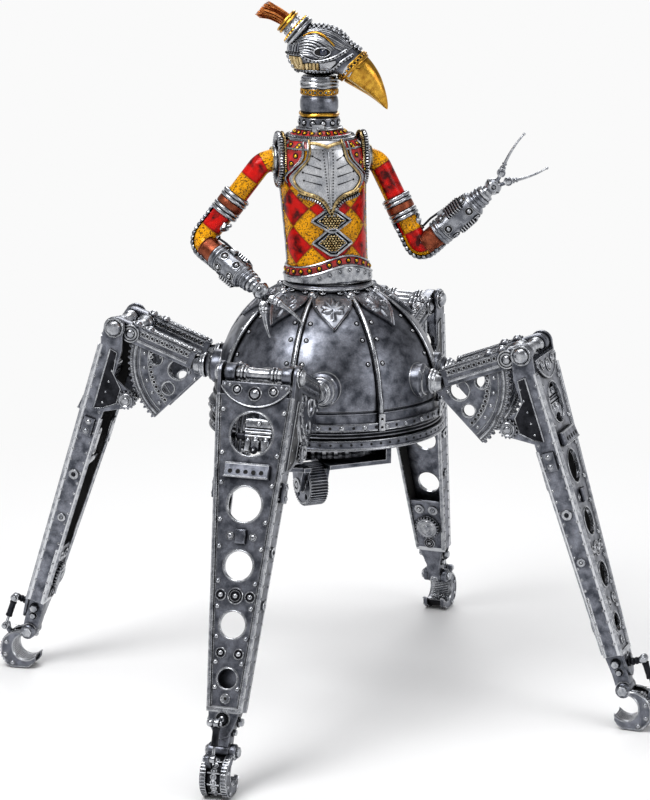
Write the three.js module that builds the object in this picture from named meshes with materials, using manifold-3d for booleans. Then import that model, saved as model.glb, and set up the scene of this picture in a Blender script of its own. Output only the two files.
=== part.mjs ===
import * as THREE from 'three';
import { mergeVertices } from 'three/addons/utils/BufferGeometryUtils.js';
import Module from 'manifold-3d';

// A bird-headed mechanical figure whose trunk swivels on a domed carriage with four jointed legs.
// Lengths are millimetres and angles degrees. +Z is up, the walker's front faces -Y,
// its feet stand on Z = 0 and the middle of their stance is the origin.

// Fits and facets shared by every piece
const gap = 0.3;
const overrun = 2;
const weldDistance = 0.0001;
const facetTolerance = 0.04;
const domeSides = 24;
const ringSides = 12;
const boreSides = 8;
const rodSides = 6;

// Domed carriage: drops are measured down from the dome's foot and rises up from the piece below
const dome = { radius: 77, skirt: 25.4, wall: 2.5, mouthRadius: 24, arcSteps: 4 };
const hoop = { thickness: 3.3, height: 8 };
const rimBand = { thickness: 2, channel: 4, height: 13, beadRise: 0.7 };
const strap = { count: 8, thickness: 1.7, width: 4.6, topGap: 1, stepRise: 2.6, lap: 2 };
const collar = { innerRadius: 20, radius: 30, rise: 2.64, depth: 9.6 };
const leaf = { count: 8, thickness: 1.5, root: 25, tip: 53, halfWidth: 10, shoulder: 35, neck: 4.5 };
const leafWaistShare = 0.62;
const basePlate = { thickness: 3, holeRadius: 8, holeInset: 18.2, holes: 6 };
const spigot = { radius: 5, drop: 23, capRadius: 9, capThickness: 4.6 };
const mainGear = {
  teeth: 24, radius: 30.8, rootRadius: 28, drop: 15, thickness: 5, hubRadius: 9, hubRise: 7, dishRadius: 23,
  dishRise: 5,
};
const drivePinion = {
  teeth: 6, radius: 7.7, rootRadius: 5.6, thickness: 12, azimuth: -60, below: 2, pinRadius: 2.5,
  pinCapRadius: 4.5, pinCapThickness: 2.4,
};
const gearCase = {
  radius: 46, wall: 4, depth: 28, floorThickness: 3, frontEdge: 17, cheekThickness: 3.2, cheekWidth: 20,
};
const drum = {
  radius: 15, width: 13, offsetX: -13, offsetY: -2, drop: 12, axleRadius: 2.4, sideGap: 0.7, holeRadius: 2,
  holeReach: 9.5, holes: 5, holeSides: 5,
};

// Legs: run and reach are measured outward, rise upward
const legNames = ['front_left', 'front_right', 'rear_left', 'rear_right'];
const frontLegAzimuth = 44;
const rearLegAzimuth = 130;
const hip = {
  rise: 15.6, standoff: 5, bossRadius: 7, bossStand: 3, bossDepth: 13, collarRadius: 8.5, collarLength: 8,
};
const knee = { run: 62, rise: 23.7 };
const beam = { spacing: 38, width: 7, hipRadius: 5.5, kneeRadius: 6.5, start: 10 };
const sector = {
  radius: 54.2, toothDepth: 1.6, teeth: 15, upperAngle: 18, lowerAngle: -48, thickness: 2.6, margin: 4.5,
};
const sectorHoleReaches = [19, 34, 31];
const sectorHoleRadii = [6.6, 4.2, 4.2];
const sectorHoleAngles = [-14, 4, -35];
const crossPin = { radius: 5.2, setback: 11.4 };
const axle = { radius: 2.6, sleeveRadius: 4.4, collarRadius: 5.2, collarLength: 3.8 };
const shank = {
  lean: 17.4, length: 214.5, topWidth: 52.7, bottomWidth: 22.8, wall: 2.2, faceX: 6.5, topBack: 10,
  bottomBack: 6, kneeRadius: 7.6, straight: 9, mouth: 14, floor: 3,
};
const windowDowns = [38.7, 83.4, 122.4, 159.9, 193.9];
const windowRadii = [14, 11.4, 9.5, 8.6, 6.4];
const backPlate = { height: 43.5, thickness: 2.2 };
const discUps = [36.5, 36.5, 21.5];
const discAcrosses = [5.4, -5.4, 0];
const discRadii = [4, 4, 9];
const discRises = [3, 3, 4.2];
const tie = { radius: 2, down: 104 };
const engine = { down: 40, radius: 3, blockWidth: 15, blockHeight: 12, blockDepth: 9 };
const pinion = {
  down: 46, mesh: 0.12, radius: 6.3, rootRadius: 4.6, teeth: 8, wheelWidth: 3.2, shaftRadius: 2,
  earRadius: 6, earFoot: 14.4,
};
const ankle = {
  below: 25.1, shoulderAbove: 11.6, shoulderHalfWidth: 5.2, topHalfWidth: 10, cheekRadius: 5.4, lap: 3,
};
const horn = { above: 17.6, reach: 18, rodRadius: 1.8, side: 3.7, pinRadius: 1.3, pinEnd: 2.4, root: 4 };
const claw = {
  width: 17, slotHalfWidth: 5.5, radius: 14, centreAhead: 6.35, centreBelow: 13.86, centreHeight: 13.2,
  hollowRadius: 9, hollowBack: 4.4, hollowUp: 2, startAngle: 112, tipAngle: -146, pinRadius: 2.5,
  bossRadius: 5.2,
};
const lug = {
  ahead: 13, up: 14.8, radius: 2.4, rootAhead: 7, rootUp: 7.8, rootRadius: 3, inner: 2, outer: 5.5,
  pinRadius: 1.1, pinEnd: 2.4,
};
const ram = {
  eyeRadius: 2.9, eyeWidth: 3.2, barrelRadius: 2.2, barrelLength: 14.5, boreRadius: 1.5, boreTop: 4,
  rodRadius: 1, rodTop: 8.6, rodEyeRadius: 2.6, rodEyeSlack: 0.7,
};

// Trunk: local front is -Y. Heights are shares of its height and widths shares of half its width
const trunk = {
  twist: -14.8, height: 103.5, halfWidth: 29.6, lean: -7, wall: 2.2, sides: 14, bossRadius: 9, bossDepth: 13,
};
const trunkDepthShare = 0.8;
const shoulderHeightShare = 0.797;
const shoulderSpanShare = 1.047;
const trunkProfileShares = [
  [0.929, 0], [0.919, 0.13], [0.932, 0.314], [0.966, 0.556], [1, 0.729], [0.986, 0.836], [0.861, 0.913],
  [0.574, 0.966], [0.439, 1],
];
const belt = { thickness: 2.4, buckleRise: 1.4 };
const beltTopShare = 0.111;
const buckleShares = [[0.405, 0.02], [0.405, 0.101]];
const breastplate = { thickness: 1.8 };
const breastplateShares = [
  [0, 0.478], [0.152, 0.553], [0.338, 0.591], [0.603, 0.614], [0.794, 0.691], [0.651, 0.758], [0.456, 0.826],
  [0.389, 0.928],
];
const fanShares = [
  [[0.068, 0.353], [0.439, 0.423], [0.068, 0.507]],
  [[0.068, 0.198], [0.439, 0.276], [0.068, 0.372]],
];
const gorget = { thickness: 2 };
const gorgetFootShare = 0.957;
const shoulderRing = { radius: 18.5, innerRadius: 13.4, inset: 5.5, thickness: 4.9 };
const shoulderRingDepthShare = 0.78;
const neck = { height: 34.7, radius: 13.4, backset: 1.5 };
const neckBandShares = [
  [1, 0], [1, 0.2], [0.91, 0.22], [0.985, 0.26], [0.985, 0.4], [0.866, 0.42], [0.866, 0.6], [0.97, 0.64],
  [0.97, 0.76], [0.881, 0.79], [0.925, 0.88], [0.851, 1],
];

// Head: local front is -Y and places are taken from its own centre
const head = {
  azimuth: 55, rise: 16, length: 42, tall: 34, wide: 29, rows: 7, columns: 12, eyeRadius: 4.2, eyeForward: 4,
  eyeUp: 3.5, eyeReach: 15.2, browRadius: 5.6, browReach: 13.6,
};
const beakRing = { forward: 24.2, drop: 11.2, pitch: 45, radius: 12.6, thickness: 5 };
const beak = { length: 38, rootRadius: 11, startPitch: 34, bend: 30, tipRadius: 0.7, buried: 4 };
const beakWideShare = 0.72;
const beakShares = [[1, 0], [1, 0.14], [0.9, 0.3], [0.74, 0.48], [0.52, 0.66], [0.3, 0.84]];
const crest = {
  back: 13.5, up: 12.4, pitch: 40, rootRadius: 12, buried: 8, ringThickness: 3.5, neckRadius: 8.4,
  mouthRadius: 8, lipRadius: 6.9, length: 12.5, cupRadius: 5.2, cupDepth: 4,
};
const plume = {
  backing: 2.6, length: 20.5, bend: 20, strandRadius: 0.18, rootDepth: 0.5, edgeMargin: 0.35,
  hexSpacing: 0.465,
};
const plumeSpreadShare = 0.4;

// Arms: their corners are shares of the trunk's height, taken from the shoulder in the trunk's own frame
const armTube = { radius: 7.35, sides: 8, steps: 10, bendCut: 13, rootRadius: 9.4, rootThickness: 2.4 };
const clampBand = { radius: 10.2, waistRadius: 9, length: 17, ringLength: 5.6 };
const clampPlaceShare = 0.52;
const gauntlet = {
  start: 16, radius: 8.9, cuffRadius: 9.6, cuffLength: 4.5, wristRadius: 6.6, wristLength: 7,
};
const palm = { ballRadius: 5.8, discRadius: 6.2, discThickness: 2.2, neckRadius: 4.2, fromWrist: 9 };
const knuckle = {
  reach: 10.6, discRadius: 2.9, discWidth: 4, pinRadius: 1.1, lugRadius: 2.6, lugInner: 2.3, lugOuter: 4.8,
};
const rightArm = { side: -1, radiusA: 2.7, radiusB: 2.4, tipRadius: 0.65 };
const leftArm = { side: 1, radiusA: 1.2, radiusB: 1.2, tipRadius: 0.6 };
const rightArmShares = {
  outer: [-0.0908, 0.0058, -0.0242], elbow: [-0.4773, 0.057, -0.5411], wrist: [-0.2068, -0.2763, -0.7585],
  tipA: [-0.1198, -0.4647, -1.0821], tipB: [0.0831, -0.513, -0.9855],
};
const leftArmShares = {
  outer: [0.0831, -0.0097, -0.029], elbow: [0.344, -0.1411, -0.5942], wrist: [0.7169, -0.2995, -0.2184],
  tipA: [0.9681, -0.3536, 0.1816], tipB: [1.1188, -0.3845, -0.0386],
};
const cornerShare = 0.45;
const fingerBend = 24;

// Finishes
const finishes = {
  gunmetal: { color: 0x4b4e53, roughness: 0.45, metalness: 0.9 },
  steel: { color: 0x8d9197, roughness: 0.35, metalness: 0.95 },
  darkSteel: { color: 0x2f3135, roughness: 0.5, metalness: 0.85 },
  red: { color: 0x9c1416, roughness: 0.45, metalness: 0.1 },
  gold: { color: 0xc99627, roughness: 0.35, metalness: 0.9 },
  bristle: { color: 0xb4532a, roughness: 0.7, metalness: 0.2 },
};

const wasm = await Module();
wasm.setup();

// Angles and directions
const radians = THREE.MathUtils.degToRad;
const quarterTurn = Math.PI / 2;
const cosine = (degrees) => Math.cos(radians(degrees));
const sine = (degrees) => Math.sin(radians(degrees));
const point = (x, y, z) => new THREE.Vector3(x, y, z);
const upward = point(0, 0, 1);

// Places worked out from the ground up
const ankleHeight = claw.centreHeight + claw.centreBelow;
const ankleDown = shank.length + ankle.below;
const kneeHeight = ankleHeight + ankleDown * cosine(shank.lean);
const hipHeight = kneeHeight - knee.rise;
const domeCentre = hipHeight - hip.rise;
const domeFoot = domeCentre - dome.skirt;
const domeCrown = domeCentre + Math.sqrt(dome.radius ** 2 - dome.mouthRadius ** 2);
const collarTop = domeCrown + collar.rise;
const hipReach = dome.radius + hip.standoff;
const hipFace = dome.radius + hip.bossStand;
const kneeReach = hipReach + knee.run;
const ankleReach = kneeReach + ankleDown * sine(shank.lean);
const clawReach = ankleReach + claw.centreAhead;
const trunkBottom = collarTop + gap;
const trunkTop = trunkBottom + trunk.height;
const neckBottom = trunkTop + gap;
const neckTop = neckBottom + neck.height;
const headHeight = neckTop + head.rise;

// The radius of a faceted bore that clears a round of the given radius by the shared gap
const bore = (radius, sides = boreSides) => (radius + gap) / Math.cos(Math.PI / sides);

// A closed geometry as a solid for joining and cutting
function solid(geometry) {
  const bare = new THREE.BufferGeometry();
  bare.setAttribute('position', geometry.getAttribute('position').clone());
  bare.setIndex(geometry.getIndex());
  const welded = mergeVertices(bare, weldDistance);
  const places = welded.getAttribute('position').array;
  const corners = welded.getIndex().array;
  const kept = [];
  const a = new THREE.Vector3();
  const b = new THREE.Vector3();
  const c = new THREE.Vector3();
  let volume = 0;
  for (let i = 0; i < corners.length; i += 3) {
    const [p, q, r] = corners.slice(i, i + 3);
    if (p === q || q === r || r === p) continue;
    kept.push(p, q, r);
    volume += a.fromArray(places, 3 * p).dot(b.fromArray(places, 3 * q).cross(c.fromArray(places, 3 * r)));
  }
  if (volume < 0) kept.reverse();
  const mesh = new wasm.Mesh({
    numProp: 3,
    vertProperties: new Float32Array(places),
    triVerts: new Uint32Array(kept),
  });
  return new wasm.Manifold(mesh);
}

const join = (pieces) => pieces.reduce((whole, piece) => whole.add(piece));
const cut = (whole, tools) => tools.reduce((rest, tool) => rest.subtract(tool), whole);

// A turned piece: [radius, height] pairs about the upright axis, closed on the axis or on themselves
function turned(profile, sides) {
  const closed = profile[0][0] === 0 ? profile : [...profile, profile[0]];
  const outline = closed.map(([radius, height]) => new THREE.Vector2(radius, height));
  return new THREE.LatheGeometry(outline, sides).rotateX(quarterTurn);
}

// Turns a geometry's upright axis to a direction and moves its origin to a place
function aimed(geometry, place, direction) {
  const turn = new THREE.Quaternion().setFromUnitVectors(upward, direction.clone().normalize());
  return geometry.applyQuaternion(turn).translate(place.x, place.y, place.z);
}

function rod(from, to, radius, sides = rodSides, endRadius = radius) {
  const axis = to.clone().sub(from);
  const length = axis.length();
  return solid(aimed(turned([[0, 0], [radius, 0], [endRadius, length], [0, length]], sides), from, axis));
}

function block(centre, width, depth, height) {
  return solid(new THREE.BoxGeometry(width, depth, height).translate(centre.x, centre.y, centre.z));
}

// A flat plate of an XY outline, centred on the plane Z = 0
function plate(outline, thickness) {
  const shape = new THREE.Shape(outline.map(([x, y]) => new THREE.Vector2(x, y)));
  const settings = { depth: thickness, bevelEnabled: false, steps: 1 };
  return new THREE.ExtrudeGeometry(shape, settings).translate(0, 0, -thickness / 2);
}

// The same plate stood up: its outline lies in XZ and its thickness along Y
const standing = (outline, thickness) => plate(outline, thickness).rotateX(quarterTurn);

// Points on an arc about a centre, from one angle to another
function arc(centreX, centreY, radius, fromAngle, toAngle, steps) {
  return Array.from({ length: steps + 1 }, (_, i) => {
    const angle = fromAngle + (toAngle - fromAngle) * i / steps;
    return [centreX + radius * cosine(angle), centreY + radius * sine(angle)];
  });
}

// Outline of a link with a round end about each of two points
function link(startX, startY, startRadius, endX, endY, endRadius, steps) {
  const heading = THREE.MathUtils.radToDeg(Math.atan2(endY - startY, endX - startX));
  return [
    ...arc(startX, startY, startRadius, heading + 90, heading + 270, steps),
    ...arc(endX, endY, endRadius, heading - 90, heading + 90, steps),
  ];
}

// Outline of a toothed wheel, with one tip and one root flat per tooth
function toothedOutline(radius, rootRadius, teeth) {
  const outline = [];
  for (let i = 0; i < teeth; i += 1) {
    const pitch = 360 / teeth;
    outline.push([rootRadius * cosine(pitch * (i - 0.25)), rootRadius * sine(pitch * (i - 0.25))]);
    outline.push([radius * cosine(pitch * (i + 0.05)), radius * sine(pitch * (i + 0.05))]);
    outline.push([radius * cosine(pitch * (i + 0.35)), radius * sine(pitch * (i + 0.35))]);
  }
  return outline;
}

// Bends a geometry's upright axis into an arc that leans toward +X as it rises
function bent(geometry, length, angle) {
  const radius = length / radians(angle);
  const places = geometry.getAttribute('position');
  for (let i = 0; i < places.count; i += 1) {
    const turn = places.getZ(i) / radius;
    const reach = radius - places.getX(i);
    places.setX(i, radius - reach * Math.cos(turn));
    places.setZ(i, reach * Math.sin(turn));
  }
  return geometry;
}

// A tapered horn that rises from the origin and leans toward +X
function hornGeometry(rootRadius, tipRadius, length, bend, sides) {
  const steps = 3;
  const profile = [[0, 0]];
  for (let i = 0; i <= steps; i += 1) {
    const share = i / steps;
    profile.push([rootRadius + (tipRadius - rootRadius) * share, length * share]);
  }
  profile.push([0, length]);
  return bent(turned(profile, sides), length, bend);
}

const group = new THREE.Group();

function addPiece(name, piece, finish, placement = new THREE.Matrix4()) {
  const { vertProperties, triVerts } = piece.asOriginal().simplify(facetTolerance).getMesh();
  const geometry = new THREE.BufferGeometry();
  geometry.setAttribute('position', new THREE.BufferAttribute(vertProperties, 3));
  geometry.setIndex(new THREE.BufferAttribute(triVerts, 1));
  geometry.applyMatrix4(placement);
  geometry.applyMatrix4(new THREE.Matrix4().makeTranslation(0, carriageSetback(), 0));
  geometry.computeVertexNormals();
  const mesh = new THREE.Mesh(geometry, new THREE.MeshStandardMaterial(finishes[finish]));
  mesh.name = name;
  group.add(mesh);
}

// How far the carriage axis sits behind the middle of the stance
function carriageSetback() {
  const reach = clawReach + claw.radius;
  const halfWidth = claw.width / 2;
  const frontReach = reach * cosine(frontLegAzimuth) + halfWidth * sine(frontLegAzimuth);
  const rearReach = -reach * cosine(rearLegAzimuth) + halfWidth * sine(rearLegAzimuth);
  return (frontReach - rearReach) / 2;
}

// A leg's local +X points out from the carriage, and azimuth 0 is the walker's front
const aboutAxis = (azimuth) => new THREE.Matrix4().makeRotationZ(radians(azimuth));
const legPlacement = (azimuth) => aboutAxis(azimuth - 90);

// Carriage

const hoopTop = domeFoot + hoop.height;
const rimFoot = hoopTop + rimBand.channel;
const rimTop = rimFoot + rimBand.height;
const collarFoot = domeCrown - collar.depth;
const spigotBottom = domeFoot - spigot.drop;
const spigotCapTop = spigotBottom + spigot.capThickness;
const gearBottom = domeFoot - mainGear.drop;
const hubTop = gearBottom + mainGear.thickness + mainGear.hubRise;
const pinionBottom = gearBottom - drivePinion.below;
const caseBottom = domeFoot - gearCase.depth;

function domeOutline(offset) {
  const topAngle = THREE.MathUtils.radToDeg(Math.acos(dome.mouthRadius / dome.radius));
  return arc(0, domeCentre, dome.radius + offset, topAngle, 0, dome.arcSteps);
}

// The dome as a full body whose skin lies off the real one by an offset
function domeBody(offset, foot = domeFoot) {
  const crown = domeOutline(offset);
  const [, crownHeight] = crown[0];
  return solid(turned([[0, crownHeight], ...crown, [dome.radius + offset, foot], [0, foot]], domeSides));
}

function hipBosses() {
  const bosses = [];
  for (const azimuth of [frontLegAzimuth, -frontLegAzimuth, rearLegAzimuth, -rearLegAzimuth]) {
    for (const side of [-1, 1]) {
      const y = side * beam.spacing / 2;
      const place = legPlacement(azimuth);
      const from = point(dome.radius - hip.bossDepth, y, hipHeight).applyMatrix4(place);
      const to = point(hipFace, y, hipHeight).applyMatrix4(place);
      bosses.push(rod(from, to, hip.bossRadius, rodSides));
    }
  }
  return bosses;
}

function domeShell() {
  const outer = domeOutline(0);
  const inner = domeOutline(-dome.wall).reverse();
  const profile = [...outer, [dome.radius, domeFoot], [dome.radius - dome.wall, domeFoot], ...inner];
  return join([solid(turned(profile, domeSides)), ...hipBosses()]);
}

function ribCage() {
  const inner = dome.radius + gap;
  const hoopOuter = inner + hoop.thickness;
  const ring = turned([
    [inner, domeFoot], [hoopOuter, domeFoot], [hoopOuter, hoopTop], [inner, hoopTop],
  ], domeSides);
  const overBand = inner + rimBand.thickness + rimBand.beadRise + gap;
  const stepHeight = domeCentre + strap.stepRise;
  const strapFoot = hoopTop - strap.lap;
  const lower = domeOutline(gap);
  const upper = domeOutline(gap + strap.thickness).reverse();
  const outline = [
    ...lower.slice(0, -1), [overBand, stepHeight], [overBand, strapFoot],
    [overBand + strap.thickness, strapFoot], [overBand + strap.thickness, stepHeight + strap.thickness],
    ...upper.slice(1),
  ];
  const straps = Array.from({ length: strap.count }, (_, i) => {
    const geometry = standing(outline, strap.width);
    return solid(geometry.applyMatrix4(legPlacement(i * 360 / strap.count)));
  });
  const crown = point(0, 0, domeCentre);
  const clear = rod(crown, point(0, 0, collarTop), collar.radius + strap.topGap, domeSides);
  return cut(join([solid(ring), ...straps]), [clear]);
}

function rimBandSolid() {
  const inner = dome.radius + gap;
  const outer = inner + rimBand.thickness;
  const bead = outer + rimBand.beadRise;
  return solid(turned([
    [inner, rimFoot], [outer, rimFoot], [bead, rimTop], [inner, rimTop],
  ], domeSides));
}

function leafCollar() {
  const ring = solid(turned([
    [collar.innerRadius, collarFoot], [collar.radius, collarFoot], [collar.radius, collarTop],
    [collar.innerRadius, collarTop],
  ], domeSides));
  const half = [
    [leaf.root, leaf.neck], [leaf.root + leaf.neck, leaf.neck],
    [leaf.shoulder, leaf.halfWidth], [(leaf.shoulder + leaf.tip) / 2, leaf.halfWidth * leafWaistShare],
    [leaf.tip, 0],
  ];
  const mirrored = half.slice(0, -1).map(([x, y]) => [x, -y]).reverse();
  const tall = 2 * dome.radius;
  const leaves = Array.from({ length: leaf.count }, (_, i) => {
    const azimuth = (i + 0.5) * 360 / leaf.count;
    const geometry = plate([...half, ...mirrored], tall).translate(0, 0, domeCentre + tall / 2);
    return solid(geometry.applyMatrix4(legPlacement(azimuth)));
  });
  const skin = domeBody(gap + leaf.thickness).subtract(domeBody(gap, domeFoot - overrun));
  return join([cut(ring, [domeBody(gap)]), skin.intersect(join(leaves))]);
}

const pinionReach = mainGear.radius + drivePinion.radius + gap + gap / 2;
const pinionPlace = point(pinionReach, 0, 0).applyMatrix4(legPlacement(drivePinion.azimuth));

function basePlateSolid() {
  const bottom = domeFoot;
  const top = bottom + basePlate.thickness;
  const radius = dome.radius - dome.wall - gap;
  const disc = solid(turned([[0, bottom], [radius, bottom], [radius, top], [0, top]], domeSides));
  const holes = Array.from({ length: basePlate.holes }, (_, i) => {
    const azimuth = drivePinion.azimuth + (i + 0.5) * 360 / basePlate.holes;
    const place = point(radius - basePlate.holeInset, 0, bottom - overrun).applyMatrix4(legPlacement(azimuth));
    return rod(place, place.clone().setZ(top + overrun), basePlate.holeRadius, rodSides);
  });
  const stem = solid(turned([
    [0, spigotBottom], [spigot.capRadius, spigotBottom], [spigot.capRadius, spigotCapTop],
    [spigot.radius, spigotCapTop], [spigot.radius, top], [0, top],
  ], boreSides));
  const capTop = pinionBottom - gap;
  const capBottom = capTop - drivePinion.pinCapThickness;
  const pin = solid(turned([
    [0, capBottom], [drivePinion.pinCapRadius, capBottom], [drivePinion.pinCapRadius, capTop],
    [drivePinion.pinRadius, capTop], [drivePinion.pinRadius, top], [0, top],
  ], boreSides).translate(pinionPlace.x, pinionPlace.y, 0));
  return join([cut(disc, holes), stem, pin]);
}

function mainGearSolid() {
  const bottom = gearBottom;
  const top = bottom + mainGear.thickness;
  const outline = toothedOutline(mainGear.radius, mainGear.rootRadius, mainGear.teeth);
  const teeth = solid(plate(outline, mainGear.thickness).translate(0, 0, (bottom + top) / 2));
  const hubBottom = spigotCapTop + gap;
  const hub = solid(turned([
    [0, hubBottom], [mainGear.hubRadius, hubBottom], [mainGear.dishRadius, top - gap],
    [mainGear.hubRadius, top + mainGear.dishRise], [mainGear.hubRadius, hubTop], [0, hubTop],
  ], ringSides));
  const wayBottom = point(0, 0, hubBottom - overrun);
  const way = rod(wayBottom, point(0, 0, hubTop + overrun), bore(spigot.radius), boreSides);
  return cut(join([teeth, hub]), [way]);
}

function drivePinionSolid() {
  const bottom = pinionBottom;
  const top = bottom + drivePinion.thickness;
  const outline = toothedOutline(drivePinion.radius, drivePinion.rootRadius, drivePinion.teeth);
  const wheel = solid(plate(outline, drivePinion.thickness).translate(0, 0, (bottom + top) / 2));
  const way = rod(point(0, 0, bottom - overrun), point(0, 0, top + overrun), bore(drivePinion.pinRadius));
  return cut(wheel, [way]);
}

const drumCentre = point(drum.offsetX, drum.offsetY, caseBottom - drum.drop);
const cheekInner = drum.width / 2 + drum.sideGap;

function gearCaseSolid() {
  const top = domeFoot - gap;
  const floorTop = caseBottom + gearCase.floorThickness;
  const pan = solid(turned([
    [0, caseBottom], [gearCase.radius, caseBottom], [gearCase.radius, top],
    [gearCase.radius - gearCase.wall, top], [gearCase.radius - gearCase.wall, floorTop], [0, floorTop],
  ], ringSides));
  const reach = 2 * gearCase.radius;
  const open = block(point(0, -gearCase.frontEdge - reach / 2, domeFoot), reach, reach, 2 * gearCase.radius);
  const slot = block(point(drumCentre.x, drumCentre.y, drumCentre.z), 2 * cheekInner,
    2 * (drum.radius + drum.sideGap), 2 * (drum.radius + overrun));
  const pinWay = rod(point(pinionPlace.x, pinionPlace.y, caseBottom - overrun),
    point(pinionPlace.x, pinionPlace.y, domeFoot), drivePinion.radius + overrun);
  const cheekTop = floorTop - drumCentre.z - gap;
  const cheeks = [-1, 1].map((side) => {
    const outline = [
      ...arc(0, 0, gearCase.cheekWidth / 4, 180, 360, 4),
      [gearCase.cheekWidth / 2, cheekTop], [-gearCase.cheekWidth / 2, cheekTop],
    ];
    const x = side * (cheekInner + gearCase.cheekThickness / 2);
    const geometry = standing(outline, gearCase.cheekThickness).rotateZ(quarterTurn);
    return solid(geometry.translate(drumCentre.x + x, drumCentre.y, drumCentre.z));
  });
  const span = point(cheekInner + gearCase.cheekThickness + overrun, 0, 0);
  const axleWay = rod(drumCentre.clone().sub(span), drumCentre.clone().add(span), bore(drum.axleRadius));
  return cut(join([cut(pan, [open, slot, pinWay]), ...cheeks]), [axleWay]);
}

function drumWheel() {
  const half = drum.width / 2;
  const reach = cheekInner + gearCase.cheekThickness;
  const profile = [
    [0, -reach], [drum.axleRadius, -reach], [drum.axleRadius, -half],
    [drum.radius, -half], [drum.radius, half],
    [drum.axleRadius, half], [drum.axleRadius, reach], [0, reach],
  ];
  const wheel = solid(aimed(turned(profile, ringSides), drumCentre, point(1, 0, 0)));
  const holes = Array.from({ length: drum.holes }, (_, i) => {
    const angle = (i + 0.5) * 360 / drum.holes;
    const spoke = point(-half - overrun, drum.holeReach * cosine(angle), drum.holeReach * sine(angle));
    const from = drumCentre.clone().add(spoke);
    const to = from.clone().setX(drumCentre.x + half + overrun);
    return rod(from, to, drum.holeRadius, drum.holeSides);
  });
  return cut(wheel, holes);
}

// Legs

const kneePoint = point(kneeReach, 0, kneeHeight);
const thighAngle = THREE.MathUtils.radToDeg(Math.atan2(kneeHeight - hipHeight, kneeReach - hipReach));
const thighAt = (fromKnee) => [
  kneeReach - fromKnee * cosine(thighAngle), kneeHeight - fromKnee * sine(thighAngle),
];

// A place on the shank: out from its middle plane, across it and down from the knee
function shankPoint(outward, across, down) {
  return point(
    kneeReach + outward * cosine(shank.lean) + down * sine(shank.lean),
    across,
    kneeHeight + outward * sine(shank.lean) - down * cosine(shank.lean),
  );
}

// Turns a geometry drawn with the knee at the origin and the shank hanging straight down
function onShank(geometry) {
  return geometry.rotateY(-radians(shank.lean)).translate(kneeReach, 0, kneeHeight);
}

// The sector pinion stands behind the shank where its teeth meet the sector's about the hip
function pinionSetback() {
  const level = shankPoint(0, 0, pinion.down).sub(point(hipReach, 0, hipHeight));
  const along = level.x * cosine(shank.lean) + level.z * sine(shank.lean);
  const distance = sector.radius + pinion.radius - pinion.mesh;
  return along - Math.sqrt(along ** 2 - level.lengthSq() + distance ** 2);
}

const pinionBack = pinionSetback();

function sectorOutline() {
  const outline = arc(0, 0, sector.margin, sector.lowerAngle - 90, sector.lowerAngle - 180, 1);
  outline.reverse();
  const pitch = (sector.upperAngle - sector.lowerAngle) / sector.teeth;
  for (let i = 0; i < sector.teeth; i += 1) {
    const angle = sector.lowerAngle + pitch * i;
    const root = sector.radius - sector.toothDepth;
    outline.push([root * cosine(angle), root * sine(angle)]);
    outline.push([sector.radius * cosine(angle + pitch / 2), sector.radius * sine(angle + pitch / 2)]);
  }
  outline.push([sector.radius * cosine(sector.upperAngle), sector.radius * sine(sector.upperAngle)]);
  outline.push([sector.margin * cosine(thighAngle + 90), sector.margin * sine(thighAngle + 90)]);
  return outline;
}

function thighFrame() {
  const [pinX, pinZ] = thighAt(crossPin.setback);
  const thighLength = Math.hypot(kneeReach - hipReach, kneeHeight - hipHeight);
  const [startX, startZ] = thighAt(thighLength - beam.start);
  const beamOutline = link(startX, startZ, beam.hipRadius, kneeReach, kneeHeight, beam.kneeRadius, 3);
  const parts = [];
  for (const side of [-1, 1]) {
    const y = side * beam.spacing / 2;
    const collarStart = point(hipFace + gap, y, hipHeight);
    const collarEnd = point(hipFace + gap + hip.collarLength, y, hipHeight);
    const holes = sectorHoleReaches.map((reach, i) => {
      const angle = sectorHoleAngles[i];
      const middle = point(hipReach + reach * cosine(angle), y, hipHeight + reach * sine(angle));
      const half = point(0, sector.thickness, 0);
      const sides = i === 0 ? boreSides : rodSides;
      return rod(middle.clone().sub(half), middle.clone().add(half), sectorHoleRadii[i], sides);
    });
    const sheet = solid(standing(sectorOutline(), sector.thickness).translate(hipReach, y, hipHeight));
    parts.push(cut(sheet, holes));
    parts.push(solid(standing(beamOutline, beam.width).translate(0, y, 0)));
    parts.push(rod(collarStart, collarEnd, hip.collarRadius, rodSides, beam.hipRadius));
  }
  const halfSpan = beam.spacing / 2;
  parts.push(rod(point(pinX, -halfSpan, pinZ), point(pinX, halfSpan, pinZ), crossPin.radius));
  const trimCentre = point(hipFace + gap - hipReach / 2, 0, hipHeight);
  const trim = block(trimCentre, hipReach, 2 * hipReach, 2 * hipReach);
  const reach = point(0, beam.spacing, 0);
  const axleWay = rod(kneePoint.clone().sub(reach), kneePoint.clone().add(reach), bore(axle.radius));
  return cut(join(parts), [trim, axleWay]);
}

function kneeAxle() {
  const sideFace = shank.topWidth / 2 + gap;
  const sleeveEnd = beam.spacing / 2 - beam.width / 2 - gap;
  const end = sideFace + axle.collarLength;
  const half = [
    [axle.sleeveRadius, 0], [axle.sleeveRadius, sleeveEnd], [axle.radius, sleeveEnd],
    [axle.radius, sideFace], [axle.collarRadius, sideFace], [axle.collarRadius, end], [0, end],
  ];
  const mirrored = half.slice(1).map(([radius, height]) => [radius, -height]).reverse();
  return solid(aimed(turned([...mirrored, ...half.slice(1)], boreSides), kneePoint, point(0, 1, 0)));
}

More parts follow.
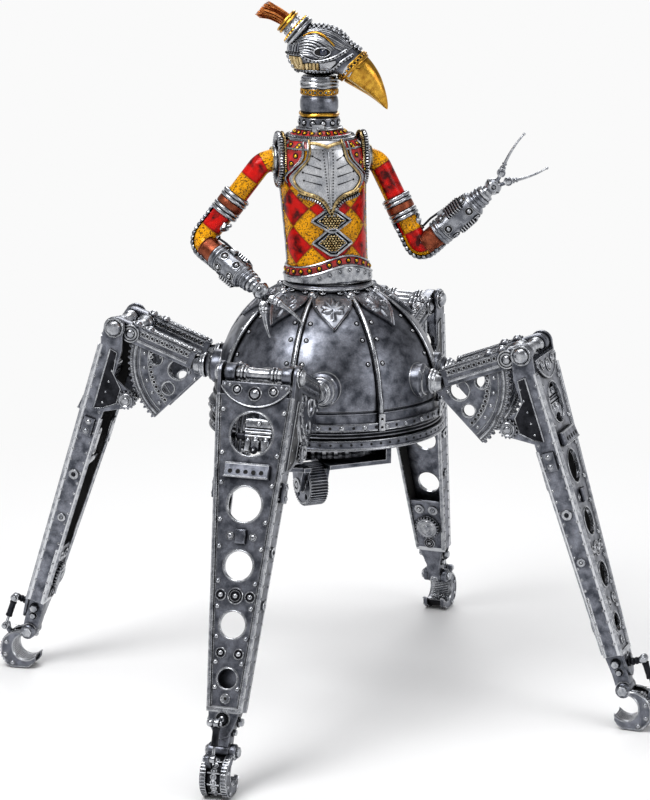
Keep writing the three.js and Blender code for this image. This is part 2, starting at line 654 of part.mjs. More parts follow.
function shankFrame() {
  const top = shank.kneeRadius + gap;
  const halfTop = shank.topWidth / 2;
  const halfBottom = shank.bottomWidth / 2;
  const taper = (halfTop - halfBottom) / (shank.length - shank.straight);
  const halfAt = (down) => halfTop - taper * Math.max(down - shank.straight, 0);
  const front = [
    [halfTop, top], [-halfTop, top], [-halfTop, -shank.straight], [-halfBottom, -shank.length],
    [halfBottom, -shank.length], [halfTop, -shank.straight],
  ];
  const floorAt = shank.length - shank.floor;
  const innerTop = halfTop - shank.wall;
  const innerBottom = halfAt(floorAt) - shank.wall;
  const hollow = [
    [innerTop, top + overrun], [-innerTop, top + overrun], [-innerTop, -shank.straight],
    [-innerBottom, -floorAt], [innerBottom, -floorAt], [innerTop, -shank.straight],
  ];
  const backAt = (down) => shank.topBack - (shank.topBack - shank.bottomBack) * down / shank.length;
  const earTop = pinion.down - 2 * pinion.earRadius;
  const earBottom = pinion.down + pinion.earFoot;
  const side = [
    [shank.faceX, -shank.length], [shank.faceX, -shank.mouth],
    ...arc(0, 0, shank.kneeRadius, -20, 200, 6),
    [-backAt(shank.mouth), -shank.mouth], [-backAt(earTop), -earTop],
    ...arc(-pinionBack, -pinion.down, pinion.earRadius, 110, 250, 3),
    [-backAt(earBottom), -earBottom], [-shank.bottomBack, -shank.length],
  ];
  const deep = 4 * shank.topWidth;
  const faceOn = (outline, depth) => plate(outline, depth).rotateX(quarterTurn).rotateZ(quarterTurn);
  const tapered = solid(onShank(faceOn(front, deep)));
  const envelope = tapered.intersect(solid(onShank(standing(side, deep))));
  const channelDepth = deep / 2;
  const channel = solid(onShank(faceOn(hollow, channelDepth)
    .translate(shank.faceX - shank.wall - channelDepth / 2, 0, 0)));
  const mouthCut = solid(onShank(new THREE.BoxGeometry(deep, 2 * innerTop, shank.mouth + top + overrun)
    .translate(0, 0, (top + overrun - shank.mouth) / 2)));
  const windows = windowDowns.map((down, i) => rod(
    shankPoint(shank.faceX - shank.wall - overrun, 0, down), shankPoint(shank.faceX + overrun, 0, down),
    windowRadii[i], boreSides,
  ));
  const reach = halfTop + overrun;
  const kneeWay = rod(kneePoint.clone().setY(-reach), kneePoint.clone().setY(reach), bore(axle.radius));
  const pinionWay = rod(shankPoint(-pinionBack, -reach, pinion.down),
    shankPoint(-pinionBack, reach, pinion.down), bore(pinion.shaftRadius));
  const hull = cut(envelope, [channel, mouthCut, ...windows, kneeWay, pinionWay]);

  const backCentre = shank.length - backPlate.height / 2;
  const backFace = backPlate.thickness / 2 - shank.bottomBack;
  const backSheet = solid(onShank(new THREE.BoxGeometry(backPlate.thickness, deep, backPlate.height)
    .translate(backFace, 0, -backCentre))).intersect(tapered);
  const discs = discRadii.map((radius, i) => {
    const down = shank.length - discUps[i];
    const face = shankPoint(-shank.bottomBack - discRises[i], discAcrosses[i], down);
    return rod(shankPoint(backFace, discAcrosses[i], down), face, radius);
  });
  const tieBack = 2 * tie.radius - backAt(tie.down);
  const tieReach = halfAt(tie.down) - shank.wall / 2;
  const tieEnd = shankPoint(tieBack, tieReach, tie.down);
  const tieRod = rod(shankPoint(tieBack, -tieReach, tie.down), tieEnd, tie.radius);
  const engineReach = halfAt(engine.down) - shank.wall / 2;
  const engineOut = shank.faceX - shank.wall - engine.blockDepth / 2 - gap;
  const engineEnd = shankPoint(engineOut, engineReach, engine.down);
  const engineBar = rod(shankPoint(engineOut, -engineReach, engine.down), engineEnd, engine.radius);
  const engineBox = new THREE.BoxGeometry(engine.blockDepth, engine.blockWidth, engine.blockHeight);
  const engineBlock = solid(onShank(engineBox.translate(engineOut, 0, -engine.down)));
  return join([hull, backSheet, ...discs, tieRod, engineBar, engineBlock, ankleBlock(), hornArm()]);
}

function ankleBlock() {
  const width = ankle.topHalfWidth;
  const narrow = ankle.shoulderHalfWidth;
  const foot = ankleDown + ankle.cheekRadius + overrun;
  const ankleTop = shank.length - ankle.lap;
  const shoulderDown = ankleDown - ankle.shoulderAbove;
  const front = [
    [width, -ankleTop], [-width, -ankleTop], [-narrow, -shoulderDown], [-narrow, -foot],
    [narrow, -foot], [narrow, -shoulderDown],
  ];
  const side = [
    [shank.faceX, -ankleTop], [-shank.bottomBack, -ankleTop],
    ...arc(0, -ankleDown, ankle.cheekRadius, 180, 360, 6),
  ];
  const deep = 4 * width;
  const body = solid(onShank(plate(front, deep).rotateX(quarterTurn).rotateZ(quarterTurn)))
    .intersect(solid(onShank(standing(side, deep))));
  const wayEnd = shankPoint(0, deep / 2, ankleDown);
  const pinWay = rod(shankPoint(0, -deep / 2, ankleDown), wayEnd, bore(claw.pinRadius));
  return cut(body, [pinWay]);
}

const hornDown = ankleDown - horn.above;

function hornArm() {
  const armEnd = shankPoint(horn.reach + horn.pinRadius, -horn.side, hornDown);
  const arm = rod(shankPoint(horn.root, -horn.side, hornDown), armEnd, horn.rodRadius);
  const pinEnd = shankPoint(horn.reach, horn.pinEnd, hornDown);
  const pin = rod(shankPoint(horn.reach, -horn.side, hornDown), pinEnd, horn.pinRadius);
  return join([arm, pin]);
}

function pinionSolid() {
  const centre = shankPoint(-pinionBack, 0, pinion.down);
  const halfReach = shank.topWidth / 2;
  const shaft = rod(centre.clone().setY(-halfReach), centre.clone().setY(halfReach), pinion.shaftRadius);
  const wheels = [-1, 1].map((side) => {
    const outline = toothedOutline(pinion.radius, pinion.rootRadius, pinion.teeth);
    const wheel = standing(outline, pinion.wheelWidth);
    return solid(wheel.translate(centre.x, side * beam.spacing / 2, centre.z));
  });
  return join([shaft, ...wheels]);
}

const anklePoint = shankPoint(0, 0, ankleDown);

function clawSolid() {
  const hollowReach = clawReach - claw.hollowBack;
  const hollowHeight = claw.centreHeight + claw.hollowUp;
  const outline = [
    ...arc(clawReach, claw.centreHeight, claw.radius, claw.startAngle, claw.tipAngle, 9),
    ...arc(hollowReach, hollowHeight, claw.hollowRadius, claw.tipAngle, claw.startAngle, 4),
  ];
  const crescent = solid(standing(outline, claw.width));
  const across = (y) => anklePoint.clone().setY(y);
  const boss = rod(across(-claw.width / 2), across(claw.width / 2), claw.bossRadius, boreSides);
  const size = 2 * claw.radius;
  const underfoot = block(point(clawReach, 0, -claw.radius), 2 * size, 2 * claw.width, size);
  const slotTop = anklePoint.z + 2 * ankle.cheekRadius;
  const slotBottom = anklePoint.z - ankle.cheekRadius - 2 * gap;
  const slotEnd = anklePoint.x + ankle.cheekRadius + 5 * gap;
  const slotStart = slotEnd - 4 * claw.bossRadius;
  const slot = block(point((slotStart + slotEnd) / 2, 0, (slotTop + slotBottom) / 2), slotEnd - slotStart,
    2 * claw.slotHalfWidth, slotTop - slotBottom);
  const pin = rod(across(gap - claw.width / 2), across(claw.width / 2 - gap), claw.pinRadius);
  const lugMiddle = (lug.inner + lug.outer) / 2;
  const rootReach = clawReach + lug.rootAhead;
  const rootHeight = claw.centreHeight + lug.rootUp;
  const lugOutline = link(rootReach, rootHeight, lug.rootRadius, lugPoint.x, lugPoint.z, lug.radius, 4);
  const lugSheet = solid(standing(lugOutline, lug.outer - lug.inner).translate(0, -lugMiddle, 0));
  const lugPin = rod(lugPoint.clone().setY(-lugMiddle), lugPoint.clone().setY(lug.pinEnd), lug.pinRadius);
  return join([cut(join([crescent, boss]), [slot, underfoot]), pin, lugSheet, lugPin]);
}

const hornPoint = shankPoint(horn.reach, 0, hornDown);
const lugPoint = point(clawReach + lug.ahead, 0, claw.centreHeight + lug.up);
const ramLine = lugPoint.clone().sub(hornPoint);
const ramUnit = ramLine.clone().normalize();
const alongRam = (distance) => hornPoint.clone().addScaledVector(ramUnit, distance);

function eye(centre, radius, width, holeRadius) {
  const half = point(0, width / 2, 0);
  const wide = point(0, width, 0);
  const disc = rod(centre.clone().sub(half), centre.clone().add(half), radius, boreSides);
  const hole = rod(centre.clone().sub(wide), centre.clone().add(wide), holeRadius);
  return { disc, hole };
}

function ramCylinder() {
  const { disc, hole } = eye(hornPoint, ram.eyeRadius, ram.eyeWidth, bore(horn.pinRadius, rodSides));
  const barrel = rod(hornPoint, alongRam(ram.barrelLength), ram.barrelRadius);
  const way = rod(alongRam(ram.boreTop), alongRam(ram.barrelLength + overrun), ram.boreRadius, rodSides);
  return cut(join([disc, barrel]), [hole, way]);
}

function ramRod() {
  const { disc, hole } = eye(lugPoint, ram.rodEyeRadius, ram.eyeWidth, lug.pinRadius + ram.rodEyeSlack);
  const stem = rod(alongRam(ram.rodTop), lugPoint, ram.rodRadius);
  return cut(join([disc, stem]), [hole]);
}

// Trunk

const leanPerHeight = trunk.lean / trunk.height;
const leanAt = (height) => leanPerHeight * (height - trunkBottom);

function leaned(geometry) {
  const shear = new THREE.Matrix4().makeShear(0, 0, 0, 0, leanPerHeight, 0);
  return geometry.translate(0, 0, -trunkBottom).applyMatrix4(shear).translate(0, 0, trunkBottom);
}

// A place on the trunk from shares of its half width and its height
const trunkPlace = ([across, up]) => [across * trunk.halfWidth, trunkBottom + up * trunk.height];

// The trunk's profile moved off its own surface by a distance
function offsetProfile(distance) {
  const profile = trunkProfileShares.map(trunkPlace);
  return profile.map(([radius, height], i) => {
    const before = profile[Math.max(i - 1, 0)];
    const after = profile[Math.min(i + 1, profile.length - 1)];
    const along = new THREE.Vector2(after[0] - before[0], after[1] - before[1]).normalize();
    return [radius + distance * along.y / trunkDepthShare, height - distance * along.x / trunkDepthShare];
  });
}

function trunkBody(distance) {
  const profile = offsetProfile(distance);
  const [, bottom] = profile[0];
  const [, top] = profile[profile.length - 1];
  const geometry = turned([[0, bottom], ...profile, [0, top]], trunk.sides);
  return solid(leaned(geometry.scale(1, trunkDepthShare, 1)));
}

const trunkSkin = (thickness) => trunkBody(gap + thickness).subtract(trunkBody(gap));

const shoulderHeight = trunkBottom + shoulderHeightShare * trunk.height;
const shoulderHalfSpan = shoulderSpanShare * trunk.halfWidth;

function shoulderPoint(arm) {
  return point(leanAt(shoulderHeight) + arm.side * shoulderHalfSpan, neck.backset, shoulderHeight);
}

function shoulderBoss(arm) {
  const face = shoulderPoint(arm);
  const root = face.clone().add(point(-arm.side * trunk.bossDepth, 0, 0));
  return rod(root, face, trunk.bossRadius, boreSides);
}

function trunkShell() {
  const inner = offsetProfile(-trunk.wall).filter((_, i) => i % 2 === 0);
  inner[0][1] = trunkBottom - overrun;
  const [, innerTop] = inner[inner.length - 1];
  const cavity = turned([[0, inner[0][1]], ...inner, [0, innerTop - trunk.wall]], trunk.sides);
  const hollow = solid(leaned(cavity.scale(1, trunkDepthShare, 1)));
  return join([cut(trunkBody(0), [hollow]), shoulderBoss(rightArm), shoulderBoss(leftArm)]);
}

// A slab of the given heights, wide enough to take all of the trunk
function levelSlab(bottom, top) {
  const reach = 4 * shoulderHalfSpan;
  return block(point(0, 0, (bottom + top) / 2), reach, reach, top - bottom);
}

function frontPrism(outline) {
  const deep = 2 * shoulderHalfSpan;
  const moved = outline.map(([x, z]) => [x + leanAt(z), z]);
  return solid(standing(moved, deep).translate(0, -deep / 2, 0));
}

const mirroredOutline = (half) => [...half, ...half.slice().reverse().map(([x, z]) => [-x, z])];

function waistBelt() {
  const top = trunkBottom + beltTopShare * trunk.height;
  const band = trunkSkin(belt.thickness).intersect(levelSlab(trunkBottom, top));
  const buckleOutline = mirroredOutline(buckleShares.map(trunkPlace));
  const buckle = trunkSkin(belt.thickness + belt.buckleRise).intersect(frontPrism(buckleOutline));
  return join([band, buckle]);
}

function breastplateSolid() {
  const chest = breastplateShares.map(trunkPlace);
  const outlines = [[...chest, ...chest.slice(1).reverse().map(([x, z]) => [-x, z])]];
  for (const shares of fanShares) outlines.push(mirroredOutline(shares.map(trunkPlace)));
  const prism = join(outlines.map(frontPrism));
  return trunkSkin(breastplate.thickness).intersect(prism);
}

function gorgetSolid() {
  const foot = trunkBottom + gorgetFootShare * trunk.height;
  return trunkSkin(gorget.thickness).intersect(levelSlab(foot, trunkTop));
}

function shoulderRingSolid(arm) {
  const { radius, innerRadius, inset, thickness } = shoulderRing;
  const from = shoulderHalfSpan - inset;
  const to = from + thickness;
  const profile = [[innerRadius, from], [radius, from], [radius - gap, to], [innerRadius, to]];
  const geometry = turned(profile, ringSides);
  aimed(geometry, point(0, 0, 0), point(arm.side, 0, 0)).scale(1, shoulderRingDepthShare, 1);
  const placed = geometry.translate(leanAt(shoulderHeight), neck.backset, shoulderHeight);
  return cut(solid(placed), [trunkBody(gap), shoulderBossWay(arm)]);
}

function shoulderBossWay(arm) {
  const face = shoulderPoint(arm);
  const root = face.clone().setX(leanAt(shoulderHeight));
  const end = face.clone().add(point(arm.side * overrun, 0, 0));
  return rod(root, end, bore(trunk.bossRadius, boreSides), boreSides);
}

function neckColumn() {
  const bands = neckBandShares.map(([across, up]) => [neck.radius * across, neckBottom + neck.height * up]);
  const profile = [[0, neckBottom], ...bands, [0, neckTop]];
  return solid(turned(profile, ringSides).translate(neckPoint.x, neckPoint.y, 0));
}

const neckPoint = point(trunk.lean, neck.backset, 0);

// Head, drawn about its own centre

// A direction in the head's middle plane, pitched down from straight ahead
const ahead = (pitch) => point(0, -cosine(pitch), -sine(pitch));
const beakRoot = point(0, -beakRing.forward, -beakRing.drop);
const beakNormal = ahead(beakRing.pitch);
const crestAxis = point(0, cosine(crest.pitch), sine(crest.pitch));
const crestRoot = point(0, crest.back, crest.up);

function skull(offset) {
  const geometry = new THREE.SphereGeometry(1, head.columns, head.rows).rotateX(quarterTurn);
  const [halfWide, halfLong, halfTall] = [head.wide / 2, head.length / 2, head.tall / 2];
  return solid(geometry.scale(halfWide + offset, halfLong + offset, halfTall + offset));
}

// A slab that fills the space past a plane
function beyond(place, normal) {
  const size = 4 * head.length;
  return solid(aimed(new THREE.BoxGeometry(size, size, size).translate(0, 0, size / 2), place, normal));
}

function headShell() {
  const snoutStart = point(0, -head.wide / 8, 0);
  const snout = rod(snoutStart, beakRoot, head.wide / 2, head.columns, beakRing.radius - gap);
  const ringStart = beakRoot.clone().addScaledVector(beakNormal, -beakRing.thickness);
  const ring = rod(ringStart, beakRoot, beakRing.radius, head.columns);
  const eyes = [-1, 1].map((side) => {
    const middle = point(0, -head.eyeForward, head.eyeUp);
    const outTo = (reach) => middle.clone().setX(side * reach);
    const brow = rod(middle, outTo(head.browReach), head.browRadius, boreSides);
    const ball = rod(middle, outTo(head.eyeReach), head.eyeRadius, boreSides, head.eyeRadius / 2);
    return brow.add(ball);
  });
  const whole = join([skull(0), snout.subtract(beyond(beakRoot, beakNormal)), ring, ...eyes]);
  const seat = neckTop + gap - headHeight;
  const below = block(point(0, 0, seat - head.tall), 4 * head.length, 4 * head.length, 2 * head.tall);
  return cut(whole, [below]);
}

function beakSolid() {
  const sides = beakShares.map(([across, along]) => [beak.rootRadius * across, beak.length * along]);
  const profile = [[0, 0], ...sides, [beak.tipRadius, beak.length], [0, beak.length]];
  const geometry = bent(turned(profile, ringSides), beak.length, beak.bend).scale(1, beakWideShare, 1);
  // The bend leans toward +X, which becomes the downward side once the horn points ahead
  const basis = new THREE.Matrix4().makeBasis(
    point(0, sine(beak.startPitch), -cosine(beak.startPitch)), point(1, 0, 0), ahead(beak.startPitch),
  );
  const start = beakRoot.clone().addScaledVector(ahead(beak.startPitch), -beak.buried);
  geometry.applyMatrix4(basis).translate(start.x, start.y, start.z);
  const plane = beakRoot.clone().addScaledVector(beakNormal, gap);
  return solid(geometry).intersect(beyond(plane, beakNormal));
}

function crestSocket() {
  const cupFloor = crest.length - crest.cupDepth;
  const ringFoot = crest.length - crest.ringThickness;
  const profile = [
    [0, -crest.buried], [crest.rootRadius - overrun, -crest.buried], [crest.rootRadius, 0],
    [crest.rootRadius, crest.ringThickness], [crest.neckRadius, crest.ringThickness + gap],
    [crest.lipRadius, ringFoot], [crest.mouthRadius, ringFoot],
    [crest.mouthRadius, crest.length], [crest.cupRadius, crest.length], [crest.cupRadius, cupFloor],
    [0, cupFloor],
  ];
  const socket = solid(aimed(turned(profile, ringSides), crestRoot, crestAxis));
  return cut(socket, [skull(gap)]);
}

// The bristles are three-sided spikes on a close hexagonal pattern, fused to a backing disc
function plumeSolid() {
  const root = crestRoot.clone().addScaledVector(crestAxis, crest.length - crest.cupDepth + gap);
  const backRadius = crest.cupRadius * Math.cos(Math.PI / ringSides) - gap;
  const backing = [[0, 0], [backRadius, 0], [backRadius, plume.backing], [0, plume.backing]];
  const disc = solid(turned(backing, ringSides));
  const fit = backRadius * Math.cos(Math.PI / ringSides) - plume.edgeMargin;
  const strands = strandPlaces(fit).map(([x, y]) => strandSolid(x, y));
  const whole = wasm.Manifold.union([disc, ...strands]);
  const mesh = whole.getMesh();
  const geometry = new THREE.BufferGeometry();
  geometry.setAttribute('position', new THREE.BufferAttribute(mesh.vertProperties, 3));
  geometry.setIndex(new THREE.BufferAttribute(mesh.triVerts, 1));
  bent(geometry, plume.length, plume.bend);
  const basis = new THREE.Matrix4().makeBasis(
    point(0, sine(crest.pitch), -cosine(crest.pitch)), point(1, 0, 0), crestAxis,
  );
  return solid(geometry.applyMatrix4(basis).translate(root.x, root.y, root.z));
}

function strandPlaces(fit) {
  const places = [];
  const rows = Math.ceil(fit / plume.hexSpacing) + 1;
  for (let row = -rows; row <= rows; row += 1) {
    for (let column = -rows; column <= rows; column += 1) {
      const x = plume.hexSpacing * (column + (row % 2 === 0 ? 0 : 0.5));
      const y = plume.hexSpacing * row * Math.sqrt(0.75);
      if (Math.hypot(x, y) < fit) places.push([x, y]);
    }
  }
  return places;
}

// One strand leans out in step with its place, so that no two cross
function strandSolid(x, y) {
  const spread = plumeSpreadShare;
  const corners = [];
  for (let side = 0; side < 3; side += 1) {
    const angle = 120 * side + 90;
    corners.push(x + plume.strandRadius * cosine(angle), y + plume.strandRadius * sine(angle),
      plume.backing - plume.rootDepth);
  }
  corners.push(x * (1 + spread), y * (1 + spread), plume.length);
  const geometry = new THREE.BufferGeometry();
  geometry.setAttribute('position', new THREE.BufferAttribute(new Float32Array(corners), 3));
  geometry.setIndex([0, 2, 1, 0, 1, 3, 1, 2, 3, 2, 0, 3]);
  return solid(geometry);
}

// Arms

// A path of straight runs whose corners are rounded over a given cut, or most of half a short run
function roundedPath(corners, cutLength) {
  const path = new THREE.CurvePath();
  let last = corners[0];
  for (let i = 1; i < corners.length - 1; i += 1) {
    const into = corners[i].clone().sub(corners[i - 1]).normalize();
    const out = corners[i + 1].clone().sub(corners[i]).normalize();
    const shortRun = Math.min(corners[i].distanceTo(corners[i - 1]), corners[i].distanceTo(corners[i + 1]));
    const reach = Math.min(cutLength, shortRun * cornerShare);
    const enter = corners[i].clone().addScaledVector(into, -reach);
    const leave = corners[i].clone().addScaledVector(out, reach);
    path.add(new THREE.LineCurve3(last, enter));
    path.add(new THREE.QuadraticBezierCurve3(enter, corners[i], leave));
    last = leave;
  }
  path.add(new THREE.LineCurve3(last, corners[corners.length - 1]));
  return path;
}

function fromShoulder(arm, corner) {
  const shares = arm.side < 0 ? rightArmShares[corner] : leftArmShares[corner];
  return shoulderPoint(arm).addScaledVector(point(...shares), trunk.height);
}

const armPoints = (arm) => {
  const shoulder = shoulderPoint(arm).add(point(arm.side * gap, 0, 0));
  const outer = fromShoulder(arm, 'outer');
  const elbow = fromShoulder(arm, 'elbow');
  const wrist = fromShoulder(arm, 'wrist');
  const forearm = wrist.clone().sub(elbow).normalize();
  const cuff = elbow.clone().addScaledVector(forearm, gauntlet.start);
  return { shoulder, outer, elbow, wrist, forearm, cuff };
};

function upperArm(arm) {
  const { shoulder, outer, elbow, cuff } = armPoints(arm);
  const path = roundedPath([shoulder, outer, elbow, cuff], armTube.bendCut);
  const section = new THREE.Shape(arc(0, 0, armTube.radius, 0, 360 - 360 / armTube.sides, armTube.sides - 1)
    .map(([x, y]) => new THREE.Vector2(x, y)));
  const settings = { steps: armTube.steps, extrudePath: path, bevelEnabled: false };
  const tube = new THREE.ExtrudeGeometry(section, settings);
  const { rootRadius, rootThickness } = armTube;
  const rootFace = shoulder.clone().add(point(arm.side * rootThickness, 0, 0));
  const root = rod(shoulder, rootFace, rootRadius, ringSides);
  const behindCentre = shoulder.clone().add(point(-arm.side * rootRadius, 0, 0));
  const behind = block(behindCentre, 2 * rootRadius, 4 * rootRadius, 4 * rootRadius);
  return cut(join([solid(tube), root]), [behind]);
}

function elbowClamp(arm) {
  const { outer, elbow } = armPoints(arm);
  const axis = elbow.clone().sub(outer).normalize();
  const middle = outer.clone().lerp(elbow, clampPlaceShare);
  const start = middle.addScaledVector(axis, -clampBand.length / 2);
  const inner = bore(armTube.radius + gap, ringSides);
  const { radius, waistRadius, length, ringLength } = clampBand;
  const profile = [
    [inner, 0], [radius, 0], [radius, ringLength], [waistRadius, ringLength],
    [waistRadius, length - ringLength], [radius, length - ringLength], [radius, length], [inner, length],
  ];
  return solid(aimed(turned(profile, ringSides), start, axis));
}

function gauntletSolid(arm) {
  const { wrist, forearm, cuff } = armPoints(arm);
  const start = cuff.clone().addScaledVector(forearm, gap);
  const length = wrist.distanceTo(start);
  const { radius, cuffRadius, cuffLength, wristRadius, wristLength } = gauntlet;
  const profile = [
    [0, 0], [cuffRadius, 0], [cuffRadius, cuffLength], [radius - gap, cuffLength],
    [radius, length - wristLength - gap], [wristRadius, length - wristLength], [wristRadius, length],
    [0, length],
  ];
  return solid(aimed(turned(profile, ringSides), start, forearm));
}

// Where a hand's two fingers hinge, and the common direction of their pins
function handPlan(arm) {
  const { wrist, forearm } = armPoints(arm);
  const centre = wrist.clone().addScaledVector(forearm, palm.fromWrist);
  const tips = ['tipA', 'tipB'].map((tip) => fromShoulder(arm, tip));
  const rays = tips.map((tip) => tip.clone().sub(centre).normalize());
  const pinAxis = rays[0].clone().cross(rays[1]).normalize();
  const roots = rays.map((ray) => centre.clone().addScaledVector(ray, knuckle.reach));
  return { wrist, forearm, centre, tips, rays, pinAxis, roots };
}

function palmSolid(arm) {
  const { wrist, forearm, centre, pinAxis, roots } = handPlan(arm);
  const from = wrist.clone().addScaledVector(forearm, gap);
  const discFace = from.clone().addScaledVector(forearm, palm.discThickness);
  const disc = rod(from, discFace, palm.discRadius, boreSides);
  const stem = rod(from, centre, palm.neckRadius);
  const sphere = new THREE.SphereGeometry(palm.ballRadius, 8, 5);
  const ball = solid(sphere.translate(centre.x, centre.y, centre.z));
  const lugMiddle = -(knuckle.lugInner + knuckle.lugOuter) / 2;
  const lugWidth = knuckle.lugOuter - knuckle.lugInner;
  const fittings = roots.flatMap((root) => {
    const away = (distance) => root.clone().addScaledVector(pinAxis, distance);
    const heart = centre.clone().addScaledVector(pinAxis, lugMiddle + lugWidth / 8);
    return [
      rod(away(-knuckle.lugOuter), away(-knuckle.lugInner), knuckle.lugRadius),
      rod(away(-knuckle.lugInner), away(knuckle.discWidth / 2 + gap), knuckle.pinRadius),
      rod(heart, away(lugMiddle), knuckle.pinRadius),
    ];
  });
  return join([disc, stem, ball, ...fittings]);
}

function fingerSolid(arm, index) {
  const { tips, pinAxis, roots } = handPlan(arm);
  const radius = index === 0 ? arm.radiusA : arm.radiusB;
  const root = roots[index];
  const alongPin = (distance) => root.clone().addScaledVector(pinAxis, distance);
  const { discWidth, discRadius } = knuckle;
  const disc = rod(alongPin(-discWidth / 2), alongPin(discWidth / 2), discRadius, boreSides);
  const hole = rod(alongPin(-discWidth), alongPin(discWidth), bore(knuckle.pinRadius, rodSides));
  const chord = tips[index].clone().sub(root);
  const length = chord.length();
  const inward = index === 0 ? 1 : -1;
  const sideways = pinAxis.clone().cross(chord).normalize().multiplyScalar(inward);
  const startAxis = chord.clone().normalize().applyAxisAngle(pinAxis, -inward * radians(fingerBend / 2));
  const startSide = sideways.clone().applyAxisAngle(pinAxis, -inward * radians(fingerBend / 2));
  const basis = new THREE.Matrix4().makeBasis(startSide, startAxis.clone().cross(startSide), startAxis);
  const rootRadius = Math.min(radius, discWidth / 2 - gap / 2);
  const horn = hornGeometry(rootRadius, arm.tipRadius, length, fingerBend, rodSides);
  horn.applyMatrix4(basis).translate(root.x, root.y, root.z);
  return cut(join([disc, solid(horn)]), [hole]);
}

// Assembly

const onTrunk = aboutAxis(trunk.twist);
const onHead = new THREE.Matrix4()
  .multiply(aboutAxis(trunk.twist))
  .multiply(new THREE.Matrix4().makeTranslation(neckPoint.x, neckPoint.y, headHeight))
  .multiply(aboutAxis(head.azimuth - trunk.twist));

addPiece('dome_shell', domeShell(), 'gunmetal');
addPiece('rib_cage', ribCage(), 'steel');
addPiece('rim_band', rimBandSolid(), 'gunmetal');
addPiece('leaf_collar', leafCollar(), 'steel');
addPiece('base_plate', basePlateSolid(), 'darkSteel');
addPiece('gear_case', gearCaseSolid(), 'gunmetal');
addPiece('main_gear', mainGearSolid(), 'steel');
addPiece('drive_pinion', drivePinionSolid(), 'steel',
  new THREE.Matrix4().makeTranslation(pinionPlace.x, pinionPlace.y, 0));
addPiece('drum_wheel', drumWheel(), 'steel');

const legAzimuths = [frontLegAzimuth, -frontLegAzimuth, rearLegAzimuth, -rearLegAzimuth];
const legPieces = [
  ['thigh_frame', thighFrame(), 'gunmetal'],
  ['knee_axle', kneeAxle(), 'steel'],
  ['shank_frame', shankFrame(), 'gunmetal'],
  ['sector_pinion', pinionSolid(), 'steel'],
  ['claw', clawSolid(), 'gunmetal'],
  ['ram_cylinder', ramCylinder(), 'darkSteel'],
  ['ram_rod', ramRod(), 'steel'],
];
legNames.forEach((legName, i) => {
  for (const [name, piece, finish] of legPieces) {
    addPiece(`${name}_${legName}`, piece, finish, legPlacement(legAzimuths[i]));
  }
});

addPiece('trunk_shell', trunkShell(), 'red', onTrunk);
addPiece('waist_belt', waistBelt(), 'red', onTrunk);
addPiece('breastplate', breastplateSolid(), 'steel', onTrunk);
addPiece('gorget', gorgetSolid(), 'steel', onTrunk);
addPiece('neck_column', neckColumn(), 'steel', onTrunk);
for (const [sideName, arm] of [['right', rightArm], ['left', leftArm]]) {
  addPiece(`shoulder_ring_${sideName}`, shoulderRingSolid(arm), 'steel', onTrunk);
  addPiece(`upper_arm_${sideName}`, upperArm(arm), 'red', onTrunk);
  addPiece(`elbow_clamp_${sideName}`, elbowClamp(arm), 'steel', onTrunk);
  addPiece(`gauntlet_${sideName}`, gauntletSolid(arm), 'gunmetal', onTrunk);
  addPiece(`palm_${sideName}`, palmSolid(arm), 'steel', onTrunk);
  addPiece(`finger_a_${sideName}`, fingerSolid(arm, 0), 'steel', onTrunk);
  addPiece(`finger_b_${sideName}`, fingerSolid(arm, 1), 'steel', onTrunk);
}
addPiece('head_shell', headShell(), 'gunmetal', onHead);
addPiece('beak', beakSolid(), 'gold', onHead);
addPiece('crest_socket', crestSocket(), 'steel', onHead);
addPiece('plume', plumeSolid(), 'bristle', onHead);

export default group;
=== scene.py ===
"""Visual model of a bird-headed walking machine: an enamelled trunk on a domed carriage with four
jointed legs. Shapes are drawn in millimetres in the frame of the engineering model, then written as
metre meshes. Each operator of the sidebar panel builds one group of pieces."""

import random
from math import acos, asin, atan2, copysign, cos, degrees, exp, hypot, pi, radians, sin, sqrt

import bmesh
import bpy
from mathutils import Matrix, Vector
from mathutils.bvhtree import BVHTree


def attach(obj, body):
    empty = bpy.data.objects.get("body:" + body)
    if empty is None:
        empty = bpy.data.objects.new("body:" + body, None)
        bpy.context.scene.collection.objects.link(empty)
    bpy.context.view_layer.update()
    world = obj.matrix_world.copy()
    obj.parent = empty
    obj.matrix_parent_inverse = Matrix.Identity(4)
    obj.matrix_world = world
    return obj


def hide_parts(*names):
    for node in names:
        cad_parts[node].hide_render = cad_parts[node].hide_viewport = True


bl_info = {
    "name": "Walking bird machine",
    "version": (1, 0, 0),
    "blender": (4, 5, 0),
    "location": "View3D > Sidebar > Walker",
    "description": "Builds the walking bird machine and its photo stage",
    "category": "Add Mesh",
}

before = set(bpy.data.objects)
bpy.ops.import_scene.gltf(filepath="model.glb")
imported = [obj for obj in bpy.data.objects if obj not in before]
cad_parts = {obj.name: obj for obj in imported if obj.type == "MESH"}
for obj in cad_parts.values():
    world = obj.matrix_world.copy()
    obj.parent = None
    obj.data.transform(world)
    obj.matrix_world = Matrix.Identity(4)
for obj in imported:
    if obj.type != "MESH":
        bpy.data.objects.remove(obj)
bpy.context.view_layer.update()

MM = 0.001
SETBACK = 8.7298
LEGS = (("front_left", 44), ("front_right", -44), ("rear_left", 130), ("rear_right", -130))

# Carriage sizes in millimetres, as in the engineering model; the collar lies under the waist
DOME_R, DOME_CENTRE, DOME_FOOT, DOME_WALL, MOUTH_R, RIM_TOP = 77.0, 216.4, 191.0, 2.5, 24.0, 216.0
STRAPS = 8
COLLAR_FOOT, COLLAR_TOP, COLLAR_R, COLLAR_INNER = 279.96, 292.2, 30.0, 20.0
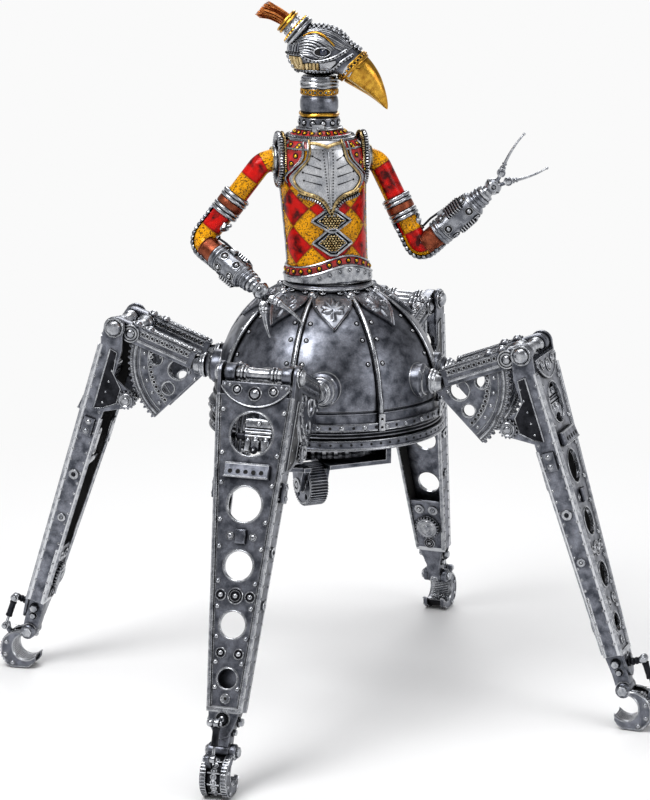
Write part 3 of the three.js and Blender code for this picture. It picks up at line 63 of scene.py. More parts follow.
# Leg sizes; places are (outward, up) in the frame of a leg, and "down" runs along the shank from the knee
HIP = (82.0, 232.0)
HIP_FACE, KNEE, LEAN, KNEE_PIN = 80.0, (144.0, 255.7), 17.4, 11.4
THIGH_OUT, THIGH_UP = 62.0, 23.7
THIGH_PITCH = degrees(atan2(THIGH_UP, THIGH_OUT))
SHANK_L, SHANK_TOP, SHANK_END, SHANK_FACE, SHANK_WALL = 214.5, 26.35, 11.4, 6.5, 2.2
WINDOWS = ((38.7, 14.0), (83.4, 11.4), (122.4, 9.5), (159.9, 8.6), (193.9, 6.4))
PINION_DOWN, PINION_BACK = 46.0, 22.8
ANKLE_DOWN, CLAW_REACH, CLAW_HEIGHT = 239.6, 222.0, 13.2
ANKLE_PIN, LUG, HORN_OUT, HORN_DOWN = (215.65, 27.06), (235.0, 28.0), 18.0, ANKLE_DOWN - 17.6
SIDE = 19.0
# Turns of the trunk and of the head against the carriage, in degrees
TRUNK_YAW, HEAD_YAW = -14.8, 55.0


# Numbers, places and directions

def turn(angle, axis="Z"):
    return Matrix.Rotation(radians(angle), 4, axis)


def shift(x, y, z):
    return Matrix.Translation((x, y, z))


def polar(radius, angle):
    return radius * cos(radians(angle)), radius * sin(radians(angle))


def facing(place, direction, roll=0.0):
    """Sends local Z along a direction and the origin to a place."""
    spin = Vector(direction).to_track_quat("Z", "Y").to_matrix().to_4x4()
    return Matrix.Translation(place) @ spin @ turn(roll)


def mix(a, b, share):
    """A value between two others."""
    return a + (b - a) * share


def spread(start, end, count):
    """Even steps from start to end, both of them included."""
    return [mix(start, end, i / count) for i in range(count + 1)]


def bent(a, b, c, t):
    """A place on the curve that leaves a toward b and arrives at c."""
    return a * (1 - t) ** 2 + b * 2 * t * (1 - t) + c * t * t


def heading(azimuth):
    """The direction of an azimuth in plan; 0 is the front."""
    return sin(radians(azimuth)), -cos(radians(azimuth))


def circle(radius, count, height=0.0, offset=0.0):
    """Evenly spaced places on a circle about Z."""
    return [shift(*polar(radius, 360 * (k + offset) / count), height) for k in range(count)]


def curve_value(table, x):
    """A smooth reading between the points of a table of (x, y)."""
    if x <= table[0][0]:
        return table[0][1]
    for i in range(len(table) - 1):
        (x0, y0), (x1, y1) = table[i], table[i + 1]
        if x <= x1:
            before = table[max(i - 1, 0)]
            after = table[min(i + 2, len(table) - 1)]
            slope0 = (y1 - before[1]) / max(x1 - before[0], 1e-9) * (x1 - x0)
            slope1 = (after[1] - y0) / max(after[0] - x0, 1e-9) * (x1 - x0)
            t = (x - x0) / (x1 - x0)
            return ((2 * t**3 - 3 * t**2 + 1) * y0 + (t**3 - 2 * t**2 + t) * slope0
                    + (3 * t**2 - 2 * t**3) * y1 + (t**3 - t**2) * slope1)
    return table[-1][1]


def line_value(table, x):
    """A straight reading between the points of a table of (x, y)."""
    if x <= table[0][0]:
        return table[0][1]
    for (x0, y0), (x1, y1) in zip(table, table[1:]):
        if x <= x1:
            return mix(y0, y1, (x - x0) / (x1 - x0))
    return table[-1][1]


STAND = turn(90, "X")
ACROSS = turn(-90, "X")
UNDER = turn(180, "X")
OUTWARD = turn(90, "Y")
FACE = Matrix(((0, 0, 1, 0), (1, 0, 0, 0), (0, 1, 0, 0), (0, 0, 0, 1)))
CARRIAGE = shift(0, SETBACK, 0)
SHANK = shift(KNEE[0], 0, KNEE[1]) @ turn(-LEAN, "Y")
THIGH = shift(KNEE[0], 0, KNEE[1]) @ turn(-THIGH_PITCH, "Y")


def leg_place(azimuth):
    """The frame of a leg against the carriage."""
    return CARRIAGE @ turn(azimuth - 90)


# Shapes: each is (corners, faces, UV of each face or None)

def soft(profile, radius, steps=2):
    """The profile with each inner corner rounded."""
    done = [profile[0]]
    for before, here, after in zip(profile, profile[1:], profile[2:]):
        a, b, c = Vector(before), Vector(here), Vector(after)
        into, out = a - b, c - b
        reach = min(radius, into.length * 0.45, out.length * 0.45)
        if reach < 0.02 or into.angle(out, 0) > 2.9:
            done.append(here)
            continue
        start, end = b + into.normalized() * reach, b + out.normalized() * reach
        for i in range(steps + 1):
            done.append(tuple(bent(start, b, end, i / steps)))
    done.append(profile[-1])
    return done


def grid(columns, rows, point, closed=False):
    """A sheet of quads whose corners come from point(column share, row share)."""
    wide = columns if closed else columns + 1
    corners = [Vector(point(i / columns, j / rows)) for j in range(rows + 1) for i in range(wide)]
    faces, uvs = [], []
    for j in range(rows):
        for i in range(columns):
            right = (i + 1) % wide
            faces.append((j * wide + i, j * wide + right, (j + 1) * wide + right, (j + 1) * wide + i))
            u0, u1, v0, v1 = i / columns, (i + 1) / columns, j / rows, (j + 1) / rows
            uvs.append(((u0, v0), (u1, v0), (u1, v1), (u0, v1)))
    return corners, faces, uvs


def lathe(profile, segments=32, closed=False):
    """A profile of (radius, height) turned about Z; a closed one ends where it starts."""
    loop = list(profile) + ([profile[0]] if closed else [])
    corners, rings = [], []
    for radius, height in loop[:-1] if closed else loop:
        if radius < 1e-6:
            rings.append([len(corners)])
            corners.append(Vector((0, 0, height)))
        else:
            rings.append(list(range(len(corners), len(corners) + segments)))
            for i in range(segments):
                angle = 2 * pi * i / segments
                corners.append(Vector((radius * cos(angle), radius * sin(angle), height)))
    if closed:
        rings.append(rings[0])
    faces = []
    for low, high in zip(rings, rings[1:]):
        for i in range(segments):
            k = (i + 1) % segments
            if len(low) > 1 and len(high) > 1:
                faces.append((low[i], low[k], high[k], high[i]))
            elif len(high) > 1:
                faces.append((low[0], high[k], high[i]))
            elif len(low) > 1:
                faces.append((low[i], low[k], high[0]))
    return corners, faces, None


def tube(path, radius, sides=10, closed=False, squash=1.0, capped=True):
    """A round bar along a path; the radius is one number or one for each place."""
    path = [Vector(p) for p in path]
    count = len(path)
    radii = radius if isinstance(radius, (list, tuple)) else [radius] * count
    corners, faces, uvs = [], [], []
    ahead = (path[1] - path[0]).normalized()
    normal = ahead.orthogonal().normalized()
    frames = []
    for i, place in enumerate(path):
        if closed:
            along = (path[(i + 1) % count] - path[i - 1]).normalized()
        else:
            along = (path[min(i + 1, count - 1)] - path[max(i - 1, 0)]).normalized()
        normal = (normal - along * normal.dot(along)).normalized()
        frames.append((place, normal.copy(), along.cross(normal)))
    for (place, normal, side), size in zip(frames, radii):
        for k in range(sides):
            angle = 2 * pi * k / sides
            corners.append(place + size * (normal * cos(angle) + side * sin(angle) * squash))
    spans = count if closed else count - 1
    for i in range(spans):
        j = (i + 1) % count
        for k in range(sides):
            m = (k + 1) % sides
            faces.append((i * sides + k, i * sides + m, j * sides + m, j * sides + k))
            u0, u1, v0, v1 = k / sides, (k + 1) / sides, i / spans, (i + 1) / spans
            uvs.append(((u0, v0), (u1, v0), (u1, v1), (u0, v1)))
    if capped and not closed:
        faces += [tuple(reversed(range(sides))), tuple(range((count - 1) * sides, count * sides))]
        uvs += [((0, 0),) * sides] * 2
    return corners, faces, uvs


def plate(outline, holes, thickness, bevel=0.3):
    """A flat plate in the XY plane, centred on it, with rounded edges; holes are outlines too."""
    sheet = bpy.data.curves.new("plate", "CURVE")
    sheet.dimensions = "2D"
    sheet.fill_mode = "BOTH"
    sheet.extrude = max(thickness / 2 - bevel, 0.001)
    sheet.bevel_depth = bevel
    sheet.bevel_resolution = 1
    sheet.offset = -bevel
    for loop in [outline, *holes]:
        spline = sheet.splines.new("POLY")
        spline.points.add(len(loop) - 1)
        for corner, (x, y) in zip(spline.points, loop):
            corner.co = (x, y, 0, 1)
        spline.use_cyclic_u = True
    carrier = bpy.data.objects.new("plate", sheet)
    mesh = carrier.to_mesh()
    corners = [v.co.copy() for v in mesh.vertices]
    faces = [tuple(f.vertices) for f in mesh.polygons]
    carrier.to_mesh_clear()
    bpy.data.objects.remove(carrier)
    bpy.data.curves.remove(sheet)
    return corners, faces, None


def ring_outline(radius, steps=28, x=0.0, y=0.0):
    return [(x + polar(radius, 360 * i / steps)[0], y + polar(radius, 360 * i / steps)[1])
            for i in range(steps)]


def arc_outline(radius, start, end, steps, x=0.0, y=0.0):
    return [(x + polar(radius, mix(start, end, i / steps))[0],
             y + polar(radius, mix(start, end, i / steps))[1]) for i in range(steps + 1)]


def turned(profile, corner, segments=32, closed=False):
    """A lathe shape whose inner corners are rounded first."""
    return lathe(soft(profile, corner), segments, closed)


def mirrored(half):
    """A pin's profile from one half of it: (radius, height below zero)."""
    return half + [(radius, -height) for radius, height in reversed(half)]


def toothed(radius, root, teeth, share=0.5):
    """A gear's outline with trapezoid teeth."""
    loop, pitch = [], 360 / teeth
    for i in range(teeth):
        for place, reach in ((-0.5, root), (-0.5 * share - 0.06, root), (-0.3 * share, radius),
                             (0.3 * share, radius), (0.5 * share + 0.06, root)):
            loop.append(polar(reach, pitch * (i + place)))
    return loop


def box(width, depth, height, bevel=0.4):
    """A block with rounded edges about the origin."""
    outline = [(-width / 2, -depth / 2), (width / 2, -depth / 2), (width / 2, depth / 2),
               (-width / 2, depth / 2)]
    return plate(outline, [], height, min(bevel, width / 3, depth / 3, height / 3))


def dome(radius, height, segments=14, rows=4):
    """A rivet head standing on the XY plane."""
    profile = [(radius, -0.25)] + [(radius * cos(a), height * sin(a))
                                   for a in (i / rows * pi / 2 for i in range(rows))]
    return lathe(profile + [(0, height)], segments)


def washer(radius, inner, height, segments=20):
    edge = min(0.25, height / 3)
    return lathe(soft([(inner, -0.2), (inner, height), (radius, height), (radius, -0.2)], edge, 1), segments)


def bead(radius, segments=8):
    rows = max(segments // 2, 3)
    return lathe([(0, -radius)] + [(radius * sin(pi * i / rows), -radius * cos(pi * i / rows))
                                   for i in range(1, rows)] + [(0, radius)], segments)


def torus(radius, thickness, segments=40, sides=8, squash=1.0):
    path = [(*polar(radius, 360 * i / segments), 0) for i in range(segments)]
    return tube(path, thickness, sides, closed=True, squash=squash)


def hexagon(radius, height):
    return lathe([(radius, -0.2), (radius, height * 0.75), (radius * 0.86, height), (0, height)], 6)


def level(height):
    """A relief of one height."""
    return lambda s, t: height


def pillow(s, t):
    """A relief that falls away toward two sides."""
    return 1.1 - 0.5 * abs(s) ** 3


def raised(columns, rows, point, relief, depth=0.0):
    """A sheet with a worked upper face and a rim turned down by a depth: point(s, t, height above)."""
    corners, faces, uvs = grid(columns, rows, lambda u, v: point(u * 2 - 1, v, relief(u * 2 - 1, v)))
    border = [(0, j) for j in range(rows + 1)] + [(i, rows) for i in range(1, columns + 1)]
    border += [(columns, j) for j in range(rows - 1, -1, -1)] + [(i, 0) for i in range(columns - 1, 0, -1)]
    base = len(corners)
    for i, j in border:
        corners.append(Vector(point(i / columns * 2 - 1, j / rows, -depth)))
    count = len(border)
    for k, (i, j) in enumerate(border):
        i2, j2 = border[(k + 1) % count]
        upper, upper_next = j * (columns + 1) + i, j2 * (columns + 1) + i2
        faces.append((upper, upper_next, base + (k + 1) % count, base + k))
        uvs.append(((0, 0),) * 4)
    return corners, faces, uvs


def placed(shape, matrix):
    corners, faces, uvs = shape
    return [matrix @ c for c in corners], faces, uvs


def warped(shape, change):
    corners, faces, uvs = shape
    return [Vector(change(c)) for c in corners], faces, uvs


class Work:
    """Shapes gathered for one piece, each with its material, in millimetres."""

    def __init__(self):
        self.corners, self.faces, self.uvs, self.finishes, self.names = [], [], [], [], []

    def add(self, shape, finish, place=None):
        corners, faces, uvs = shape
        base = len(self.corners)
        self.corners += [place @ c for c in corners] if place else corners
        self.faces += [tuple(base + i for i in face) for face in faces]
        self.uvs += uvs if uvs else [None] * len(faces)
        if finish not in self.names:
            self.names.append(finish)
        self.finishes += [self.names.index(finish)] * len(faces)
        return self

    def many(self, shape, finish, places):
        for place in places:
            self.add(shape, finish, place)
        return self

    def bolt(self, spot, base, head, finish="steel", seat="steel"):
        """A washer and a rounded head on it, each by its own sizes."""
        return self.add(washer(*base), seat, spot).add(dome(*head), finish, spot)


def make(name, work, body, nodes, slot, place=None, crease=38):
    """Writes the gathered shapes as one object that stands for the named nodes."""
    mesh = bpy.data.meshes.new(name)
    corners = [(place @ c if place else c) * MM for c in work.corners]
    mesh.from_pydata(corners, [], work.faces)
    layer = mesh.uv_layers.new(name="UVMap")
    for polygon, uvs, finish in zip(mesh.polygons, work.uvs, work.finishes):
        polygon.material_index = finish
        if uvs:
            for loop, uv in zip(polygon.loop_indices, uvs):
                layer.data[loop].uv = uv
    for finish in work.names:
        mesh.materials.append(material(finish))
    editor = bmesh.new()
    editor.from_mesh(mesh)
    bmesh.ops.recalc_face_normals(editor, faces=editor.faces)
    for face in editor.faces:
        face.smooth = True
    limit = radians(crease)
    for edge in editor.edges:
        edge.smooth = len(edge.link_faces) == 2 and edge.calc_face_angle(0) < limit
    editor.to_mesh(mesh)
    editor.free()
    made = bpy.data.objects.new(name, mesh)
    bpy.context.scene.collection.objects.link(made)
    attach(made, body)
    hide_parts(*nodes)
    return made


# Materials

def linear(colour):
    """An sRGB hex colour, or a colour property, as linear RGBA."""
    if not isinstance(colour, str):
        return tuple(colour)
    parts = [int(colour[i:i + 2], 16) / 255 for i in (1, 3, 5)]
    return (*[c / 12.92 if c <= 0.04045 else ((c + 0.055) / 1.055) ** 2.4 for c in parts], 1.0)


class Nodes:
    """Adds nodes to a material's tree with their settings and links."""

    def __init__(self, name):
        self.material = bpy.data.materials.new(name)
        self.material.use_nodes = True
        self.tree = self.material.node_tree
        self.shader = self.tree.nodes["Principled BSDF"]

    def add(self, kind, links=(), **settings):
        node = self.tree.nodes.new("ShaderNode" + kind)
        for key, value in settings.items():
            if key.startswith("in_"):
                node.inputs[key[3:].replace("_", " ")].default_value = value
            else:
                setattr(node, key, value)
        for socket, source in dict(links).items():
            self.tree.links.new(source, node.inputs[socket])
        return node

    def to_shader(self, socket, source):
        self.tree.links.new(source, self.shader.inputs[socket])

    def ramp(self, source, stops):
        node = self.add("ValToRGB", {"Fac": source})
        elements = node.color_ramp.elements
        while len(elements) < len(stops):
            elements.new(0.5)
        for element, (place, colour) in zip(elements, stops):
            element.position = place
            element.color = colour if isinstance(colour, tuple) else (colour,) * 3 + (1.0,)
        return node.outputs["Color"]

    def blend(self, factor, a, b, kind="MIX"):
        node = self.add("Mix", {}, data_type="RGBA", blend_type=kind)
        for socket, value in ((0, factor), (6, a), (7, b)):
            if isinstance(value, bpy.types.NodeSocket):
                self.tree.links.new(value, node.inputs[socket])
            else:
                node.inputs[socket].default_value = value
        return node.outputs[2]

    def math(self, operation, a, b=0.0, c=0.0):
        node = self.add("Math", {}, operation=operation)
        for socket, value in ((0, a), (1, b), (2, c)):
            if isinstance(value, bpy.types.NodeSocket):
                self.tree.links.new(value, node.inputs[socket])
            else:
                node.inputs[socket].default_value = value
        return node.outputs[0]

    def noise(self, size_mm, detail=4.0, stretch=None):
        place = self.add("TexCoord").outputs["Object"]
        if stretch:
            place = self.add("Mapping", {"Vector": place}, in_Scale=stretch).outputs["Vector"]
        return self.add("TexNoise", {"Vector": place}, in_Scale=1 / (size_mm * MM),
                        in_Detail=detail).outputs["Fac"]

    def recess(self, reach_mm):
        return self.add("AmbientOcclusion", {}, samples=6, in_Distance=reach_mm * MM).outputs["AO"]


def metal(name, bright, dull, recess_shade, rough, patch=7.0, reach=3.2, bump=0.1, grit=0.6, edge_wear_and_highlight=None):
    """Aged metal: edges bright from wear and painted highlight, duller patches, painted shade where faces
    meet.
    """
    n = Nodes(name)
    fine = n.noise(0.9, 6.0)
    patches = n.ramp(n.noise(patch, 8.0), [(0.36, 0.0), (0.66, 1.0)])
    skin = n.blend(patches, linear(bright), linear(dull))
    grain = n.ramp(fine, [(0.36, 0.5), (0.64, 1.0)])
    skin = n.blend(grit, skin, grain, "MULTIPLY")
    # edges found by inside occlusion take this colour: partly wear, partly painted highlight
    if edge_wear_and_highlight:
        inner = n.add("AmbientOcclusion", {}, samples=5, inside=True, in_Distance=0.6 * MM).outputs["AO"]
        skin = n.blend(n.ramp(inner, [(0.5, 1.0), (0.88, 0.0)]), skin, linear(edge_wear_and_highlight))
    # occlusion darkens recesses and joins toward the recess shade colour: painted shade
    unshaded_share = n.ramp(n.recess(reach), [(0.4, 0.0), (0.93, 1.0)])
    n.to_shader("Base Color", n.blend(unshaded_share, linear(recess_shade), skin))
    worn = n.math("MULTIPLY_ADD", fine, 0.2, rough - 0.1)
    n.to_shader("Roughness", n.math("MAXIMUM", worn, 0.06))
    n.shader.inputs["Metallic"].default_value = 1.0
    height = n.add("Bump", {"Height": fine}, in_Strength=bump, in_Distance=0.3 * MM)
    n.to_shader("Normal", height.outputs["Normal"])
    return n.material


def enamel(name, red, yellow, columns, rows, blocks=False, phase=0.0):
    """Red and speckled yellow enamel from the UV, smoked black along the edges: lozenges or blocks."""
    n = Nodes(name)
    parts = n.add("SeparateXYZ", {"Vector": n.add("TexCoord").outputs["UV"]}).outputs
    across = n.math("SUBTRACT", n.math("FRACT", n.math("MULTIPLY", parts[0], columns)), 0.5)
    up = n.math("SUBTRACT", n.math("FRACT", n.math("MULTIPLY_ADD", parts[1], rows, phase)), 0.5)
    wide, tall = n.math("ABSOLUTE", across), n.math("ABSOLUTE", up)
    if blocks:
        inside = n.math("GREATER_THAN", n.math("MULTIPLY", across, up), 0.0)
        edges = [n.math("SUBTRACT", 0.25, n.math("ABSOLUTE", n.math("SUBTRACT", a, 0.25)))
                 for a in (wide, tall)]
        smoke = n.math("MULTIPLY", n.math("MINIMUM", *edges), 2.0)
    else:
        total = n.math("ADD", wide, tall)
        inside = n.ramp(total, [(0.485, 1.0), (0.515, 0.0)])
        smoke = n.math("ABSOLUTE", n.math("SUBTRACT", total, 0.5))
    speck = n.ramp(n.noise(1.1, 8.0), [(0.37, 0.0), (0.5, 1.0)])
    cloud = n.ramp(n.noise(7.0, 8.0), [(0.36, 0.0), (0.56, 1.0)])
    ochre = n.blend(n.math("MULTIPLY", speck, n.ramp(cloud, [(0.0, 0.62), (1.0, 1.0)])), linear("#3A2608"),
                    linear(yellow))
    crimson = n.blend(cloud, linear("#3A0606"), linear(red))
    edge = n.ramp(smoke, [(0.0, 0.4), (0.07, 1.0)])
    colour = n.blend(inside, crimson, ochre)
    n.to_shader("Base Color", n.blend(edge, linear("#1B0A08"), colour))
    n.to_shader("Roughness", n.ramp(n.noise(2.0, 3.0), [(0.3, 0.28), (0.7, 0.48)]))
    n.shader.inputs["Metallic"].default_value = 0.1
    n.shader.inputs["Specular IOR Level"].default_value = 0.15
    n.shader.inputs["Coat Weight"].default_value = 0.08
    n.shader.inputs["Coat Roughness"].default_value = 0.1
    height = n.add("Bump", {"Height": edge}, in_Strength=0.2, in_Distance=0.25 * MM)
    n.to_shader("Normal", height.outputs["Normal"])
    return n.material


def paint(name, main, dark, rough=0.35, reach=2.0, size=4.0, coat=0.15):
    """A single enamel colour, clouded by noise, with black painted shade where faces meet."""
    n = Nodes(name)
    cloud = n.blend(n.ramp(n.noise(size, 6.0), [(0.3, 0.0), (0.7, 1.0)]), linear(dark), linear(main))
    # occlusion paints black shade into recesses and joins
    unshaded_share = n.ramp(n.recess(reach), [(0.25, 0.0), (0.8, 1.0)])
    n.to_shader("Base Color", n.blend(unshaded_share, linear("#0D0706"), cloud))
    n.shader.inputs["Roughness"].default_value = rough
    n.shader.inputs["Coat Weight"].default_value = coat
    return n.material


FINISHES = {
    # gunmetal steel of the dome and leg frames: dark blue-grey, edges polished by handling and painted bright
    # as highlight
    "gunmetal": lambda c: metal("aged gunmetal steel", c.gunmetal, "#484B53", "#0A0A0C", 0.34,
                                edge_wear_and_highlight="#D2D4D8"),
    # polished steel of rails, domes, rings and trim
    "steel": lambda c: metal("polished steel", c.steel, "#888B92", "#0E0E10", 0.25, patch=4.0,
                             reach=2.2, bump=0.04, grit=0.35),
    # silvered steel worked in relief, with near-black painted shade in its hollows
    "worked": lambda c: metal("silvered relief steel", c.worked, "#6A6D75", "#060608", 0.3, patch=5.0,
                              reach=1.8, bump=0.06, grit=0.5),
    # blackened steel; where it fills recesses, channels and holes its dark colour is painted shade
    "dark": lambda c: metal("blackened steel", "#34353A", "#1C1D20", "#050506", 0.38),
    # black painted shade for the unlit inside of bores, slots, holes and gaps
    "void": lambda c: paint("painted black shade", "#060606", "#030303", 0.9, coat=0.0),
    # cast gold-coloured brass of the beak, rings and beads
    "gold": lambda c: metal("gilded brass", c.gold, "#A8742A", "#221003", 0.25, patch=4.0, reach=2.0,
                            bump=0.1, grit=0.5),
    # worn pale brass of small beads and edgings
    "pale_gold": lambda c: metal("worn pale brass", "#D6C08E", "#94784A", "#1D1505", 0.3, patch=3.0,
                                 reach=1.6),
    # bright polished plate
    "bright": lambda c: metal("bright polished steel", "#D4D5D8", "#A6A9AF", "#2A2A2E", 0.3, patch=8.0,
                              reach=1.6, bump=0.05),
    # yellow brass studs
    "brass": lambda c: metal("yellow brass", c.brass, "#B0821A", "#2A1903", 0.28, patch=4.0, reach=1.2,
                             bump=0.05, grit=0.3),
    # brown copper bands of the arms
    "copper": lambda c: metal("brown copper", c.copper, "#6B3526", "#160805", 0.4, patch=5.0, reach=1.8),
    # red and yellow lozenges of the trunk, red and yellow blocks of the arms
    "harlequin": lambda c: enamel("lozenge enamel trunk", c.red, c.yellow, 6.0, 4.0),
    "harlequin_right": lambda c: enamel("block enamel right arm", c.red, c.yellow, 1.0, 2.53, True,
                                        phase=0.233),
    "harlequin_left": lambda c: enamel("block enamel left arm", c.red, c.yellow, 1.0, 2.09, True,
                                       phase=0.094),
    # plain red enamel of the belt, bands and panels
    "red": lambda c: paint("crimson enamel", c.red, "#520907"),
    # ivory plates at the cheek
    "ivory": lambda c: paint("aged ivory enamel", c.ivory, "#A08350", 0.4),
    # dark glass of the eye
    "eye": lambda c: paint("blue-black glass", "#16203A", "#0A0F1C", 0.05, coat=0.6),
    # copper wire bristles
    "bristle": lambda c: metal("copper bristle", c.bristle, "#B4622C", "#3A1608", 0.4, patch=2.0,
                               reach=0.5),
    "bristle_dark": lambda c: metal("dark copper bristle", "#8A3B18", "#5E2710", "#260F06", 0.45,
                                    patch=2.0, reach=0.5),
}
CACHE = {}


def material(finish):
    """The material of a finish, made once."""
    if finish not in CACHE:
        CACHE[finish] = FINISHES[finish](bpy.context.scene.walker_colours)
    return CACHE[finish]


# Carriage

def dome_point(azimuth, radius_plan, lift=0.0):
    """A place on the dome from its azimuth and its distance from the axis in plan."""
    reach = DOME_R + lift
    share = radius_plan / DOME_R
    x, y = heading(azimuth)
    return Vector((reach * share * x, reach * share * y,
                   DOME_CENTRE + reach * sqrt(max(1 - share * share, 0))))


def dome_place(azimuth, radius_plan, lift=0.0):
    place = dome_point(azimuth, radius_plan, lift)
    return facing(place, place - Vector((0, 0, DOME_CENTRE)))


def round_place(azimuth, radius, height, roll=0.0):
    """Stands local Z outward from the axis at an azimuth."""
    x, y = heading(azimuth)
    return facing((radius * x, radius * y, height), (x, y, 0), roll)


def build_dome():
    build_dome_shell()
    build_rim_band()
    build_cage()
    build_collar()


def build_dome_shell():
    """The domed shell with its hip flanges and the rivets beside the straps."""
    sizes, shell = bpy.context.scene.walker, Work()
    top = degrees(acos(MOUTH_R / DOME_R))
    outer = arc_outline(DOME_R, top, 0, 40, 0, DOME_CENTRE)
    groove = [(DOME_R, 217.4), (DOME_R - 0.7, 216.9), (DOME_R - 0.7, 216.0), (DOME_R, 215.5)]
    inner = [(r - DOME_WALL * r / DOME_R, z - DOME_WALL * (z - DOME_CENTRE) / DOME_R)
             for r, z in reversed(outer)]
    foot = [(DOME_R, DOME_FOOT + 0.6), (DOME_R - 0.6, DOME_FOOT), (DOME_R - DOME_WALL, DOME_FOOT)]
    shell.add(lathe(outer[:-1] + groove + foot + inner, 144, closed=True), "gunmetal")
    flange = turned([(0, -13), (11.5, -13), (11.5, -5.4), (9.6, -4.2), (9.6, -3.2), (8.4, -2.6), (7.6, -1),
                     (7.0, 0), (0, 0)], 0.5, 36)
    rivet = dome(1.1, 0.9, 10, 3)
    for _, azimuth in LEGS:
        for side in (-1, 1):
            hip = turn(azimuth - 90) @ shift(HIP_FACE, side * SIDE, HIP[1]) @ OUTWARD
            shell.add(flange, "gunmetal", hip)
            shell.add(torus(9.4, 0.55, 36, 6), "steel", hip @ shift(0, 0, -3.4))
            shell.many(rivet, "steel", [hip @ turn(45 + 90 * k) @ shift(10.6, 0, -5.2) for k in range(4)])
    # a pair of rivets at four places beside each strap
    strap_rivet, seat = dome(sizes.strap_rivet, 1.1, 12, 4), washer(1.9, 1.2, 0.25, 14)
    for k in range(STRAPS):
        for plan in (42.0, 53.5, 62.0, 70.5):
            for side in (-1, 1):
                spot = dome_place(k * 360 / STRAPS + side * degrees(5.4 / plan), plan)
                shell.add(strap_rivet, "steel", spot).add(seat, "dark", spot)
    make("dome_shell", shell, "chassis", ["dome_shell"], "gunmetal", CARRIAGE)


# Profile of a shallow disc that stands for a bore, coloured black as painted shade
PIT = ((0.95, 0.25), (0.9, 0.05), (0, 0.05))


def build_rim_band():
    """The riveted band under a plain skirt."""
    sizes, band = bpy.context.scene.walker, Work()
    inside, outside = DOME_R + 0.3, DOME_R + 2.3
    profile = [(inside, 204.2), (outside + 0.6, 204.2), (outside + 1.1, 205.0), (outside + 1.1, 208.8),
               (outside + 0.5, 209.6), (inside + 0.8, 210.0), (inside + 0.5, 214.6), (inside + 0.9, 215.0),
               (inside + 0.8, 215.8), (inside, RIM_TOP)]
    band.add(turned(profile, 0.3, 144), "gunmetal")
    for height, size in ((204.7, 0.45), (209.2, 0.4)):
        band.add(torus(outside + 0.9, size, 144, 6), "steel", shift(0, 0, height))
    count = sizes.rim_studs
    # every second place round the band is a pit, a black disc of painted shade
    stud, pit = dome(sizes.rim_stud, 1.3, 16, 5), lathe(PIT, 12)
    for k in range(count):
        spot = round_place((k + 0.5) * 360 / count, outside + 1.1, 206.9)
        band.add(pit if k % 2 else stud, "void" if k % 2 else "steel", spot)
    make("rim_band", band, "chassis", ["rim_band"], "gunmetal", CARRIAGE)


def build_cage():
    """The lower hoop, the channel above it and the straps over the dome."""
    cage = Work()
    inside, out = DOME_R + 0.3, DOME_R + 3.6
    hoop = [(inside, DOME_FOOT), (out - 0.8, DOME_FOOT), (out, DOME_FOOT + 0.9), (out, DOME_FOOT + 2.2),
            (out - 0.7, DOME_FOOT + 2.8), (out - 0.7, 197.0), (out, 197.5), (out - 0.4, 198.4),
            (inside, 198.4)]
    cage.add(turned(hoop, 0.3, 144), "gunmetal")
    for height, size in ((DOME_FOOT + 1.2, 0.5), (197.9, 0.4)):
        cage.add(torus(out - 0.1, size, 144, 6), "steel", shift(0, 0, height))
    # the row of dots are black discs of painted shade
    dot = lathe([(0.8, 0.25), (0.75, 0.06), (0, 0.06)], 10)
    cage.many(dot, "void", [round_place(k * 360 / 72, out - 0.72, 195.4) for k in range(72)])
    # stepped lines of the dark channel between the two bands
    for height, reach, finish in ((199.0, 1.0, "dark"), (200.2, 1.9, "gunmetal"), (201.4, 0.9, "dark"),
                                  (202.5, 1.5, "gunmetal"), (203.6, 0.8, "dark")):
        ring = [(DOME_R + 0.2, height - 0.6), (DOME_R + reach, height - 0.5), (DOME_R + reach, height + 0.5),
                (DOME_R + 0.2, height + 0.6)]
        cage.add(lathe(soft(ring, 0.25, 1), 120), finish)
    profile = [(3.3, -0.6), (3.3, 0.7), (2.6, 1.1), (2.6, 1.9), (2.0, 2.7), (1.1, 3.2), (0, 3.3)]
    knob = turned(profile, 0.3, 20)
    tab = plate([(-2.3, -7.0), (2.3, -7.0), (2.3, 4.6), (-2.3, 4.6)],
                [ring_outline(0.9, 12, 0, y) for y in (-4.4, 1.2)], 1.4, 0.3)
    for k in range(STRAPS):
        azimuth = k * 360 / STRAPS
        path = [dome_point(azimuth, plan, 1.0)
                for plan in (33, 36, 40, 44, 48, 52, 56, 60, 64, 67.5, 70.5, 73, 75, 76.4)]
        low = round_place(azimuth, DOME_R + 2.2, 0).translation
        path += [Vector((low.x, low.y, z)) for z in (222, 219, 214)]
        cage.add(tube(path, 1.75, 12, squash=0.75), "steel")
        for side in (-1, 1):
            aside = Vector((cos(radians(azimuth)), sin(radians(azimuth)), 0)) * side * 1.75
            cage.add(tube([p + aside for p in path], 0.4, 6), "dark")
        cage.add(knob, "steel", dome_place(azimuth, 33.4, 0.7))
        bracket = round_place(azimuth, DOME_R + 3.9, 211.0)
        cage.add(tab, "steel", bracket)
        for y in (-4.4, 1.2):
            cage.add(lathe(PIT, 12), "void", bracket @ shift(0, y, 0.2))
    make("rib_cage", cage, "chassis", ["rib_cage"], "steel", CARRIAGE)


# Half width of a leaf of the collar, by share of its length
LEAF = [(0, 7.0), (0.08, 10.0), (0.2, 12.2), (0.36, 12.9), (0.5, 12.2), (0.66, 9.6), (0.84, 5.0), (1, 0.3)]


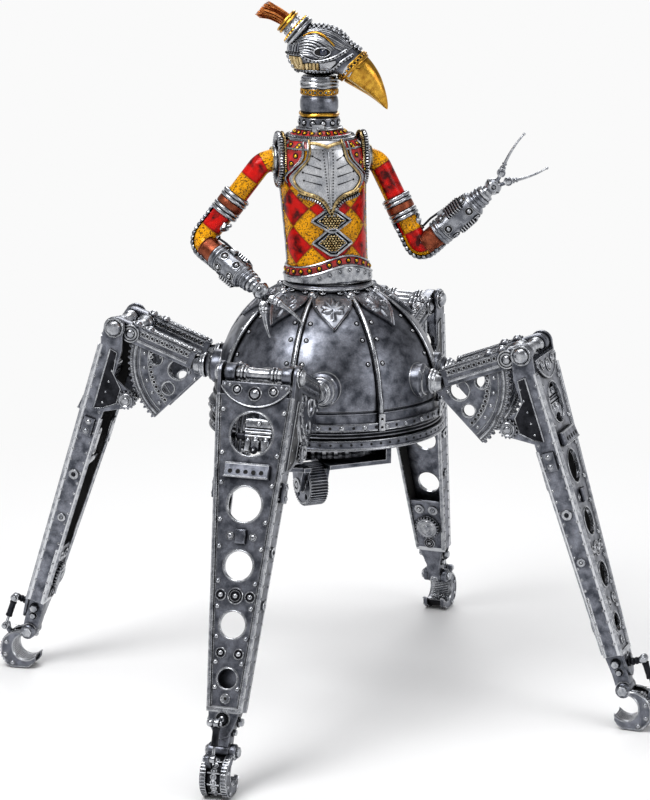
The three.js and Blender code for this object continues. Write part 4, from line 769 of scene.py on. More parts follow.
def petals(x, y):
    """Height of a fan of seven petals spread from the heart of a leaf, open toward the collar."""
    height = 0.0
    for k in range(-3, 4):
        angle = atan2(x, y) - 0.56 * k
        length = 10.4 - 1.1 * abs(k)
        along, across = hypot(x, y) * cos(angle), hypot(x, y) * sin(angle)
        if 0 < along < length:
            half = 2.1 * sin(pi * along / length) ** 0.6 + 0.05
            height = max(height, 1.6 * sqrt(max(0.0, 1 - (across / half) ** 2)))
    return height


def build_collar():
    """The ring under the waist and its pointed leaves on the dome."""
    collar = Work()
    profile = [(COLLAR_INNER, COLLAR_FOOT), (COLLAR_R, COLLAR_FOOT), (COLLAR_R + 0.2, COLLAR_FOOT + 3),
               (COLLAR_R - 1.2, COLLAR_FOOT + 3.8), (COLLAR_R - 1.2, COLLAR_TOP - 4),
               (COLLAR_R, COLLAR_TOP - 3.2), (COLLAR_R, COLLAR_TOP - 0.6), (COLLAR_R - 0.7, COLLAR_TOP),
               (COLLAR_INNER + 0.6, COLLAR_TOP), (COLLAR_INNER, COLLAR_TOP - 0.6)]
    collar.add(lathe(soft(profile, 0.4) + [profile[0]], 96), "gunmetal")
    for height in (COLLAR_FOOT + 1.6, COLLAR_TOP - 1.9):
        collar.add(torus(COLLAR_R, 0.75, 96, 8), "steel", shift(0, 0, height))
    # the pits between the studs are black discs of painted shade
    stud, pit = dome(1.25, 1.0, 12, 4), lathe([(1.1, 0.2), (1.05, 0.05), (0, 0.05)], 12)
    for k in range(28):
        spot = round_place((k + 0.5) * 360 / 28, COLLAR_R - 1.15, COLLAR_TOP - 6.0)
        collar.add(stud if k % 2 else pit, "steel" if k % 2 else "void", spot)
    collar.add(torus(24.2, 0.45, 80, 6), "steel", shift(0, 0, COLLAR_TOP + 0.1))
    root, length, heart = 26.5, 31.0, 18.5

    def relief(s, t):
        """A raised rim round a fan of petals, with a small bud below it."""
        x, y = s * curve_value(LEAF, t), t * length
        inset = (1 - abs(s)) * curve_value(LEAF, t)
        rim = 1.1 * max(0.0, 1 - (inset / 1.5) ** 2)
        bud = 0.9 * exp(-(x / 1.3) ** 2) if heart < y < heart + 6.5 else 0.0
        return 0.5 + max(1.3 * rim, petals(x, heart - y), bud)

    for k in range(STRAPS):
        azimuth = (k + 0.5) * 360 / STRAPS

        def leaf_at(s, t, lift, azimuth=azimuth):
            along, side = root + length * t, s * curve_value(LEAF, t)
            return dome_point(azimuth + degrees(atan2(side, along)), hypot(along, side), lift)

        collar.add(raised(48, 56, leaf_at, relief, 0.1), "worked")
        for side in (-1, 1):
            eyelet = leaf_at(side * 0.55, 0.09, 1.5)
            seat = facing(eyelet, eyelet - Vector((0, 0, DOME_CENTRE)))
            collar.add(torus(1.9, 0.5, 18, 6), "steel", seat).add(bead(0.8, 8), "steel", seat)
    make("leaf_collar", collar, "chassis", ["leaf_collar"], "steel", CARRIAGE, 75)


# Place of the small gear's pin in plan, and the centre of the ribbed wheel
GEAR_PIN = polar(38.95, -60 - 90)
AXLE = (-13.0, -2.0, 151.0)


def build_drive():
    build_base()
    build_gears()
    build_case()
    build_drum()


def build_base():
    """The flat plate with its spigot and pin."""
    base = Work()
    radius = DOME_R - DOME_WALL - 0.3
    reach = radius - 18.2
    ways = [heading(-30 + k * 60) for k in range(6)]
    holes = [ring_outline(8, 28, reach * x, reach * y) for x, y in ways]
    base.add(plate(ring_outline(radius, 96), holes, 3, 0.4), "dark", shift(0, 0, DOME_FOOT + 1.5))
    base.many(torus(8.4, 0.7, 30, 6), "steel",
              [shift(reach * x, reach * y, DOME_FOOT - 0.2) for x, y in ways])
    base.many(dome(1.6, 1.2, 12), "steel", [spot @ UNDER for spot in circle(radius - 4, 24, DOME_FOOT)])
    stem = soft([(0, 168), (7.5, 168), (9, 169.2), (9, 171.6), (8, 172.6), (5, 172.6), (5, 192)], 0.3)
    base.add(lathe(stem, 32), "steel")
    base.add(torus(6.2, 0.5, 28, 6), "steel", shift(0, 0, 168))
    pin = soft([(0, 171.3), (3.8, 171.3), (4.5, 172), (4.5, 173.7), (2.5, 173.7), (2.5, 192)], 0.3)
    base.add(lathe(pin, 24), "steel", shift(*GEAR_PIN, 0))
    make("base_plate", base, "chassis", ["base_plate"], "dark_steel", CARRIAGE)


def build_gears():
    """The large gear and the small one in mesh with it."""
    gear = Work()
    # the teeth take the bright finish, lighter than plain steel, as painted light on the shaded underside
    gear.add(plate(toothed(30.8, 28, 24), [ring_outline(20, 40)], 5, 0.35), "bright", shift(0, 0, 178.5))
    dish = soft([(5.4, 173.2), (9, 173.2), (12, 175.2), (20.6, 177.2), (20.6, 179.8), (14, 182.4), (9, 186),
                 (9, 188), (5.4, 188)], 0.4)
    gear.add(lathe(dish, 56, closed=True), "gunmetal")
    gear.add(torus(1, 0.5, 48, 6), "steel", shift(0, 0, 175.9) @ Matrix.Diagonal((25, 25, 1, 1)))
    gear.many(dome(1.3, 0.9, 12), "steel", [spot @ UNDER for spot in circle(25, 12, 176)])
    make("main_gear", gear, "main_gear", ["main_gear"], "steel", CARRIAGE)

    pinion = Work()
    pinion.add(plate(toothed(7.7, 5.6, 6), [ring_outline(2.8, 20)], 12, 0.4), "steel", shift(0, 0, 180))
    pinion.add(washer(5.2, 2.8, 0.8), "dark", shift(0, 0, 174) @ UNDER)
    make("drive_pinion", pinion, "drive_pinion", ["drive_pinion"], "steel", CARRIAGE @ shift(*GEAR_PIN, 0))


def build_case():
    """The curved case with its rivets, ringed eyes and edges."""
    case = copied("gear_case", "gunmetal")
    case.many(dome(1.7, 1.3, 12), "steel",
              [CARRIAGE @ round_place(a, 46, z) for a in range(105, 260, 18) for z in (168, 184)])
    case.many(torus(3.4, 0.6, 20, 6), "steel",
              [CARRIAGE @ round_place(a, 46.1, 176) for a in range(114, 250, 18)])
    for height in (164, 189.6):
        path = [CARRIAGE @ round_place(a, 46.2, height).translation for a in range(102, 262, 4)]
        case.add(tube(path, 0.8, 8), "steel")
    case.many(dome(1.5, 1.1, 12), "steel",
              [CARRIAGE @ shift(*polar(38, a), 163) @ UNDER for a in range(0, 181, 20)])
    for side in (-1, 1):
        hub = CARRIAGE @ shift(*AXLE) @ shift(side * 10.4, 0, 0) @ turn(90 * side, "Y")
        case.add(washer(5.2, 2.8, 0.7), "steel", hub)
    make("gear_case", case, "chassis", ["gear_case"], "gunmetal")


def build_drum():
    """The ribbed wheel, drawn about its axle."""
    drum, corners = Work(), bpy.context.scene.walker.drum_ribs * 4
    tread = [polar(15.0 if (i // 2) % 2 else 14.0, 360 * i / corners) for i in range(corners)]
    holes = [ring_outline(2.0, 14, *polar(9.5, (i + 0.5) * 72)) for i in range(5)]
    drum.add(plate(tread, holes, 13, 0.3), "gunmetal")
    for side in (-1, 1):
        end = shift(0, 0, side * 6.5) @ (Matrix() if side > 0 else UNDER)
        drum.add(torus(12.9, 0.5, 44, 6), "steel", end)
        drum.add(torus(5.2, 0.5, 30, 6), "steel", end)
        drum.add(turned([(4.6, -0.2), (4.2, 0.5), (2.4, 0.5), (2.4, 3.9), (1.8, 4.5), (0, 4.6)], 0.2, 20),
                 "steel", end)
    make("drum_wheel", drum, "drum_wheel", ["drum_wheel"], "steel", CARRIAGE @ shift(*AXLE) @ OUTWARD)


def copied(node, finish):
    """The faces of a flat engineering node as shapes, so that trim can be joined to them."""
    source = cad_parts[node].data
    editor = bmesh.new()
    editor.from_mesh(source)
    bmesh.ops.remove_doubles(editor, verts=editor.verts, dist=1e-6)
    bmesh.ops.dissolve_limit(editor, angle_limit=radians(1), verts=editor.verts, edges=editor.edges)
    work = Work()
    editor.verts.ensure_lookup_table()
    work.add(([v.co / MM for v in editor.verts], [tuple(v.index for v in f.verts) for f in editor.faces],
              None), finish)
    editor.free()
    return work


# Legs: drawn once in the frame of a leg, X outward, Y across, Z up

def half_at(down):
    """Half the width of the shank at a distance below the knee."""
    return SHANK_TOP - (SHANK_TOP - SHANK_END) / (SHANK_L - 9) * max(down - 9, 0)


def back_at(down):
    """How far the back edge of the shank stands behind its axis."""
    return 10 - 4 * down / SHANK_L


def on_face(out, across, down):
    """A place on the shank's face whose local Z looks outward."""
    return SHANK @ shift(out, across, -down) @ FACE


def leaned(shape, side, lift):
    """A shape drawn in the middle plane of the shank, set against its tapered side."""
    return warped(shape, lambda c: (c.x, c.y + side * (half_at(-c.z) + lift), c.z))


def sector_outline():
    """The toothed sector from its apex at the hip, cut straight where the hip flange begins."""
    outline, pitch = [(-1.3, 4.6), (-1.3, -3.6), (0.4, -5.4)], 66 / 15
    for i in range(15):
        start = -48 + pitch * i
        for share, reach in ((0.0, 52.6), (0.2, 52.6), (0.38, 54.2), (0.62, 54.2), (0.8, 52.6)):
            outline.append(polar(reach, start + pitch * share))
    return outline + [polar(54.2, 18), polar(8, 22)]


def chain(work, spots, hearts):
    """Small steel rings, each with a heart in black painted shade."""
    link, heart = torus(1.3, 0.5, 14, 6), lathe([(0.9, 0.2), (0, 0.2)], 10)
    for spot, dark in zip(spots, hearts):
        work.add(link, "steel", spot).add(heart, "void", dark)


def sector_plate(leg, hip, side):
    """One toothed plate with three bores and the trim of its two faces."""
    bores = ((19, 6.6, -14), (34, 4.2, 4), (31, 4.2, -35))
    holes = [ring_outline(r, 28, *polar(reach, angle)) for reach, r, angle in bores]
    leg.add(plate(sector_outline(), holes, 2.6, 0.3), "gunmetal", hip @ shift(0, side * SIDE, 0) @ STAND)
    for face in (-1, 1):
        skin = hip @ shift(0, side * SIDE + face * 1.3, 0) @ STAND
        out = skin if face < 0 else skin @ UNDER
        for reach, r, angle in bores:
            leg.add(torus(r + 0.5, 0.6, 32, 6), "steel", skin @ shift(*polar(reach, angle), 0))
        # polished rail inside the teeth and two thin ones, a row of points, small links and rivets
        for radius, size in ((49.0, 1.35), (45.6, 0.5), (39.6, 0.5)):
            path = [skin @ Vector((*polar(radius, a), 0)) for a in range(-47, 17, 3)]
            leg.add(tube(path, size, 8), "steel")
        leg.many(bead(0.75, 6), "steel", [skin @ shift(*polar(51.6, a), 0) for a in range(-46, 17, 2)])
        row = [polar(38.0, -43 + 5.4 * k) for k in range(11)]
        chain(leg, [skin @ shift(x, y, 0) for x, y in row], [out @ shift(x, -face * y, 0) for x, y in row])
        row = [polar(42.6, a) for a in (-42, -30, -18, -6, 8)] + [polar(12.0, a) for a in (-58, -30)]
        leg.many(dome(1.35, 1.1, 12, 4), "steel", [out @ shift(x, -face * y, 0) for x, y in row])


def thigh_beam(leg, side):
    """A rounded bar with links, rails and bosses on its top and sides."""
    root = 7.4 - hypot(THIGH_OUT, THIGH_UP)
    bar = [(root, -6.0), (0, -6.6)] + arc_outline(6.5, -88, 88, 14) + [(0, 6.6), (root, 6.0)]
    leg.add(plate(bar, [], 7, 1.0), "gunmetal", THIGH @ shift(0, side * SIDE, 0) @ STAND)
    top = THIGH @ shift(0, side * SIDE, 6.4)
    leg.add(box(44, 4.4, 1.0, 0.3), "dark", top @ shift(-33, 0, 0.1))
    for edge in (-1, 1):
        leg.add(tube([(-55, edge * 2.5, 0.2), (-11, edge * 2.5, 0.4)], 0.55, 8), "steel", top)
    row = [-53 + 3.7 * k for k in range(8)]
    chain(leg, [top @ shift(x, 0, 0.6) for x in row], [top @ shift(x, 0, 0.55) for x in row])
    for x in (-23, -13.5):
        leg.add(washer(4.2, 2.6, 1.2, 24), "gunmetal", top @ shift(x, 0, 0.2))
        leg.add(dome(3.1, 2.4, 20, 5), "steel", top @ shift(x, 0, 0.9))
    leg.add(dome(1.9, 1.6, 16), "steel", top @ shift(-57, 0, -0.2))
    for face in (-1, 1):
        skin = THIGH @ shift(0, side * SIDE + face * 3.5, 0) @ turn(-90 * face, "X")
        boss = skin @ shift(-KNEE_PIN, 0, 0)
        leg.add(washer(6.4, 3.2, 1.3, 28), "steel", boss)
        leg.add(torus(5.0, 0.4, 28, 6), "dark", boss @ shift(0, 0, 1.3))
        leg.add(dome(3.3, 2.2, 20, 5), "steel", boss @ shift(0, 0, 0.8))
        row = [skin @ shift(-19.5 - 3.7 * k, -3.0 * face, 0.1) for k in range(10)]
        chain(leg, row, row)
        for y, size in ((4.9, 0.45), (1.2, 0.45), (-2.6, 1.3)):
            leg.add(tube([(-55, -y * face, 0), (-17.5, -y * face, 0)], size, 8), "steel", skin)


def thigh_work():
    """Both toothed plates and beams of a leg, their hip collars and the knee pin between them."""
    leg = Work()
    hip = shift(HIP[0], 0, HIP[1])
    for side in (-1, 1):
        sector_plate(leg, hip, side)
        thigh_beam(leg, side)
        collar = shift(HIP_FACE + 0.3, side * SIDE, HIP[1]) @ OUTWARD
        profile = [(0, 0), (8.5, 0), (8.5, 1.6), (7.4, 2.1), (7.4, 3.6), (6.7, 4.2), (5.6, 8.4), (0, 8.4)]
        leg.add(turned(profile, 0.4, 32), "steel", collar)
    pitch = radians(THIGH_PITCH)
    half = [(0, -19), (5.2, -19), (5.2, -13.4), (6.1, -12.6), (6.1, -11.2), (5.3, -10.6), (6.3, -9.8),
            (6.3, -8.4), (5.3, -7.6), (4.9, -6.8)]
    pin = shift(KNEE[0] - KNEE_PIN * cos(pitch), 0, KNEE[1] - KNEE_PIN * sin(pitch)) @ ACROSS
    leg.add(turned(mirrored(half), 0.35, 36), "steel", pin)
    return leg


def axle_work():
    """The ringed bar through the knee."""
    leg = Work()
    half = [(0, -30.6), (2.0, -30.4), (4.2, -29.6), (5.2, -28.2), (5.2, -26.7), (2.6, -26.6), (2.6, -15.2),
            (4.4, -15.2), (4.4, -12.6), (5.4, -12), (5.4, -10.8), (4.4, -10.2), (5.4, -9.6), (5.4, -8.4),
            (4.4, -7.8), (4.1, -6)]
    leg.add(turned(mirrored(half), 0.3, 36), "steel", shift(KNEE[0], 0, KNEE[1]) @ ACROSS)
    return leg


def shank_work():
    """The tapered box of a leg with everything that is fixed to it."""
    leg = Work()
    shank_box(leg)
    shank_windows(leg)
    build_engine(leg)
    shank_fittings(leg)
    build_shank_back(leg)
    build_ankle(leg)
    return leg


def shank_box(leg):
    """The front plate with its windows and the two tapered side walls."""
    w = half_at(SHANK_L)
    face = [(-half_at(14) + 0.4, -14), (half_at(14) - 0.4, -14), (w, -SHANK_L), (-w, -SHANK_L)]
    holes = [ring_outline(r, 40, 0, -down) for down, r in WINDOWS]
    leg.add(plate(face, holes, SHANK_WALL, 0.4), "gunmetal", on_face(SHANK_FACE - SHANK_WALL / 2, 0, 0))
    # side walls, drawn flat and leaned inward to the taper
    side_outline = [(SHANK_FACE - 0.4, -SHANK_L), (SHANK_FACE - 0.4, -14)] + arc_outline(7.6, -20, 200, 16)
    side_outline += [(-back_at(14), -14), (-back_at(34), -34)]
    side_outline += arc_outline(6, 110, 250, 12, -PINION_BACK, -PINION_DOWN)
    side_outline += [(-back_at(60.4), -60.4), (-6, -SHANK_L)]
    bores = [ring_outline(2.9, 20), ring_outline(2.3, 20, -PINION_BACK, -PINION_DOWN)]
    flat_side = placed(plate(side_outline, bores, SHANK_WALL, 0.35), STAND)
    # a thin black sheet inside each side wall: painted shade of the shank's inside
    shade_sheet = [(SHANK_FACE - 3, -SHANK_L + 2), (SHANK_FACE - 3, -20), (-back_at(20) + 1, -20),
              (-5, -SHANK_L + 2)]
    flat_shade_sheet = placed(plate(shade_sheet, [], 0.3, 0.1), STAND)
    # a dark plate on the side wall under the knee, inside a steel edge: painted shadow
    recess = [(-1.6, -15), (-7.0, -16), (-8.2, -31), (-16.4, -40), (-16.4, -51), (-8.2, -57.5), (-1.6, -60)]
    flat_shadow_patch = placed(plate(recess, [], 0.5, 0.1), STAND)
    for side in (-1, 1):
        for flat, lift, finish in ((flat_side, -SHANK_WALL / 2, "gunmetal"),
                                   (flat_shade_sheet, -SHANK_WALL - 0.2, "void"), (flat_shadow_patch, 0.15, "dark")):
            leg.add(leaned(flat, side, lift), finish, SHANK)
        edge = [SHANK @ Vector((x, side * (half_at(-z) + 0.3), z)) for x, z in recess + recess[:1]]
        leg.add(tube(edge, 0.55, 6), "steel")
        for inset, radius, top, foot in ((1.2, 1.4, 15, 213), (3.1, 0.4, 16, 211)):
            rail = [SHANK @ Vector((SHANK_FACE + 0.1, side * (half_at(d) - inset), -d))
                    for d in (top, 60, 110, 160, foot)]
            leg.add(tube(rail, radius, 10), "steel")
        back_rail = [SHANK @ Vector((-back_at(d) + 0.2, side * (half_at(d) - 1.2), -d))
                     for d in (66, 110, 160, 212)]
        leg.add(tube(back_rail, 1.3, 8), "steel")
        # rivets of the side wall, its knee boss and the pinion's ear
        wall = turn(-90 * side, "X")
        for down in range(22, 212, 8):
            for x in (4.1, -back_at(down) + 2.4):
                leg.add(dome(0.95, 0.7, 10, 3), "steel", SHANK @ shift(x, side * half_at(down), -down) @ wall)
        boss = SHANK @ shift(0, side * SHANK_TOP, 0) @ wall
        leg.add(washer(6.9, 5.4, 0.9, 32), "steel", boss)
        leg.many(dome(0.8, 0.6, 8, 3), "steel", [boss @ shift(*polar(6.3, k * 40), 0.6) for k in range(9)])
        ear = SHANK @ shift(-PINION_BACK, side * half_at(PINION_DOWN), -PINION_DOWN) @ wall
        leg.add(washer(5.0, 2.4, 0.9, 28), "steel", ear)
        leg.add(torus(3.6, 0.4, 24, 6), "dark", ear @ shift(0, 0, 0.9))
        # small box and bosses on the side wall
        pod = SHANK @ shift(-1.4, side * (half_at(74) + 1.1), -74) @ wall
        leg.add(box(8, 13, 3.0, 0.8), "gunmetal", pod)
        leg.many(dome(2.0, 1.5, 16), "steel", [pod @ shift(0, y, 1.4) for y in (-3.4, 3.4)])
        for down, size, finish in ((112, 3.6, "dark"), (146, 3.0, "steel")):
            boss = SHANK @ shift(-1.2, side * half_at(down), -down) @ wall
            leg.bolt(boss, (size, size * 0.4, 1.3, 20), (size * 0.45, 2.0, 14), finish)


def shank_windows(leg):
    """Frames of the windows, rivets round them and the half-moon plate above the first."""
    for down, radius in WINDOWS:
        frame_profile = [(radius + across, height) for across, height in
                         ((-0.2, -2.3), (-0.2, 0.3), (0.3, 0.6), (0.8, 0.3), (0.9, -0.4))]
        leg.add(turned(frame_profile, 0.2, 48), "steel", on_face(SHANK_FACE, 0, down))
    stud = dome(1.8, 1.6, 16, 5)
    for down in (24, 51.5, 70.5, 94, 111, 133, 149, 168, 184, 200):
        leg.many(stud, "steel", [on_face(SHANK_FACE, side * (half_at(down) - 4.9), down) for side in (-1, 1)])
    # the half-moon plate has three washers and four small rivets
    moon = [(-22.6, -9.2), (-22.6, -6), (22.6, -6), (22.6, -9.2)] + arc_outline(27.7, 326, 214, 24, 0, 6.2)
    leg.add(plate(moon, [], 1.4, 0.4), "gunmetal", on_face(SHANK_FACE + 0.5, 0, 0))
    edge = [on_face(SHANK_FACE + 1.2, x, -y).translation for x, y in arc_outline(27.5, 326, 214, 24, 0, 6.2)]
    leg.add(tube(edge, 0.6, 8), "steel")
    for across, down, size in ((-12.2, 10.9, 2.2), (0, 13.0, 3.3), (12.2, 10.9, 2.2)):
        spot = on_face(SHANK_FACE + 1.2, across, down)
        leg.add(washer(size + 1.4, size + 0.5, 0.8, 28), "steel", spot)
        leg.bolt(spot, (size + 0.5, size * 0.6, 0.3, 24), (size, size * 0.7, 22, 5), seat="dark")
    for across in (-20.6, -17.2, 17.2, 20.6):
        leg.add(dome(1.25, 1.0, 12, 4), "steel", on_face(SHANK_FACE + 1.2, across, 8.2))


def shank_fittings(leg):
    """The bars, washers and lip between and below the windows."""
    # bar with five holes between the first two windows, the holes black discs of painted shade
    slope = on_face(SHANK_FACE + 2.0, 0, 62.4) @ turn(-9, "X")
    leg.add(box(30, 9.4, 4.6, 0.9), "gunmetal", slope)
    for y in (-4.4, 4.4):
        leg.add(tube([(-14.6, y, 2.0), (14.6, y, 2.0)], 0.55, 8), "steel", slope)
    for x in (-10.4, -5.2, 0, 5.2, 10.4):
        leg.add(lathe([(1.5, 0.12), (1.4, 0.05), (0, 0.05)], 14), "void", slope @ shift(x, -1.0, 2.3))
    # small tab between two flat washers
    leg.add(box(6.8, 9.4, 3.6, 1.2), "gunmetal", on_face(SHANK_FACE + 1.2, 0, 103.9))
    for across in (-7.6, 7.6):
        spot = on_face(SHANK_FACE, across, 103.9)
        leg.bolt(spot, (2.6, 1.8, 0.5, 22), (1.8, 0.6, 14), "gunmetal")
    # ringed washers between the lower windows; the last one, at the foot, is plain, its bore black painted
    # shade
    for across, down, size in ((-9.8, 141.6, 3.8), (0, 141.6, 5.4), (9.8, 141.6, 3.8), (-6.0, 178, 3.6),
                               (6.0, 178, 3.6), (0, 206.6, 3.3)):
        spot = on_face(SHANK_FACE, across, down)
        leg.add(washer(size, size - 0.9, 0.8, 26), "steel", spot)
        plain = down > 200
        leg.add(washer(size - 0.8, 1.0, 0.35, 22), "steel" if plain else "dark", spot)
        if size > 5:
            leg.add(torus(3.4, 0.4, 26, 6), "steel", spot @ shift(0, 0, 0.4))
        leg.add(dome(*((1.3, 0.4) if plain else (1.9, 1.7)), 16, 5), "void" if plain else "steel", spot)
    w = half_at(SHANK_L)
    lip = [(-w - 0.2, -SHANK_L + 2.0), (w + 0.2, -SHANK_L + 2.0), (w, -SHANK_L - 0.6), (-w, -SHANK_L - 0.6)]
    leg.add(plate(lip, [], 2.4, 0.7), "steel", on_face(SHANK_FACE + 0.4, 0, 0))


def build_engine(leg):
    """The finned block that shows through the first window, and the bar that carries it."""
    place = SHANK @ shift(-0.5, 3.6, -38.7)
    leg.add(box(7.0, 17, 21, 0.6), "gunmetal", place)
    for height, size, finish in ((7.2, 5.0, "steel"), (3.2, 1.2, "gunmetal"), (1.2, 1.8, "steel"),
                                 (-1.0, 1.2, "steel")):
        leg.add(box(9.6, 17.4, size, 0.5), finish, place @ shift(0, 0, height))
    leg.add(dome(1.9, 1.4, 16), "steel", on_face(4.4, 3.6, 31.6))
    for across, size in ((-3.2, 2.6), (2.0, 3.4), (9.0, 3.9)):
        barrel = [(0, -4.6), (size, -4.6), (size, 2.2), (size * 0.7, 3.2), (size * 0.7, 4.4), (0, 4.4)]
        leg.add(turned(barrel, 0.3, 22), "steel", SHANK @ shift(2.0, across, -44.6))
    for size, height, sides, finish in ((2.6, 1.8, 18, "dark"), (1.3, 2.6, 14, "steel")):
        leg.add(dome(size, height, sides), finish, on_face(5.0, 2.0, 48.6))
    reach = half_at(40) - 1.1
    for across in (-8.6, -11.6):
        leg.add(tube([SHANK @ Vector((1.2, across, z)) for z in (-24, -53)], 0.9, 8), "gunmetal")
    bar = [(2.4, -reach), (2.4, -12), (3.4, -11), (3.4, 11), (2.4, 12), (2.4, reach)]
    leg.add(turned(bar, 0.4, 20), "dark", SHANK @ shift(-0.5, 0, -40) @ ACROSS)


def build_shank_back(leg):
    """The rear plate at the foot with its toothed wheel and bosses, the cross rod and the oval links."""
    w = half_at(SHANK_L)
    halves = [(-half_at(171), -171), (half_at(171), -171), (w, -SHANK_L), (-w, -SHANK_L)]
    leg.add(plate(halves, [], 2.2, 0.4), "gunmetal", on_face(-4.9, 0, 0))
    away = turn(180, "Y")
    back = lambda across, down, lift=0.0: on_face(-6.0 - lift, across, down) @ away
    wheel = turned([(0, 4.4), (2.6, 4.2), (3.0, 3.4), (5.0, 3.4), (5.4, 4.0), (6.4, 4.0), (6.8, 3.2),
                    (7.8, 3.2)], 0.3, 40)
    spot = back(0, SHANK_L - 21.5)
    leg.add(plate(toothed(9.3, 8.0, 22), [], 2.4, 0.3), "gunmetal", spot @ shift(0, 0, 1.9))
    leg.add(wheel, "steel", spot)
    leg.add(torus(9.0, 0.6, 40, 6), "steel", spot @ shift(0, 0, 0.5))
    for across in (-5.4, 5.4):
        spot = back(across, SHANK_L - 36.5)
        leg.bolt(spot, (3.9, 1.8, 1.0, 24), (2.0, 2.6, 16))
    spot = back(0, SHANK_L - 7.2)
    leg.add(washer(4.4, 2.2, 1.2, 26), "steel", spot)
    leg.add(torus(3.3, 0.5, 24, 6), "dark", spot @ shift(0, 0, 1.2))
    leg.add(dome(1.8, 1.9, 14), "steel", spot)
    leg.many(dome(0.9, 0.7, 10, 3), "steel",
             [back(s * (half_at(d) - 2.0), d) for d in range(174, 214, 7) for s in (-1, 1)])
    half = half_at(104) - 1.1
    leg.add(turned([(2, -half), (2, -6), (2.8, -5.4), (2.8, 5.4), (2, 6), (2, half)], 0.3, 18), "steel",
            SHANK @ shift(2 * 2 - back_at(104), 0, -104) @ ACROSS)
    # oval link below the pinion
    for side in (-1, 1):
        skin = SHANK @ shift(-back_at(84) - 0.6, side * (half_at(84) - 4.2), -84) @ FACE @ away
        loop = [(3.2 * cos(a), copysign(7, sin(a)) + 3.2 * sin(a))
                for a in (i * pi / 10 for i in range(20))]
        leg.add(plate(loop, [ring_outline(1.5, 14, 0, y) for y in (7, -7)], 1.8, 0.4), "steel", skin)


def build_ankle(leg):
    """Shield block, cheeks round the ankle pin and the horn arm."""
    top, shoulder, foot = SHANK_L - 3, ANKLE_DOWN - 11.6, ANKLE_DOWN
    stations = [(top, 10, 6.5, 6), (top + 5, 8.6, 6.4, 5.9), (shoulder, 5.2, 6.0, 5.6),
                (foot - 3, 5.0, 5.4, 5.4)]

    def slab(s, t):
        down, half, ahead, behind = [line_value([(i / 3, st[k]) for i, st in enumerate(stations)], t)
                                     for k in range(4)]
        loop = [(-behind, -half), (ahead, -half), (ahead, half), (-behind, half)]
        rounded = []
        for i in range(4):
            a, b, c = Vector(loop[i - 1]), Vector(loop[i]), Vector(loop[(i + 1) % 4])
            start, end = b + (a - b).normalized() * 1.2, b + (c - b).normalized() * 1.2
            rounded += [bent(start, b, end, share) for share in (0.0, 0.5, 1.0)]
        p = rounded[int(round(s * 12)) % 12]
        return SHANK @ Vector((p.x, p.y, -down))

    leg.add(grid(12, 12, slab, closed=True), "gunmetal")
    cheek = turned([(0, -5.2), (5.4, -5.2), (5.4, 5.2), (0, 5.2)], 0.6, 32)
    leg.add(cheek, "gunmetal", SHANK @ shift(0, 0, -foot) @ ACROSS)
    shield = [(-10.2, -top - 0.6), (10.2, -top - 0.6), (9.6, -top - 7), (7.4, -shoulder + 3),
              (4.6, -shoulder - 2.4), (0, -shoulder - 4.2), (-4.6, -shoulder - 2.4), (-7.4, -shoulder + 3),
              (-9.6, -top - 7)]
    leg.add(plate(shield, [], 2.0, 0.6), "gunmetal", on_face(6.8, 0, 0))
    spot = on_face(7.6, 0, top + 8.0)
    leg.add(torus(4.4, 0.5, 28, 6), "steel", spot).add(washer(4.0, 2.8, 0.5, 26), "dark", spot)
    leg.add(dome(3.3, 2.8, 24, 6), "steel", spot)
    leg.many(torus(1, 0.24, 20, 6), "dark",
             [spot @ shift(0, 0, 1.9 - 0.5 * k) @ Matrix.Scale(2.2 + 0.5 * k, 4) for k in (0, 1)])
    for side in (-1, 1):
        for out, across, down, size in ((0.4, 8.4, top + 9.0, 2.9), (0.2, 5.3, shoulder - 0.6, 2.2)):
            spot = SHANK @ shift(out, side * across, -down) @ turn(-90 * side, "X")
            leg.add(washer(size + 0.5, size * 0.5, 0.8, 22), "dark", spot)
            leg.add(hexagon(size, size * 0.9), "steel", spot @ shift(0, 0, 0.6))
    rings = [(2.6, 0)]
    for k in range(5):
        x = 2.6 * k
        rings += [(2.9 - 0.14 * k, x + 0.3), (2.9 - 0.14 * k, x + 1.5), (1.9, x + 1.9)]
    rings += [(1.8, 13), (0, 13)]
    leg.add(turned(rings, 0.25, 24), "dark", SHANK @ shift(5.2, -3.7, -HORN_DOWN) @ OUTWARD)
    leg.add(bead(2.7, 20), "steel", SHANK @ shift(18.4, -3.7, -HORN_DOWN))
    pin = turned([(0, -6.6), (1.5, -6.4), (2.2, -5.6), (1.3, -5.0), (1.3, 2.4), (1.9, 2.5), (1.7, 3.1),
                  (0, 3.4)], 0.2, 18)
    leg.add(pin, "steel", SHANK @ shift(HORN_OUT, 0, -HORN_DOWN) @ ACROSS)


